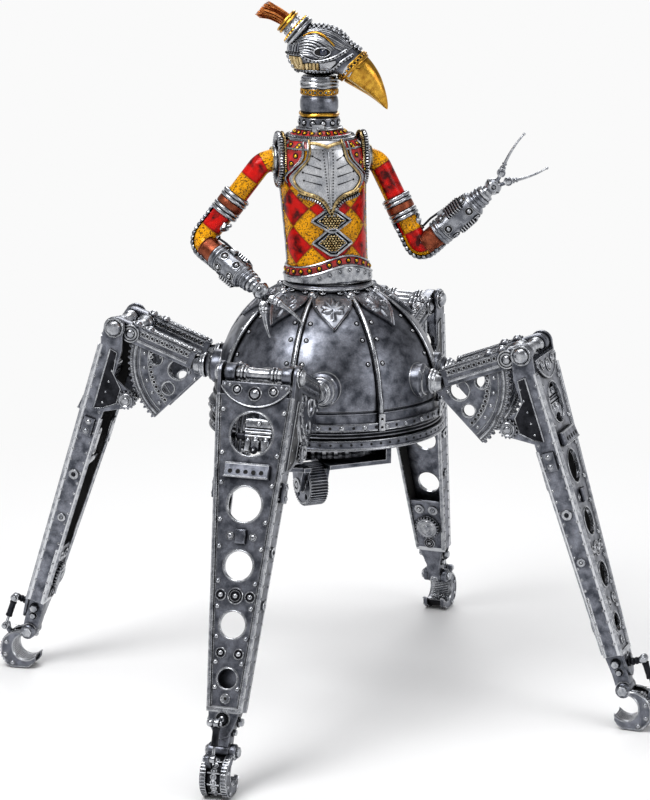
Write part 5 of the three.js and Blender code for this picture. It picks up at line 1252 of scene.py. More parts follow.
def pinion_work():
    """The small gears of a leg on their shaft."""
    leg = Work()
    centre = Matrix.Translation(SHANK @ Vector((-PINION_BACK, 0, -PINION_DOWN)))
    half = SHANK_TOP
    leg.add(turned([(0, -half), (2, -half + 0.3), (2, half - 0.3), (0, half)], 0.3, 18), "steel",
            centre @ ACROSS)
    leg.add(turned([(2, -13), (3.2, -12.4), (3.2, -8), (2.4, -7.4), (2.4, 7.4), (3.2, 8), (3.2, 12.4),
                    (2, 13)], 0.3, 22),
            "dark", centre @ ACROSS)
    hub = [(4.4, 1.4), (4.4, 2.1), (3.4, 2.2), (3.2, 1.9), (2.6, 1.9), (2.4, 2.8), (0, 3.0)]
    cap = soft([(5.0, -0.2), (5.0, 1.5), (4.2, 1.9), (3.4, 1.2), (2.6, 1.2), (2.3, 2.0), (1.2, 2.5),
                (0, 2.6)], 0.2)
    for side in (-1, 1):
        wheel = centre @ shift(0, side * SIDE, 0) @ turn(-90 * side, "X")
        leg.add(plate(toothed(6.3, 4.6, 8), [], 3.2, 0.3), "steel", centre @ shift(0, side * SIDE, 0) @ STAND)
        for face in (-1, 1):
            end = wheel if face > 0 else wheel @ UNDER
            leg.add(turned(hub, 0.2, 26), "gunmetal", end)
            leg.add(torus(3.9, 0.35, 26, 6), "steel", end @ shift(0, 0, 2.1))
        # spur wheels inboard on the shaft
        leg.add(plate(toothed(5.0, 4.0, 14), [], 1.6, 0.2), "steel",
                centre @ shift(0, side * 10.2, 0) @ STAND)
        # toothed end wheel and its stepped cap outside the ear
        end = centre @ shift(0, side * (half_at(PINION_DOWN) + 0.9), 0) @ turn(-90 * side, "X")
        leg.add(plate(toothed(6.7, 5.6, 14), [], 1.2, 0.2), "gunmetal", end @ shift(0, 0, 0.6))
        leg.add(lathe(cap, 30), "steel", end @ shift(0, 0, 1.0))
    return leg


def claw_work():
    """The crescent foot with its rims, combs, ankle bosses and lug."""
    leg = Work()
    inner_x, inner_z = CLAW_REACH - 4.4, CLAW_HEIGHT + 2.0

    def rim_place(radius, angle, across, floor=0.7):
        x, z = polar(radius, angle)
        return Vector((CLAW_REACH + x, across, max(CLAW_HEIGHT + z, floor)))

    outer = [(x, max(z, 0.05)) for x, z in arc_outline(14, 112, -146, 48, CLAW_REACH, CLAW_HEIGHT)]
    inner = arc_outline(9, -146, 112, 40, inner_x, inner_z)
    for side in (-1, 1):
        leg.add(plate(outer + inner, [], 3.2, 0.6), "gunmetal", shift(0, side * 6.9, 0) @ STAND)
    # the core fills the gap between the side plates; its dark colour is painted shade
    core = [(x, max(z, 0.6)) for x, z in arc_outline(12.4, 104, -138, 40, CLAW_REACH, CLAW_HEIGHT)]
    leg.add(plate(core + arc_outline(9.4, -138, 104, 36, inner_x, inner_z), [], 11.6, 0.5), "dark", STAND)
    comb, knob = box(1.5, 3.4, 1.0, 0.25), dome(1.35, 1.2, 14, 4)
    for side in (-1, 1):
        # polished edges, and notched combs between them on the outer rim
        for radius, across, size in ((13.9, 5.3, 0.5), (13.5, 8.45, 0.6)):
            leg.add(tube([rim_place(radius, a, side * across) for a in range(108, -143, -6)], size, 6),
                    "steel")
        rim = [(inner_x + polar(9.5, a)[0], side * 8.4, inner_z + polar(9.5, a)[1])
               for a in range(108, -143, -8)]
        leg.add(tube(rim, 0.6, 6), "steel")
        for a in range(66, -64, -9):
            leg.add(comb, "steel", Matrix.Translation(rim_place(13.8, a, side * 6.9)) @ turn(-a, "Y"))
    # small fittings in the dark gap between the side plates
    for k, a in enumerate(range(64, -60, -17)):
        place = rim_place(12.4, a, 0)
        seat = facing(place, place - Vector((CLAW_REACH, 0, CLAW_HEIGHT)))
        leg.add(washer(2.2, 1.2, 0.5, 16), "gunmetal", seat).add(knob, "steel", seat)
        if k % 2:
            leg.add(box(8.4, 1.1, 1.2, 0.3), "steel", seat @ shift(0, 2.6, 0.2))
    # ribbed inner band
    rib = box(0.9, 14.5, 1.0, 0.3)
    for a in range(84, -140, -8):
        x, z = polar(9.3, a)
        leg.add(rib, "steel", shift(inner_x + x, 0, inner_z + z) @ turn(-a, "Y"))
    stud, boss_cap = dome(1.7, 1.4, 16), hexagon(3.6, 1.8)
    for side in (-1, 1):
        for reach, a in ((11.8, 30), (11.9, -20), (12.0, -62)):
            x, z = polar(reach, a)
            leg.add(stud, "steel",
                    shift(CLAW_REACH + x * 0.93, side * 8.4, CLAW_HEIGHT + z * 0.93) @ turn(-90 * side, "X"))
        boss = shift(ANKLE_PIN[0], side * 8.0, ANKLE_PIN[1]) @ turn(-90 * side, "X")
        leg.add(turned([(5.2, -2.4), (5.2, 0.6), (4.4, 1.1), (4.2, 1.5), (0, 1.5)], 0.3, 30), "gunmetal",
                boss)
        leg.add(boss_cap, "steel", boss @ shift(0, 0, 1.4))
    leg.add(turned([(0, -8.2), (2.5, -8.2), (2.5, 8.2), (0, 8.2)], 0.2, 20), "steel",
            shift(ANKLE_PIN[0], 0, ANKLE_PIN[1]) @ ACROSS)
    # stacked rings on the heel, above the ground
    leg.add(turned([(3.6, -0.4), (3.6, 1.2), (2.8, 1.6), (2.8, 2.6), (2.0, 3.0), (0, 3.2)], 0.3, 22), "steel",
            shift(CLAW_REACH - 8.4, 0, 24.8) @ turn(-40, "Y"))
    lug_x, lug_z = LUG
    arm = [(229.0, 21.0), (232.0, 19.6), (lug_x + 2.3, lug_z - 1.2)]
    arm += arc_outline(2.4, -20, 160, 10, lug_x, lug_z) + [(lug_x - 2.6, lug_z - 2.4)]
    leg.add(plate(arm, [], 3.5, 0.5), "gunmetal", shift(0, -3.75, 0) @ STAND)
    pin = [(0, -6.6), (1.8, -6.2), (1.8, -5.4), (1.1, -5), (1.1, 2.4), (1.7, 2.5), (0, 3.2)]
    leg.add(turned(pin, 0.2, 16), "steel", shift(lug_x, 0, lug_z) @ ACROSS)
    return leg


def ram_works():
    """The strut's cylinder and its rod, from the horn of the ankle to the lug of the claw."""
    horn = SHANK @ Vector((HORN_OUT, 0, -HORN_DOWN))
    lug = Vector((LUG[0], 0, LUG[1]))
    line = facing(horn, lug - horn)
    barrel, stem = Work(), Work()
    barrel.add(turned([(1.6, -1.6), (2.9, -1.6), (2.9, 1.6), (1.6, 1.6)], 0.3, 24, closed=True), "steel",
               Matrix.Translation(horn) @ ACROSS)
    profile = [(1.5, 14.5), (2.4, 14.5), (2.4, 13.2), (2.2, 12.8), (2.2, 4.4), (2.5, 4.0), (2.5, 2.9),
               (1.8, 2.6), (1.5, 2.6)]
    barrel.add(turned(profile, 0.2, 24), "dark", line)
    length = (lug - horn).length
    stem.add(lathe([(0, 8.6), (1, 8.6), (1, length - 2.4), (0, length - 2.4)], 14), "steel", line)
    stem.add(turned([(1.7, -1.6), (2.6, -1.6), (2.6, 1.6), (1.7, 1.6)], 0.3, 22, closed=True), "steel",
             Matrix.Translation(lug) @ ACROSS)
    return barrel, stem


def build_legs():
    """The seven pieces of each leg; all four legs share the same shapes."""
    barrel, stem = ram_works()
    works = (("thigh_frame", thigh_work(), "gunmetal"), ("knee_axle", axle_work(), "steel"),
             ("shank_frame", shank_work(), "gunmetal"), ("sector_pinion", pinion_work(), "steel"),
             ("claw", claw_work(), "gunmetal"), ("ram_cylinder", barrel, "dark_steel"),
             ("ram_rod", stem, "steel"))
    for leg, azimuth in LEGS:
        bodies = {"thigh_frame": "chassis", "knee_axle": "chassis", "shank_frame": f"shank_{leg}",
                  "sector_pinion": f"pinion_{leg}"}
        for node, work, slot in works:
            name = f"{node}_{leg}"
            make(name, work, bodies.get(node, name), [name], slot, leg_place(azimuth))


# Trunk, drawn in its own frame with the front toward -Y

TRUNK = CARRIAGE @ turn(TRUNK_YAW)
TRUNK_FOOT, TRUNK_H, TRUNK_W, TRUNK_DEPTH, TRUNK_LEAN = 292.5, 103.5, 29.6, 0.8, -7.0
NECK_X, NECK_Y, NECK_FOOT, NECK_H, NECK_R = -7.0, 1.5, 396.3, 34.7, 13.4
TRUNK_SHARES = [(0, 0.929), (0.13, 0.919), (0.314, 0.932), (0.556, 0.966), (0.729, 1), (0.836, 0.986),
                (0.913, 0.861), (0.966, 0.574), (1, 0.439)]
PLATE_SHARES = [(0.478, 0.01), (0.553, 0.152), (0.591, 0.338), (0.614, 0.603), (0.691, 0.794), (0.758, 0.651),
                (0.826, 0.456), (0.928, 0.389)]
FANS = ((0.353, 0.423, 0.507), (0.198, 0.276, 0.372))
SHOULDER_UP, SHOULDER_OUT = 0.797, 30.99


def height_of(share):
    return TRUNK_FOOT + share * TRUNK_H


def lean_of(share):
    return TRUNK_LEAN * share


def trunk_skin(angle, share):
    radius = TRUNK_W * curve_value(TRUNK_SHARES, share)
    return Vector((lean_of(share) + radius * sin(angle), -TRUNK_DEPTH * radius * cos(angle),
                   height_of(share)))


def trunk_frame(angle, share):
    """Place, outward direction and upward direction of the trunk's skin."""
    here = trunk_skin(angle, share)
    low, high = max(share - 0.01, 0), min(share + 0.01, 1)
    up = (trunk_skin(angle, high) - trunk_skin(angle, low)).normalized()
    across = (trunk_skin(angle + 0.02, share) - trunk_skin(angle - 0.02, share)).normalized()
    return here, across.cross(up).normalized(), up


def trunk_point(angle, share, lift=0.0):
    here, out, _ = trunk_frame(angle, share)
    return here + out * lift


def angle_at(across, share):
    radius = TRUNK_W * curve_value(TRUNK_SHARES, share)
    return asin(max(-0.999, min(0.999, across / radius)))


def front_point(across, share, lift=0.0):
    return trunk_point(angle_at(across, share), share, lift)


def framed(place, out, up):
    side = up.cross(out).normalized()
    matrix = Matrix((side, out.cross(side), out)).transposed().to_4x4()
    return Matrix.Translation(place) @ matrix


def trunk_spot(angle, share, lift=0.0):
    here, out, up = trunk_frame(angle, share)
    return framed(here + out * lift, out, up)


def spaced(path, gap, closed=False):
    """Places at an even gap along a path, with the direction of each."""
    points = [Vector(p) for p in path] + ([Vector(path[0])] if closed else [])
    total = sum((b - a).length for a, b in zip(points, points[1:]))
    count = max(int(round(total / gap)), 1)
    wanted, run, found = [total * (i + 0.5) / count for i in range(count)], 0.0, []
    for a, b in zip(points, points[1:]):
        step = (b - a).length
        while wanted and wanted[0] <= run + step:
            found.append((a.lerp(b, (wanted[0] - run) / max(step, 1e-9)), (b - a).normalized()))
            wanted.pop(0)
        run += step
    return found


def rope(work, path, radius, finish="steel", closed=False):
    """An edging of slanted beads, like a turned rope."""
    pearl = lathe([(0, -radius * 0.62), (radius * 0.8, -radius * 0.34), (radius, 0),
                   (radius * 0.8, radius * 0.34), (0, radius * 0.62)], 8)
    for place, along in spaced(path, radius * 1.15, closed):
        work.add(pearl, finish, facing(place, along))


def stud_on(work, spot, radius, finish="brass", seat="dark"):
    work.add(washer(radius + 0.7, radius * 0.7, 0.35, 16), seat, spot)
    work.add(dome(radius, radius * 0.75, 14, 4), finish, spot @ shift(0, 0, 0.1))


def shoulder_hub(side):
    """The centre of a shoulder's boss in the trunk, with local Z outward."""
    return shift(lean_of(SHOULDER_UP), NECK_Y, height_of(SHOULDER_UP)) @ turn(90 * side, "Y")


def fan_table(low, middle, high):
    return [(low, 0.068), (middle, 0.439), (high, 0.068)]


def shoulder_panel(shell, side):
    """A red panel in front of the shoulder with piping and yellow studs in dark seats."""
    low, high = 0.60, 0.93
    inner = [(angle_at(curve_value(PLATE_SHARES, s) * TRUNK_W + 3.0, s) * side, s)
             for s in spread(low + 0.06, high - 0.01, 12)]
    outer = [(radians(mix(80, 66, i / 12)) * side, mix(low + 0.1, high - 0.01, i / 12)) for i in range(13)]

    def field(s, t, lift):
        i = min(int(t * 12), 11)
        k = t * 12 - i
        a = mix(inner[i][0], inner[i + 1][0], k)
        b = mix(outer[i][0], outer[i + 1][0], k)
        sa, sb = mix(inner[i][1], inner[i + 1][1], k), mix(outer[i][1], outer[i + 1][1], k)
        share = mix(sa, sb, (s + 1) / 2)
        return trunk_point(mix(a, b, (s + 1) / 2), share, lift)

    shell.add(raised(10, 16, field, level(0.8)), "red")
    for s in (-1, 1):
        edge = [field(s, i / 24, 1.0) for i in range(25)]
        shell.add(tube(edge, 0.75, 8), "steel")
        rope(shell, [field(s * 0.9, i / 24, 1.0) for i in range(25)], 0.5)
    for k in range(5):
        t = 0.08 + 0.2 * k
        spot = field(-0.42, t, 0.8)
        out = (field(-0.42, t, 1.8) - spot).normalized()
        up = (field(-0.42, min(t + 0.02, 1), 0.8) - spot).normalized()
        stud_on(shell, framed(spot, out, up), 1.25)


def neck_band(shell):
    """The red band round the neck with yellow studs and its piping."""
    around = lambda u, v: trunk_point((u * 2 - 1) * pi, mix(0.885, 0.925, v), 0.9)
    shell.add(grid(72, 4, around, closed=True), "red")
    for share in (0.882, 0.928):
        ring = [trunk_point(radians(k * 5), share, 1.0) for k in range(72)]
        shell.add(tube(ring, 0.7, 8, closed=True), "steel")
    for k in range(22):
        stud_on(shell, trunk_spot(radians((k + 0.5) * 360 / 22), 0.905, 0.9), 1.1)


def seams(shell):
    """Riveted piping from the waist to each arm, and the laced seam of the back with its buttons."""
    for side in (-1, 1):
        seam = [trunk_point(radians(90 * side), s, 0.3) for s in spread(0.12, 0.62, 20)]
        shell.add(tube(seam, 0.8, 8), "steel")
        for k in range(9):
            for aside in (-6, 6):
                spot = trunk_spot(radians(90 * side + aside), 0.14 + 0.054 * k, 0.1)
                shell.add(dome(0.8, 0.6, 10, 3), "brass", spot)
    for share in [0.16 + 0.06 * k for k in range(12)]:
        spot = trunk_spot(pi, share, 0.2)
        shell.bolt(spot, (2.2, 1.2, 0.5, 18), (1.3, 1.0, 12), "brass")
    for side in (-1, 1):
        seam = [trunk_point(pi + radians(7 * side), s, 0.3) for s in spread(0.12, 0.86, 24)]
        rope(shell, seam, 0.7)


def build_trunk():
    """The enamelled shell of the trunk, then the pieces that it wears."""
    shell = Work()
    shell.add(grid(96, 56, lambda u, v: trunk_point((u * 2 - 1) * pi, v), closed=True), "harlequin")
    inside = [(TRUNK_W * 0.86, 1.5), (TRUNK_W * 0.86, 80), (TRUNK_W * 0.4, 98), (0, 98)]
    shear = Matrix(((1, 0, TRUNK_LEAN / TRUNK_H, 0), (0, TRUNK_DEPTH, 0, 0), (0, 0, 1, TRUNK_FOOT),
                    (0, 0, 0, 1)))
    shell.add(lathe(inside, 48), "dark", shear)
    shell.add(lathe([(TRUNK_W * 0.86, 1.5), (TRUNK_W * 0.86, 0.0), (TRUNK_W * 0.929, 0.0)], 64), "dark",
              shear)
    for side in (-1, 1):
        hub = shoulder_hub(side)
        boss = soft([(0, 31), (7.6, 31), (7.6, 29), (9, 28.4), (9, 18)], 0.4)
        shell.add(lathe(boss, 32), "steel", hub)
        shoulder_panel(shell, side)
    neck_band(shell)
    seams(shell)
    make("trunk_shell", shell, "trunk", ["trunk_shell"], "enamel", TRUNK)
    build_belt()
    build_breastplate()
    build_gorget()
    build_neck()
    for name, side in (("right", -1), ("left", 1)):
        build_shoulder_ring(name, side)


def sash_top(angle):
    """The sash rises toward the left of the front and dips at the sides."""
    return 0.105 + 0.085 * exp(-((angle - 0.35) / 0.75) ** 2)


# The steel plate of the belt ends this far below the top of the sash, as a share of the trunk's height
PLATE_DROP = 0.062


def build_belt():
    """The studded red sash with the steel plate below it."""
    belt = Work()
    around = [radians(k * 3) for k in range(-60, 60)]

    def band(u, v):
        angle = (u * 2 - 1) * pi
        share = mix(0.0, sash_top(angle), v)
        lift = 0.3 + 1.5 * min(1, v * 12, (1 - v) * 12)
        return trunk_point(angle, share, lift)

    def under(u, v):
        angle = (u * 2 - 1) * pi
        lift = 2.0 + 0.9 * min(1, v * 10, (1 - v) * 10)
        return trunk_point(angle, mix(0.006, sash_top(angle) - PLATE_DROP, v), lift)

    belt.add(grid(120, 16, band, closed=True), "red")
    for path, size in (([trunk_point(a, sash_top(a), 1.2) for a in around], 0.75),
                       ([trunk_point(a, 0.008, 1.6) for a in around], 0.9)):
        belt.add(tube(path, size, 8, closed=True), "steel")
    # steel plate that follows the lower edge of the red sash and rises with it
    belt.add(grid(120, 10, under, closed=True), "steel")
    edge = [trunk_point(a, sash_top(a) - PLATE_DROP, 2.6) for a in around]
    belt.add(tube(edge, 0.95, 8, closed=True), "steel")
    for k in range(26):
        angle = radians((k + 0.5) * 360 / 26 - 180)
        stud_on(belt, trunk_spot(angle, sash_top(angle) - 0.03, 1.8), 1.3)
        height = sash_top(angle) - PLATE_DROP
        if height > 0.07:
            spot = trunk_spot(angle, height - 0.032, 2.9)
            belt.add(torus(1.5, 0.35, 16, 6), "steel", spot).add(dome(1.0, 0.8, 12), "steel", spot)
    make("waist_belt", belt, "trunk", ["waist_belt"], "enamel", TRUNK)


def build_breastplate():
    """The polished plate with punched dots and ribs, and the two pointed plates below it."""
    chest = Work()
    low, high = PLATE_SHARES[0][0], PLATE_SHARES[-1][0]

    def skin(s, t, lift):
        share = mix(low, high, t)
        return front_point(s * curve_value(PLATE_SHARES, share) * TRUNK_W, share, lift)

    chest.add(raised(40, 44, skin, level(1.6)), "bright")
    for across, size, finish, lift in ((0.92, 1.5, "pale_gold", 1.6), (1.02, 0.75, "steel", 1.2)):
        for side in (-1, 1):
            edge = [front_point(side * curve_value(PLATE_SHARES, s) * TRUNK_W * across, s, lift)
                    for s in spread(low + 0.012, high, 44)]
            chest.add(tube(edge, size, 8, squash=0.5 if size > 1 else 1.0), finish)
    top = [front_point(x, high - 0.012 - 0.0002 * (10 - abs(x)) ** 2, 1.6) for x in range(-11, 12)]
    chest.add(tube(top, 1.3, 8, squash=0.5), "pale_gold")
    # punched field: a ridge down the middle between two rows of painted-shade dots, and short ribs in pairs
    ridge = [front_point(0, s, 1.7) for s in spread(low + 0.05, high - 0.06, 20)]
    chest.add(tube(ridge, 0.55, 8), "bright")
    hole = bead(0.5, 8)
    for side in (-1, 1):
        for k in range(19):
            share = mix(low + 0.06, high - 0.05, k / 18)
            chest.add(hole, "void", shift(*front_point(side * (1.3 + 0.11 * k), share, 1.65)))
        for k in range(4):
            share = 0.66 + 0.052 * k
            reach = curve_value(PLATE_SHARES, share) * TRUNK_W * 0.72
            rib = [front_point(side * mix(5.2, reach, i / 8), share + 0.028 * i / 8, 1.6) for i in range(9)]
            chest.add(tube(rib, [0.5 * (1 - 0.09 * i) for i in range(9)], 6), "dark")
            chest.add(bead(0.75, 8), "void", shift(*rib[-1]))
    # gold strip with dots of black painted shade and a rope edge below the two lobes
    for side in (-1, 1):
        shares = spread(low + 0.004, 0.625, 24)
        strip = [front_point(side * curve_value(PLATE_SHARES, s) * TRUNK_W, s - 0.004, 1.8) for s in shares]
        chest.add(tube(strip, 1.6, 8, squash=0.6), "pale_gold")
        for place, _ in spaced(strip, 2.4):
            chest.add(bead(0.62, 8), "void", shift(*(place + Vector((0, -0.85, 0)))))
        rope(chest, [front_point(side * (curve_value(PLATE_SHARES, s) * TRUNK_W + 0.8), s - 0.03, 1.4)
                     for s in shares], 1.5)
    for marks in FANS:
        table = fan_table(*marks)

        def fan(s, t, lift, table=table):
            share = mix(table[0][0], table[-1][0], t)
            return front_point(s * line_value(table, share) * TRUNK_W, share, lift)

        chest.add(raised(20, 20, fan, level(1.1)), "dark")
        for inset, size in ((1.0, 0.95), (0.72, 0.55)):
            edge = []
            for side in (-1, 1):
                run = [(side * line_value(table, s) * TRUNK_W * inset, marks[1] + (s - marks[1]) * inset)
                       for s in spread(marks[0], marks[2], 16)]
                edge += run if side > 0 else run[::-1]
            chest.add(tube([front_point(x, s, 1.5) for x, s in edge], size, 8, closed=True), "steel")
        for row in range(-4, 5):
            for column in range(-5, 6):
                x, up = column * 1.9 + (row % 2) * 0.95, row * 1.6
                share = marks[1] + up / TRUNK_H
                if abs(x) < line_value(table, share) * TRUNK_W * 0.66 - 0.6 and abs(up) < 6.2:
                    chest.add(bead(0.9, 8), "pale_gold", shift(*front_point(x, share, 1.6)))
    make("breastplate", chest, "trunk", ["breastplate"], "steel", TRUNK)


def build_gorget():
    """The red studded throat band in its beaded steel edging."""
    gorget = Work()
    around = [radians(k * 5) for k in range(72)]

    def skin(u, v):
        return trunk_point((u * 2 - 1) * pi, mix(0.93, 0.998, v), 0.3 + 1.1 * min(1, v * 8))

    gorget.add(grid(96, 12, skin, closed=True), "red")
    for share, lift, size in ((0.932, 1.5, 0.9), (0.948, 1.7, 0.5), (0.99, 1.5, 1.0)):
        gorget.add(tube([trunk_point(a, share, lift) for a in around], size, 8, closed=True), "steel")
    rope(gorget, [trunk_point(a, 0.940, 1.8) for a in around], 1.15, closed=True)
    for k in range(20):
        stud_on(gorget, trunk_spot(radians((k + 0.5) * 18), 0.968, 1.4), 1.25)
    make("gorget", gorget, "trunk", ["gorget"], "steel", TRUNK)


def build_neck():
    """The neck of stacked rings."""
    neck = Work()
    centre = shift(NECK_X, NECK_Y, NECK_FOOT)
    bands = [(0, 0), (13.2, 0), (13.5, 1.0), (13.5, 6.4), (12.6, 7.2), (12.0, 8.0), (11.8, 10.4),
             (12.4, 11.4), (12.9, 13.6), (12.9, 18.0), (12.3, 20.4), (11.6, 21.2), (11.6, 22.0), (12.3, 22.6),
             (12.3, 26.0), (11.8, 26.8), (11.6, 27.6), (12.2, 28.8), (12.1, 31.4), (11.4, 32.6), (11.4, 34.7),
             (0, 34.7)]
    neck.add(turned(bands, 0.35, 72), "gunmetal", centre)

    def around(radius, height, count, offset=0.0):
        for k in range(count):
            a = 360 * (k + offset) / count
            x, y = polar(radius, a)
            yield centre @ facing((x, y, height), (x, y, 0))

    for spot in around(13.45, 3.8, 12):
        neck.bolt(spot, (2.3, 1.4, 0.4, 16), (1.6, 1.3, 14), seat="dark")
    # wavy gold ring, plain steel barrel, gold link band and stacked wavy steel rings
    for height, swing, waves, radius, size, finish in ((9.2, 0.45, 3, 12.5, 1.25, "gold"),
                                                       (28.2, 0.4, 5, 11.9, 1.15, "steel"),
                                                       (30.6, 0.5, 4, 11.9, 1.3, "steel"),
                                                       (32.5, 0.3, 5, 11.4, 1.1, "steel")):
        path = []
        for k in range(120):
            a = 2 * pi * k / 120
            path.append(centre @ Vector((radius * cos(a), radius * sin(a), height + swing * sin(waves * a))))
        neck.add(tube(path, size, 8, closed=True), finish)
    link = torus(1.35, 0.5, 14, 6)
    for k, spot in enumerate(around(12.4, 24.3, 22)):
        neck.add(link, "gold", spot)
        if k % 2:
            neck.add(bead(0.8, 8), "steel", spot)
    for height in (22.5, 26.1):
        neck.add(torus(12.4, 0.3, 72, 6), "gold", centre @ shift(0, 0, height))
    for height in (0.8, 6.6):
        neck.add(torus(13.4, 0.55, 72, 6), "steel", centre @ shift(0, 0, height))
    # curved tab below the collar
    tab = [(-4.2, 2), (4.2, 2), (4.2, -3.6), (0, -6.6), (-4.2, -3.6)]
    neck.add(plate(tab, [], 1.4, 0.4), "steel", centre @ shift(-3.5, -13.6, 1.4) @ STAND)
    neck.add(dome(1.2, 1.0, 12), "steel", centre @ shift(-3.5, -14.2, 0.2) @ turn(90, "X"))
    make("neck_column", neck, "trunk", ["neck_column"], "steel", TRUNK)


def build_shoulder_ring(name, side):
    """The oval ring round a shoulder with its rope edges."""
    ring, hub = Work(), shoulder_hub(side)
    profile = soft([(13.5, 26.0), (13.5, 29.9), (14.2, 30.5), (17.0, 30.3), (17.6, 29.4), (17.6, 26.0)], 0.4)
    squash = Matrix.Diagonal((1, 0.78, 1, 1))
    ring.add(lathe(profile, 72), "gunmetal", hub @ squash)
    for radius, height, size, finish in ((14.3, 30.4, 0.5, "steel"), (15.6, 30.5, 0.35, "steel")):
        loop = [hub @ squash @ Vector((*polar(radius, k * 5), height)) for k in range(72)]
        ring.add(tube(loop, size, 8, closed=True), finish)
    for radius, height, size, finish in ((17.6, 29.3, 1.7, "steel"), (17.9, 26.6, 1.1, "pale_gold")):
        rope(ring, [hub @ squash @ Vector((*polar(radius, k * 4), height)) for k in range(90)], size, finish,
             closed=True)
    make(f"shoulder_ring_{name}", ring, "trunk", [f"shoulder_ring_{name}"], "steel", TRUNK)


# Arms, in the trunk's frame

ARMS = {
    "right": {"side": -1, "outer": (-9.4, 0.6, -2.5), "elbow": (-49.4, 5.9, -56),
              "wrist": (-21.4, -28.6, -78.5),
              "tips": ((-12.4, -48.1, -112), (8.6, -53.1, -102)), "radii": (2.7, 2.4), "tip": 0.65},
    "left": {"side": 1, "outer": (8.6, -1, -3), "elbow": (35.6, -14.6, -61.5), "wrist": (74.2, -31, -22.6),
             "tips": ((100.2, -36.6, 18.8), (115.8, -39.8, -4)), "radii": (1.2, 1.2), "tip": 0.6},
}
ARM_R = 7.35
# Reach of the cuff from the elbow, of the palm's ball from the wrist and of the knuckles from that ball
CUFF_REACH, PALM_REACH, KNUCKLE_REACH = 16.0, 9.0, 10.6
FINGER_STEPS, FINGER_BEND, FINGER_ROOT = 24, 12.0, 1.85


def arm_places(arm):
    shoulder = Vector((lean_of(SHOULDER_UP) + arm["side"] * SHOULDER_OUT, NECK_Y, height_of(SHOULDER_UP)))
    outer, elbow, wrist = [shoulder + Vector(arm[k]) for k in ("outer", "elbow", "wrist")]
    forearm = (wrist - elbow).normalized()
    return shoulder, outer, elbow, wrist, forearm


def rounded_path(corners, cut, steps=10):
    path = [corners[0]]
    for before, here, after in zip(corners, corners[1:], corners[2:]):
        reach = min(cut, 0.45 * min((here - before).length, (after - here).length))
        enter, leave = here + (before - here).normalized() * reach, here + (after - here).normalized() * reach
        path += [bent(enter, here, leave, i / steps) for i in range(steps + 1)]
    path.append(corners[-1])
    even = []
    for a, b in zip(path, path[1:]):
        count = max(int((b - a).length / 2.0), 1)
        even += [a.lerp(b, i / count) for i in range(count)]
    return even + [path[-1]]


def arm_armour(work, path, elbow, outward, across):
    """Overlapping plates round the outside of the elbow, between two round bosses."""
    near = []
    for before, here, after in zip(path, path[1:], path[2:]):
        along = (after - before).normalized()
        out = (outward - along * outward.dot(along)).normalized()
        if (here - elbow).length < 25:
            near.append(here + out * (ARM_R + 0.1))
    run = spaced(near, 3.3)
    for k, (place, along) in enumerate(run):
        out = along.cross(across).normalized()
        out = out if out.dot(outward) > 0 else -out
        spot = framed(place, out, along)
        if k in (0, len(run) - 1):
            size = 4.6 if k == 0 else 3.6
            work.add(washer(size, size * 0.6, 1.5, 26), "gunmetal", spot)
            work.add(torus(size * 0.8, 0.4, 26, 6), "steel", spot @ shift(0, 0, 1.5))
            work.add(dome(size * 0.55, 2.2, 18), "steel", spot)
            continue
        tile = soft([(0, -1), (5.4, -1), (5.4, 0.8), (4.4, 1.5), (0, 1.8)], 0.3)
        squash = Matrix.Diagonal((1, 0.5, 1, 1))
        work.add(lathe(tile, 24), "steel" if k % 2 else "gunmetal", spot @ turn(16, "X") @ squash)
        work.add(dome(0.8, 0.8, 10, 3), "steel", spot @ shift(0, 0, 1.5))


def build_arm(name, arm):
    """The bent enamelled arm with its shoulder root, cuff and elbow bolt."""
    socket, outer, elbow, wrist, forearm = arm_places(arm)
    side = arm["side"]
    shoulder = socket + Vector((side * 0.3, 0, 0))
    cuff = elbow + forearm * CUFF_REACH
    upper = Work()
    path = rounded_path([shoulder, outer, elbow, cuff], 13)
    upper.add(tube(path, ARM_R, 28), f"harlequin_{name}")
    root = facing(shoulder, Vector((side, 0, 0)))
    upper.add(turned([(0, 0), (9.4, 0), (9.4, 1.4), (8.4, 2.4), (0, 2.4)], 0.4, 40), "steel", root)
    upper.add(torus(8.0, 0.7, 40, 6), "pale_gold", root @ shift(0, 0, 2.5))
    # plain copper cuff between two lips
    upper.add(tube(path[-6:], ARM_R + 0.75, 32), "copper")
    for k in (-6, -1):
        along = (path[-1] - path[-2] if k == -1 else path[-5] - path[-6]).normalized()
        upper.add(torus(ARM_R + 0.7, 0.55, 40, 8), "copper", facing(path[k], along))
    across = (elbow - outer).cross(forearm).normalized()
    outward = ((elbow - outer).normalized() - forearm).normalized()
    arm_armour(upper, path, elbow, outward, across)
    # hexagon bolt inside the elbow
    lug = elbow.lerp(outer, 0.16)
    spot = facing(lug - outward * 3.5, -outward)
    upper.add(turned([(3.2, 0), (3.2, 6.2), (2.2, 6.8), (0, 6.8)], 0.3, 18), "gunmetal", spot)
    upper.add(hexagon(3.6, 2.6), "steel", spot @ shift(0, 0, 6.2))
    upper.add(lathe([(1.3, 8), (1.3, 11.4), (0.9, 12), (0, 12)], 12), "steel", spot)
    make(f"upper_arm_{name}", upper, f"arm_{name}", [f"upper_arm_{name}"], "enamel", TRUNK)
    build_clamp(name, outer, elbow)
    build_gauntlet(name, cuff, wrist, forearm)
    build_hand(name, arm, wrist, forearm)


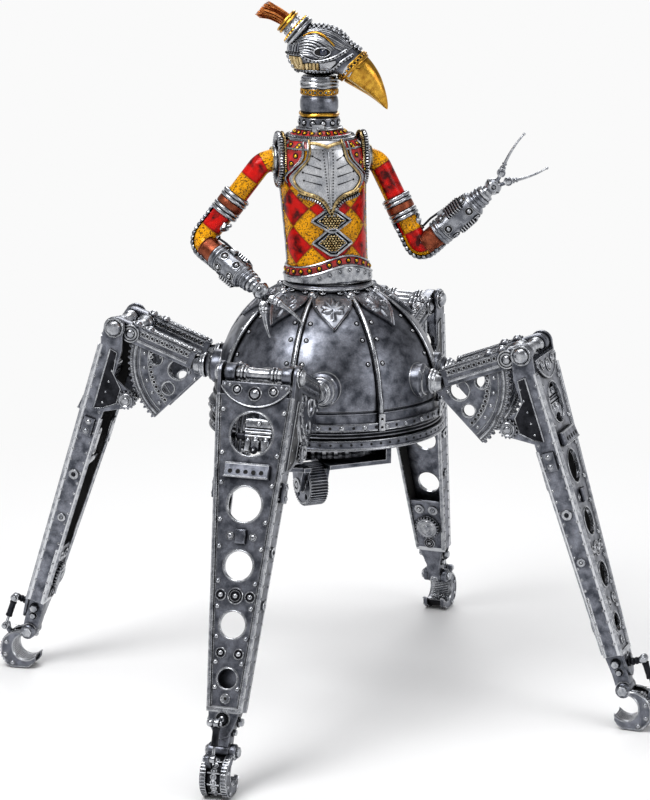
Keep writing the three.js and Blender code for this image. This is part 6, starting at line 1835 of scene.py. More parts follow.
def build_clamp(name, outer, elbow):
    """The ringed sleeve with a copper band above the elbow."""
    clamp = Work()
    axis = (elbow - outer).normalized()
    seat = facing(outer.lerp(elbow, 0.52) - axis * 8.5, axis)
    ring = [(7.8, 0), (8.8, 0), (8.8, 17.0), (7.8, 17.0)]
    clamp.add(lathe(soft(ring, 0.35) + [ring[0]], 48), "dark", seat)
    for height in (1.7, 4.6, 12.4, 15.3):
        clamp.add(torus(8.7, 1.5, 48, 10), "steel", seat @ shift(0, 0, height))
    clamp.add(turned([(8.6, 6.0), (9.5, 6.3), (9.5, 10.7), (8.6, 11.0)], 0.3, 48), "copper", seat)
    make(f"elbow_clamp_{name}", clamp, f"arm_{name}", [f"elbow_clamp_{name}"], "steel", TRUNK)


def build_gauntlet(name, cuff, wrist, forearm):
    """The forearm's sleeve with its bolts, ribbed boxes and rod."""
    glove = Work()
    start = cuff + forearm * 0.3
    length = (wrist - start).length
    roll = Vector((0, 0, 1)) - forearm * forearm.z
    seat = framed(start, forearm, roll.normalized())
    profile = [(0, 0), (9.0, 0), (9.6, 0.6), (9.6, 1.6), (9.0, 2.1), (9.0, 2.6), (9.6, 3.1), (9.6, 4.4),
               (8.9, 4.9), (8.9, length - 8.4), (8.2, length - 7.4), (6.9, length - 6.8), (6.6, length - 5.8),
               (7.2, length - 5.0), (7.2, length - 4.0), (6.4, length - 3.4), (6.4, length - 2.8),
               (7.0, length - 2.2), (7.0, length - 0.8), (6.0, length), (0, length)]
    glove.add(turned(profile, 0.3, 56), "worked", seat)
    for height in (5.6, length - 9.2):
        glove.add(torus(8.95, 0.5, 48, 6), "steel", seat @ shift(0, 0, height))

    def around(angle, height, radius=8.85):
        x, y = polar(radius, angle)
        return seat @ facing((x, y, height), (x, y, 0))

    # each bolt sits on a black washer of painted shade
    for angle in range(0, 360, 60):
        for height in (9.4, length - 12.8):
            spot = around(angle + 12, height)
            glove.bolt(spot, (2.7, 1.4, 0.5, 20), (1.7, 1.5, 16), seat="void")
            glove.add(torus(2.8, 0.3, 22, 6), "steel", spot @ shift(0, 0, 0.3))
    for angle in range(0, 360, 24):
        glove.add(dome(0.75, 0.6, 8, 3), "steel", around(angle, 6.9))
    # black ribbed panel and its box
    for way, deep in ((-1, 3.8), (1, 3.0)):
        roll = 0 if way < 0 else 40 if name == "left" else -40
        panel = seat @ turn(roll) @ shift(0, way * 8.7, length * 0.5)
        glove.add(box(9.5, deep - 0.6, 13, 0.6), "dark", panel)
        for k in range(6):
            glove.add(box(9.9, deep, 0.9, 0.25), "gunmetal", panel @ shift(0, way * 0.3, -5 + 2 * k))
    # thin dark rod from the elbow bolt to a bracket on the cuff
    glove.add(box(4, 3.4, 5, 0.6), "steel", seat @ shift(0, 9.6, 11))
    rod = [seat @ Vector(p) for p in ((0, 10.6, 11), (0, 11.4, 3), (0, 10.8, -4))]
    glove.add(tube(rod, 0.8, 8), "dark")
    glove.add(hexagon(1.8, 1.6), "steel", seat @ shift(0, 10.9, -4.6) @ UNDER)
    make(f"gauntlet_{name}", glove, f"arm_{name}", [f"gauntlet_{name}"], "gunmetal", TRUNK)


def build_hand(name, arm, wrist, forearm):
    """The ball of the palm with a knuckle for each finger."""
    centre = wrist + forearm * PALM_REACH
    shoulder = arm_places(arm)[0]
    tips = [shoulder + Vector(t) for t in arm["tips"]]
    rays = [(t - centre).normalized() for t in tips]
    pin = rays[0].cross(rays[1]).normalized()
    roots = [centre + ray * KNUCKLE_REACH for ray in rays]
    hand = Work()
    seat = facing(wrist + forearm * 0.3, forearm)
    socket = [(0, 0), (6.2, 0), (6.2, 2.2), (4.6, 2.8), (4.2, 3.4), (4.2, 6), (0, 6)]
    hand.add(turned(socket, 0.35, 36), "steel", seat)
    hand.add(bead(5.8, 32), "steel", Matrix.Translation(centre))
    hand.add(torus(5.75, 0.4, 36, 6), "dark", facing(centre, forearm))
    # washers on the pin, with black discs of painted shade for their holes
    for way in (-1, 1):
        spot = facing(centre + pin * way * 5.2, pin * way)
        hand.add(washer(3.3, 1.5, 1.0, 22), "steel", spot)
        hand.add(lathe([(1.5, 0.9), (1.4, 0.3), (0, 0.3)], 12), "void", spot)
    ear = turned([(0, -4.8), (2.6, -4.8), (2.6, -2.3), (0, -2.3)], 0.3, 22)
    stub = turned([(0, -5.6), (1.5, -5.5), (1.5, -4.8), (1.1, -4.6), (1.1, 2.3), (1.7, 2.4), (1.5, 3.2),
                   (0, 3.4)], 0.2, 14)
    for root in roots:
        knuckle = facing(root, pin)
        hand.add(ear, "gunmetal", knuckle).add(stub, "steel", knuckle)
        hand.add(tube([centre - pin * 3.2, root - pin * 3.55], 1.3, 10), "gunmetal")
    make(f"palm_{name}", hand, f"palm_{name}", [f"palm_{name}"], "steel", TRUNK)

    for index, (root, tip) in enumerate(zip(roots, tips)):
        build_finger(name, arm, index, root, tip, pin)


def build_finger(name, arm, index, root, tip, pin):
    """A finger bent toward the other one, with rings, a ball on a thin tip and a set screw."""
    finger = Work()
    radius = arm["radii"][index]
    knuckle = facing(root, pin)
    drum = soft([(1.3, -2.0), (2.9, -2.0), (2.9, 2.0), (1.3, 2.0)], 0.35)
    finger.add(lathe(drum, 24, closed=True), "steel", knuckle)
    inward = 1 if index == 0 else -1
    chord = tip - root
    places, here = [root.copy()], root.copy()
    for i in range(FINGER_STEPS):
        angle = inward * mix(-FINGER_BEND, FINGER_BEND, (i + 0.5) / FINGER_STEPS)
        here = here + (Matrix.Rotation(radians(angle), 3, pin) @ chord) / FINGER_STEPS
        places.append(here.copy())
    slip = tip - places[-1]
    places = [p + slip * (i / FINGER_STEPS) for i, p in enumerate(places)]
    start, last = min(radius, FINGER_ROOT), FINGER_STEPS - 1
    if radius > 2:
        # a thick finger swells near its root
        sizes = [mix(start, arm["tip"], (i / last) ** 1.3) * (1.0 + 0.35 * exp(-((i - 4) / 3) ** 2))
                 for i in range(FINGER_STEPS)]
    else:
        sizes = spread(start, arm["tip"], last)
    finger.add(tube(places[1:], sizes, 14), "steel")
    for k, size in ((2, 1.0), (3, 0.8), (5, 0.6)):
        along = (places[k + 1] - places[k]).normalized()
        inner, outer = sizes[k] - 0.3, sizes[k] + size
        ring = turned([(inner, -0.8), (outer, -0.8), (outer, 0.8), (inner, 0.8)], 0.25, 18, closed=True)
        finger.add(ring, "gunmetal", facing(places[k], along))
    if radius <= 2:
        finger.add(bead(arm["tip"] + 0.45, 12), "steel", shift(*places[-1]))
    set_screw = facing(root + chord.normalized() * 3.4, pin)
    finger.add(turned([(1.0, 0.6), (1.0, 2.8), (0, 2.9)], 0.2, 10), "dark", set_screw)
    title = f"finger_{'ab'[index]}_{name}"
    make(title, finger, title, [title], "steel", TRUNK)


def build_arms():
    for name, arm in ARMS.items():
        build_arm(name, arm)


# Head, about its own centre with the front toward -Y

HEAD_HEIGHT = 447.0
HEAD = TRUNK @ shift(NECK_X, NECK_Y, HEAD_HEIGHT) @ turn(HEAD_YAW - TRUNK_YAW)
BEAK_ROOT = Vector((0, -24.2, -11.2))
CREST_ROOT = Vector((0, 13.5, 12.4))
CREST_PITCH = radians(40)
CREST_AXIS = Vector((0, cos(CREST_PITCH), sin(CREST_PITCH)))
SEAT, MOUTH_PITCH = -15.6, 45


def ahead(pitch):
    """The direction that points forward and down by a pitch."""
    return Vector((0, -cos(radians(pitch)), -sin(radians(pitch))))


def head_core():
    """The skull and the snout, cut off flat where the neck begins."""
    skull = grid(48, 28, lambda u, v: (14.5 * sin(pi * v) * cos(2 * pi * u),
                                       -21 * cos(pi * v),
                                       17 * sin(pi * v) * sin(2 * pi * u)), closed=True)
    snout = tube([Vector((0, -3.6, 0)), BEAK_ROOT - ahead(MOUTH_PITCH) * 0.2], [14.5, 12.1], 48)
    return [warped(shape, lambda c: (c.x, c.y, max(c.z, SEAT))) for shape in (skull, snout)]


class Skin:
    """Reads the outermost surface of the head's core."""

    def __init__(self, shapes):
        corners, faces = [], []
        for shape in shapes:
            base = len(corners)
            corners += shape[0]
            faces += [tuple(base + i for i in face) for face in shape[1]]
        self.tree = BVHTree.FromPolygons(corners, faces)

    def cast(self, start, out, lift):
        """The surface met from outside along a ray toward start, and the direction away from it."""
        place, normal, _, _ = self.tree.ray_cast(start + out * 80, -out)
        if place is None:
            return start + out * 12, out
        away = ((normal if normal.dot(out) > 0 else -normal) + out).normalized()
        return place + away * lift, away

    def point(self, t, around, lift=0.0):
        """t runs from the beak to the nape; around is 0 on top and 180 below, negative on the right."""
        spine = Vector((0, mix(-21, 12, t), mix(-9, 1, min(t * 1.6, 1))))
        tilt = radians(mix(-42, 62, t))
        a = radians(around)
        up = Vector((0, sin(tilt), cos(tilt)))
        return self.cast(spine, (up * cos(a) + Vector((sin(a), 0, 0))).normalized(), lift)

    def flank(self, side, y, z, lift=0.0):
        """A place on the side of the head, seen straight from the side."""
        return self.cast(Vector((0, y, z)), Vector((side, 0, 0)), lift)

    def nape(self, azimuth, z, lift=0.0):
        """A place on the back of the head, by its angle from straight back."""
        a = radians(azimuth)
        return self.cast(Vector((0, 2, z)), Vector((sin(a), cos(a), 0)), lift)


def pearl_band(work, run, size):
    """A flat steel strip between two wires, with dark pearls along it."""
    work.add(tube(run, size, 8, squash=0.6), "steel")
    for place, _ in spaced(run, size * 1.9):
        away = (place - Vector((0, -3, 0))).normalized()
        work.add(bead(size * 0.55, 8), "void", shift(*(place + away * size * 0.75)))


# Places (y, z) on the side of the head: two bands, and the strands between the crown and the eye
UPPER_BAND = ((11.2, -0.9), (6.2, -3.8), (1.2, -5.1), (-5.4, -4.3), (-12.9, -1.7), (-19.5, 2.1))
LOWER_BAND = ((12.9, -11.7), (1.2, -12.0), (-7.5, -11.5), (-12.6, -8.9), (-16.4, -5.2), (-23.6, -0.6))
STRANDS = (((10, 10), (3, 13.4), (-9, 5.8)), ((10.8, 8.4), (3, 11.6), (-7, 4.9)),
           ((11.2, 6.6), (3.4, 9.4), (-4, 4.3)), ((11.4, 4.8), (4, 7.2), (-1, 3.6)),
           ((11.6, 3.0), (5, 5.0), (0.8, 2.2)), ((11.4, 1.4), (5.5, 2.8), (1.4, 0.6)),
           ((10.6, 0.2), (5, 0.8), (1.4, -1.4)), ((9.4, -1.2), (4, -0.8), (-1, -2.9)))


def crown_strands(head, skin, side):
    """Feather strands swept over the crown, then the fan that runs down to the eye."""
    for k in range(8):
        path = []
        for i in range(26):
            t = mix(0.12 + 0.004 * k, 0.99, i / 25)
            swing = 12 + 5.4 * k + 6 * sin(pi * t)
            path.append(skin.point(t, side * swing, 0.25)[0])
        head.add(tube(path, [0.9 * (0.55 + 0.45 * sin(pi * min(1, i / 25 + 0.12))) for i in range(26)], 7),
                 "steel" if k % 3 else "gunmetal")
    for start, middle, end in STRANDS:
        path = []
        for i in range(19):
            y, z = [bent(start[n], middle[n], end[n], i / 18) for n in (0, 1)]
            path.append(skin.flank(side, y, z, 0.35)[0])
        head.add(tube(path, [1.0 - 0.02 * i for i in range(19)], 8), "steel")


def eye(head, skin, side):
    """A long slot between two lids, filled with a black disc of painted shade, blue-black glass and two
    brows.
    """
    lids = []
    for i in range(28):
        a = 2 * pi * i / 28
        lids.append(skin.flank(side, -3.8 - 5.6 * cos(a), 0.9 + 2.9 * sin(a), 0.6)[0])
    head.add(([skin.flank(side, -3.8, 0.9, 0.75)[0]] + lids,
              [(0, i + 1, (i + 1) % 28 + 1) for i in range(28)], None), "void")
    head.add(tube(lids, 0.5, 8, closed=True), "gunmetal")
    place, out = skin.flank(side, -4.8, 0.9, 0.3)
    seat = facing(place, out)
    head.add(dome(2.5, 1.7, 24, 6), "eye", seat).add(torus(2.6, 0.3, 24, 6), "dark", seat)
    for drop, lift, size, finish in ((0.0, 1.3, 1.0, "gold"), (1.9, 0.7, 0.75, "steel")):
        brow = []
        for i in range(23):
            y, z = bent(9.4, -1.0, -11.6, i / 22), bent(10.4, 17.6, 4.6, i / 22) - drop
            brow.append(skin.flank(side, y, z, lift)[0])
        head.add(tube(brow, [size * (0.5 + 0.5 * sin(pi * i / 22)) for i in range(23)], 10), finish)


def cheek_work(head, skin, side):
    """Two beaded bands with ivory and gold plates and one polished plate between them."""
    for band, size, lift in ((UPPER_BAND, 1.3, 0.7), (LOWER_BAND, 1.25, 0.7)):
        table = sorted(band)
        run = []
        for i in range(41):
            y = mix(table[0][0], table[-1][0], i / 40)
            run.append(skin.flank(side, y, curve_value(table, y), lift)[0])
        pearl_band(head, run, size)
    for k in range(6):
        y0 = 12.4 - 2.35 * k

        def tile(s, t, lift, y0=y0, side=side):
            return skin.flank(side, mix(y0, y0 - 2.1, (s + 1) / 2), mix(-10.9, -5.6 - 0.2 * abs(y0 - 1), t),
                              lift)[0]

        head.add(raised(4, 6, tile, pillow), ("ivory", "pale_gold")[k % 2])

    def cheek(s, t, lift, side=side):
        y = mix(-2.2, -12.8, (s + 1) / 2)
        return skin.flank(side, y, mix(-10.9 + 1.0 * max(0, -y - 8), -6.4 + 0.22 * max(0, -y - 4), t),
                          lift)[0]

    head.add(raised(10, 8, cheek, level(1.0)), "bright")


def crown_knobs(head, skin, side):
    """Rows of steel knobs from the crest down to the beak."""
    for around, count in ((7, 15), (17, 13)):
        for i in range(count):
            place, out = skin.point(mix(0.05, 0.68, i / (count - 1)), side * around, 0.2)
            knob = [(1.2, -0.6), (0.9, 0.4), (1.35, 0.9), (1.2, 1.7), (0, 2.1)]
            head.add(turned(knob, 0.25, 10), "steel", facing(place, out))


def nape_work(head, skin):
    """The bands, plates and strands that run round the back of the head, with knobs at the nape."""
    for z, size in ((-0.9, 1.3), (-11.7, 1.25)):
        pearl_band(head, [skin.nape(a, z, 0.7)[0] for a in range(-56, 57, 4)], size)
    for k in range(13):
        centre = mix(-52, 52, k / 12)

        def back_tile(s, t, lift, centre=centre):
            return skin.nape(centre + 3.8 * s, mix(-11.2, -2.6, t), lift)[0]

        head.add(raised(4, 6, back_tile, pillow), ("ivory", "pale_gold")[k % 2])
        strand = [skin.nape(centre * 0.9, mix(0.6, 6.0, i / 8), 0.3)[0] for i in range(9)]
        head.add(tube(strand, 0.9, 7), "steel" if k % 3 else "gunmetal")
    for azimuth in (-14, 14):
        for z in (-3.2, -6.3, -9.4, -12.4):
            place, out = skin.nape(azimuth, z, 0.9)
            head.bolt(facing(place, out), (1.9, 1.0, 0.5, 16), (1.4, 1.4, 12), seat="gunmetal")


# The beak: its radius by share of its length, and its pitch at the root and at the tip
BEAK_SHARES = [(0, 1.0), (0.14, 1.0), (0.3, 0.9), (0.48, 0.74), (0.66, 0.52), (0.84, 0.3), (0.95, 0.15),
               (1, 0.06)]
BEAK_R, BEAK_LENGTH, BEAK_PITCH, BEAK_TIP_PITCH, BEAK_STEPS = 11, 35.2, 36, 64, 40


def beak_flange(head):
    """The ring and beaded flange at the beak."""
    mouth = facing(BEAK_ROOT, ahead(MOUTH_PITCH))
    flange = [(10.2, 0), (12.3, 0), (12.6, -0.8), (12.6, -2.0), (12.0, -2.6), (12.0, -3.2), (12.6, -3.8),
              (12.6, -5.0), (11.4, -5.4)]
    head.add(turned(flange, 0.35, 56), "gold", mouth)
    # black beads in the gaps between the gilt beads are painted shade
    for gilt, gap in zip(circle(12.35, 26, -2.9), circle(12.6, 26, -2.9, 0.5)):
        head.add(bead(1.0, 8), "gold", mouth @ gilt).add(bead(0.6, 8), "void", mouth @ gap)


def build_head():
    """The head, then the beak, the crest and the plume."""
    core = head_core()
    skin, head = Skin(core), Work()
    for shape in core:
        head.add(shape, "gunmetal")
    for side in (-1, 1):
        for part in (crown_strands, eye, cheek_work, crown_knobs):
            part(head, skin, side)
    nape_work(head, skin)
    beak_flange(head)
    make("head_shell", head, "head", ["head_shell"], "gunmetal", HEAD, 60)
    build_beak()
    build_crest()


def build_beak():
    """The hooked beak, drawn along its own curve."""
    beak = Work()
    here, spine = BEAK_ROOT - ahead(34) * 1.2, []
    for t in spread(0, 1, BEAK_STEPS):
        along = ahead(mix(BEAK_PITCH, BEAK_TIP_PITCH, t))
        spine.append((here.copy(), along, t))
        here += along * BEAK_LENGTH / BEAK_STEPS

    def skin(u, v):
        place, along, t = spine[int(round(v * BEAK_STEPS))]
        down = Vector((1, 0, 0)).cross(along).normalized()
        radius = BEAK_R * curve_value(BEAK_SHARES, t * 0.92 + 0.08)
        a = 2 * pi * u
        ridge = 1.0 + 0.05 * max(0, cos(a)) ** 6
        lip = 1.0 + 0.035 * exp(-((abs(a - pi) - 0.75) / 0.12) ** 2)
        return place - down * radius * cos(a) * ridge * lip + Vector((0.72 * radius * sin(a) * lip, 0, 0))

    beak.add(grid(56, BEAK_STEPS, skin, closed=True), "gold")
    beak.add(bead(0.62, 10), "gold", shift(*spine[-1][0]))
    for side in (-1, 1):
        line = []
        for place, along, t in spine[2:BEAK_STEPS - 2]:
            down = Vector((1, 0, 0)).cross(along).normalized()
            radius = BEAK_R * curve_value(BEAK_SHARES, t * 0.92 + 0.08)
            a = pi - 0.9 * (1 - 0.25 * t)
            line.append(place - down * radius * cos(a) * 1.01
                        + Vector((side * 0.735 * radius * sin(a), 0, 0)))
        beak.add(tube(line, [0.55 * (1 - 0.6 * i / len(line)) for i in range(len(line))], 7), "ivory")
        nostril = spine[6][0] + Vector((side * 7.2, 0, 4.5))
        # each nostril is a gold ring round a black disc of painted shade
        beak.add(torus(1.5, 0.4, 18, 6, 1.0), "gold", facing(nostril, Vector((side, -0.2, 0.45))))
        beak.add(lathe([(1.3, 0.1), (0, 0.1)], 12), "void", facing(nostril, Vector((side, -0.2, 0.45))))
    make("beak", beak, "head", ["beak"], "gold", HEAD)


def build_crest():
    """The stepped socket of the plume."""
    crest = Work()
    seat = facing(CREST_ROOT, CREST_AXIS)
    flange = [(9.0, -2.4), (11.6, -1.2), (12.0, -0.4), (12.0, 0.8), (10.9, 1.3), (10.9, 2.0), (12.0, 2.5),
              (11.8, 3.4), (9.0, 3.8)]
    crest.add(turned(flange, 0.3, 56), "steel", seat)
    # a black band of painted shade lies in the flange's groove
    crest.add(lathe([(10.95, 1.35), (11.0, 1.65), (10.9, 1.95)], 48), "void", seat)
    cone = [(9.4, 3.6), (8.6, 4.2), (7.4, 6.6), (6.9, 8.8), (7.4, 9.2), (8.0, 9.4), (8.0, 12.2), (7.6, 12.5),
            (5.3, 12.5), (5.2, 8.6), (0, 8.5)]
    crest.add(turned(cone, 0.3, 48), "steel", seat)
    for height in (9.8, 11.9):
        crest.add(torus(8.1, 0.95, 48, 8), "gold", seat @ shift(0, 0, height))
    crest.many(bead(1.15, 8), "gold", [seat @ spot for spot in circle(10.4, 24, 3.6)])
    crest.add(torus(9.2, 0.6, 48, 6), "gold", seat @ shift(0, 0, 4.4))
    for k in range(16):
        x, y = polar(7.3, 22.5 * k)
        crest.add(dome(0.7, 0.6, 8, 3), "steel", seat @ facing((x, y, 6.9), (x, y, 1.2)))
    make("crest_socket", crest, "head", ["crest_socket"], "steel", HEAD)
    build_plume()


def build_plume():
    """Separate wires in rings, each with its own length, flare and wave."""
    sizes, plume = bpy.context.scene.walker, Work()
    basis = Matrix((Vector((0, sin(CREST_PITCH), -cos(CREST_PITCH))), Vector((1, 0, 0)), CREST_AXIS))
    seat = Matrix.Translation(CREST_ROOT + CREST_AXIS * 8.8) @ basis.transposed().to_4x4()
    plume.add(lathe([(0, 0), (4.9, 0), (4.9, 2.8), (0, 3.0)], 24), "bristle_dark", seat)
    draw = random.Random(7)
    rings = sizes.plume_rings
    for ring in range(1, rings + 1):
        for k in range(int(6.2 * ring)):
            angle = 2 * pi * (k + draw.random() * 0.8) / int(6.2 * ring)
            radius = 4.5 * (ring - draw.random() * 0.5) / rings
            x, y = radius * cos(angle), radius * sin(angle)
            reach = sizes.plume_length * (0.84 + 0.18 * draw.random())
            flare, wave = 0.24 + 0.26 * draw.random(), draw.uniform(-1, 1) * 0.5
            path = []
            for t in spread(0, 1, 7):
                wide = 1 + flare * t * t
                bend = radians(20) * t
                along = 2.2 + (reach - 2.2) * t
                swing = wave * sin(5 * t + ring)
                path.append(Vector((x * wide + along * sin(bend) * 0.68 + swing, y * wide + swing * 0.6,
                                    along * (1 - 0.03 * t))))
            radii = [sizes.bristle * share for share in (1, 1, 0.97, 0.93, 0.9, 0.83, 0.73, 0.47)]
            finish = "bristle" if draw.random() < 0.6 else "bristle_dark"
            plume.add(tube(path, radii, 5), finish, seat)
    make("plume", plume, "head", ["plume"], "bristle", HEAD)


# Stage

def build_stage():
    scene = bpy.context.scene
    scene.view_settings.view_transform = "Standard"
    build_floor(scene)
    build_world(scene)
    build_lamps(scene)
    build_camera(scene)


def build_floor(scene):
    """Matt white paper near the object, seen as plain white further off."""
    floor = bpy.data.meshes.new("floor")
    floor.from_pydata([(x * 40, y * 40, -0.0004) for x, y in ((-1, -1), (1, -1), (1, 1), (-1, 1))], [],
                      [(0, 1, 2, 3)])
    ground = bpy.data.objects.new("floor", floor)
    scene.collection.objects.link(ground)
    n = Nodes("white paper floor")
    n.shader.inputs["Base Color"].default_value = scene.walker_colours.floor
    n.shader.inputs["Roughness"].default_value = 0.8
    rays = n.add("LightPath").outputs
    seen = n.math("ADD", n.math("ADD", rays["Is Camera Ray"], rays["Is Glossy Ray"]),
                  rays["Is Transmission Ray"])
    reach = n.add("VectorMath", {0: n.add("TexCoord").outputs["Object"]}, operation="LENGTH").outputs["Value"]
    far = n.ramp(n.math("MULTIPLY", reach, 0.8), [(0.22, 0.0), (0.62, 1.0)])
    white = n.add("Emission", {}, in_Color=linear("#FAFAFA"))
    both = n.add("MixShader", {"Fac": n.math("MULTIPLY", n.math("MINIMUM", seen, 1.0), far),
                               1: n.shader.outputs[0], 2: white.outputs[0]})
    n.tree.links.new(both.outputs[0], n.tree.nodes["Material Output"].inputs["Surface"])
    floor.materials.append(n.material)


def build_world(scene):
    """A white backdrop round the horizon and a darker room above it."""
    world = scene.world or bpy.data.worlds.new("studio")
    scene.world = world
    world.use_nodes = True
    tree = world.node_tree
    tree.nodes.clear()
    out, shade, place, parts, ramp = [tree.nodes.new("ShaderNode" + kind) for kind in
                                      ("OutputWorld", "Background", "TexCoord", "SeparateXYZ", "ValToRGB")]
    tree.links.new(place.outputs["Generated"], parts.inputs[0])
    tree.links.new(parts.outputs[2], ramp.inputs[0])
    tree.links.new(ramp.outputs[0], shade.inputs[0])
    tree.links.new(shade.outputs[0], out.inputs[0])
    stops = ramp.color_ramp.elements
    stops.new(0.3)
    for stop, (height, level) in zip(stops, ((0.1, 0.95), (0.34, 0.22), (1.0, 0.5))):
        stop.position, stop.color = height, (level, level, level * 1.02, 1)


def build_lamps(scene):
    """Round area lamps that look at the middle of the figure."""
    for name, azimuth, elevation, distance, size, power in (
            ("key", -68, 50, 1.5, 0.7, scene.walker.key_power), ("fill", 30, 25, 1.7, 0.8, 5),
            ("top", 10, 84, 1.6, 0.9, 7), ("rim", 150, 35, 1.6, 0.8, 8)):
        a, e = radians(azimuth), radians(elevation)
        spot = Vector((sin(a) * cos(e), -cos(a) * cos(e), sin(e))) * distance
        lamp = bpy.data.lights.new(name, "AREA")
        lamp.shape, lamp.size, lamp.energy = "DISK", size, power
        holder = bpy.data.objects.new(name, lamp)
        scene.collection.objects.link(holder)
        holder.location = spot + Vector((0, 0, 0.24))
        holder.rotation_euler = (-spot).to_track_quat("-Z", "Y").to_euler()


# Place of the photo camera: azimuth and elevation in degrees, distance in metres, aim in millimetres
CAMERA_AZIMUTH, CAMERA_ELEVATION, CAMERA_DISTANCE, AIM_HEIGHT, AIM_RIGHT = -26.8, 12.9, 2.057, 208.1, -1.4


def build_camera(scene):
    """The camera that sees the figure as the photo does."""
    camera = bpy.data.cameras.new("photo camera")
    camera.sensor_fit, camera.sensor_height, camera.lens = "VERTICAL", 24, 90
    camera.clip_start, camera.clip_end = 0.1, 100
    holder = bpy.data.objects.new("photo camera", camera)
    scene.collection.objects.link(holder)
    a, e = radians(CAMERA_AZIMUTH), radians(CAMERA_ELEVATION)
    right = Vector((cos(a), sin(a), 0))
    back_way = Vector((sin(a) * cos(e), -cos(a) * cos(e), sin(e)))
    aim = Vector((0, SETBACK, AIM_HEIGHT)) * MM + right * (AIM_RIGHT * MM)
    up = back_way.cross(right)
    basis = Matrix((right, up, back_way)).transposed().to_4x4()
    place = Matrix.Translation(aim + back_way * CAMERA_DISTANCE)
    holder.matrix_world = place @ basis @ turn(scene.walker.camera_roll)
    scene.camera = holder


# Add-on

def length(name, about, default):
    return bpy.props.FloatProperty(name=name, description=about + ", in millimetres", default=default,
                                   min=0.1)


def number(name, about, default):
    return bpy.props.IntProperty(name=name, description=about, default=default, min=3)


def tint(name, about, default):
    return bpy.props.FloatVectorProperty(name=name, description=about, subtype="COLOR", size=4, min=0, max=1,
                                         default=linear(default))


class WalkerSizes(bpy.types.PropertyGroup):
    strap_rivet: length("Strap rivet", "Radius of the rivets beside the straps of the dome", 1.3)
    rim_stud: length("Rim stud", "Radius of the studs of the band under the dome", 1.75)
    rim_studs: number("Rim studs", "Number of studs and holes round the band", 64)
    drum_ribs: number("Drum ribs", "Number of ribs on the wheel under the dome", 44)
    plume_length: length("Plume length", "Length of the longest bristle", 22.0)
    plume_rings: number("Plume rings", "Number of rings of bristles", 9)
    bristle: length("Bristle", "Radius of a bristle at its root", 0.3)
    camera_roll: bpy.props.FloatProperty(name="Camera roll",
                                         description="Roll of the photo camera, in degrees",
                                         default=0.54)
    key_power: bpy.props.FloatProperty(name="Key lamp", description="Power of the key lamp", unit="POWER",
                                       default=15)


class WalkerColours(bpy.types.PropertyGroup):
    gunmetal: tint("Gunmetal", "Dome and leg frames where the metal is open", "#8A8D97")
    steel: tint("Steel", "Rails, rings, rivets and trim", "#C4C6CA")
    worked: tint("Relief steel", "Silvered plates worked in relief", "#A6A9B0")
    gold: tint("Gold", "Beak, rings and beads of gilded brass", "#E4B044")
    brass: tint("Brass", "Studs of the belt and the panels", "#E2B02E")
    copper: tint("Copper", "Bands of the arms", "#A2583E")
    red: tint("Red", "Red enamel of the trunk, arms and belt", "#C40C05")
    yellow: tint("Yellow", "Yellow enamel of the trunk and arms", "#F0A400")
    ivory: tint("Ivory", "Plates of the cheek and nape", "#DCC694")
    bristle: tint("Bristle", "Copper wires of the plume", "#E09355")
    floor: tint("Floor", "Paper under the machine", "#F4F4F4")


class Builder:
    """What every operator of the panel does: it runs the build function of its group."""

    def execute(self, context):
        self.build()
        return {"FINISHED"}


class WALKER_OT_dome(Builder, bpy.types.Operator):
    """Builds the dome, its bands, straps and leaf collar"""
    bl_idname = "walker.dome"
    bl_label = "Dome"
    build = staticmethod(build_dome)


class WALKER_OT_drive(Builder, bpy.types.Operator):
    """Builds the base plate, gears, case and ribbed wheel"""
    bl_idname = "walker.drive"
    bl_label = "Drive"
    build = staticmethod(build_drive)


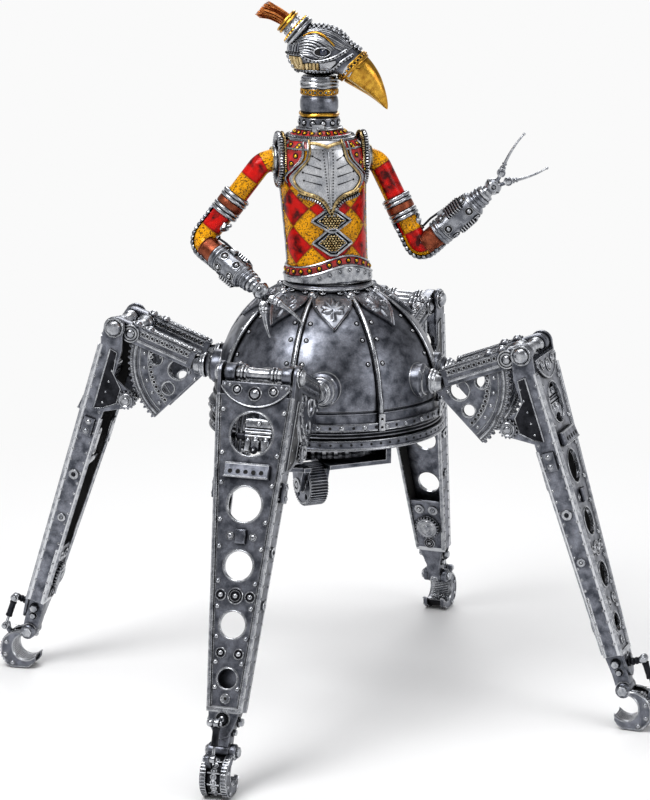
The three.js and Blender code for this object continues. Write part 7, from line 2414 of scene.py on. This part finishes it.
class WALKER_OT_legs(Builder, bpy.types.Operator):
    """Builds the four legs"""
    bl_idname = "walker.legs"
    bl_label = "Legs"
    build = staticmethod(build_legs)


class WALKER_OT_trunk(Builder, bpy.types.Operator):
    """Builds the enamelled trunk, its plates, neck and shoulder rings"""
    bl_idname = "walker.trunk"
    bl_label = "Trunk"
    build = staticmethod(build_trunk)


class WALKER_OT_arms(Builder, bpy.types.Operator):
    """Builds the two arms with their hands"""
    bl_idname = "walker.arms"
    bl_label = "Arms"
    build = staticmethod(build_arms)


class WALKER_OT_head(Builder, bpy.types.Operator):
    """Builds the head, beak, crest and plume"""
    bl_idname = "walker.head"
    bl_label = "Head"
    build = staticmethod(build_head)


class WALKER_OT_stage(Builder, bpy.types.Operator):
    """Builds the floor, lights and photo camera"""
    bl_idname = "walker.stage"
    bl_label = "Stage"
    build = staticmethod(build_stage)


OPERATORS = (WALKER_OT_dome, WALKER_OT_drive, WALKER_OT_legs, WALKER_OT_trunk, WALKER_OT_arms, WALKER_OT_head,
             WALKER_OT_stage)


class WALKER_PT_panel(bpy.types.Panel):
    bl_label = "Walker"
    bl_idname = "WALKER_PT_panel"
    bl_space_type = "VIEW_3D"
    bl_region_type = "UI"
    bl_category = "Walker"

    def draw(self, context):
        for operator in OPERATORS:
            self.layout.operator(operator.bl_idname)
        for group in (context.scene.walker, context.scene.walker_colours):
            for name in type(group).__annotations__:
                self.layout.prop(group, name)


CLASSES = (WalkerSizes, WalkerColours, *OPERATORS, WALKER_PT_panel)


def register():
    for kind in CLASSES:
        bpy.utils.register_class(kind)
    bpy.types.Scene.walker = bpy.props.PointerProperty(type=WalkerSizes)
    bpy.types.Scene.walker_colours = bpy.props.PointerProperty(type=WalkerColours)


def unregister():
    del bpy.types.Scene.walker_colours
    del bpy.types.Scene.walker
    for kind in reversed(CLASSES):
        bpy.utils.unregister_class(kind)


def main():
    register()
    for operator in OPERATORS:
        family, action = operator.bl_idname.split(".")
        getattr(getattr(bpy.ops, family), action)()
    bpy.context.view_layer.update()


if __name__ == "__main__":
    main()
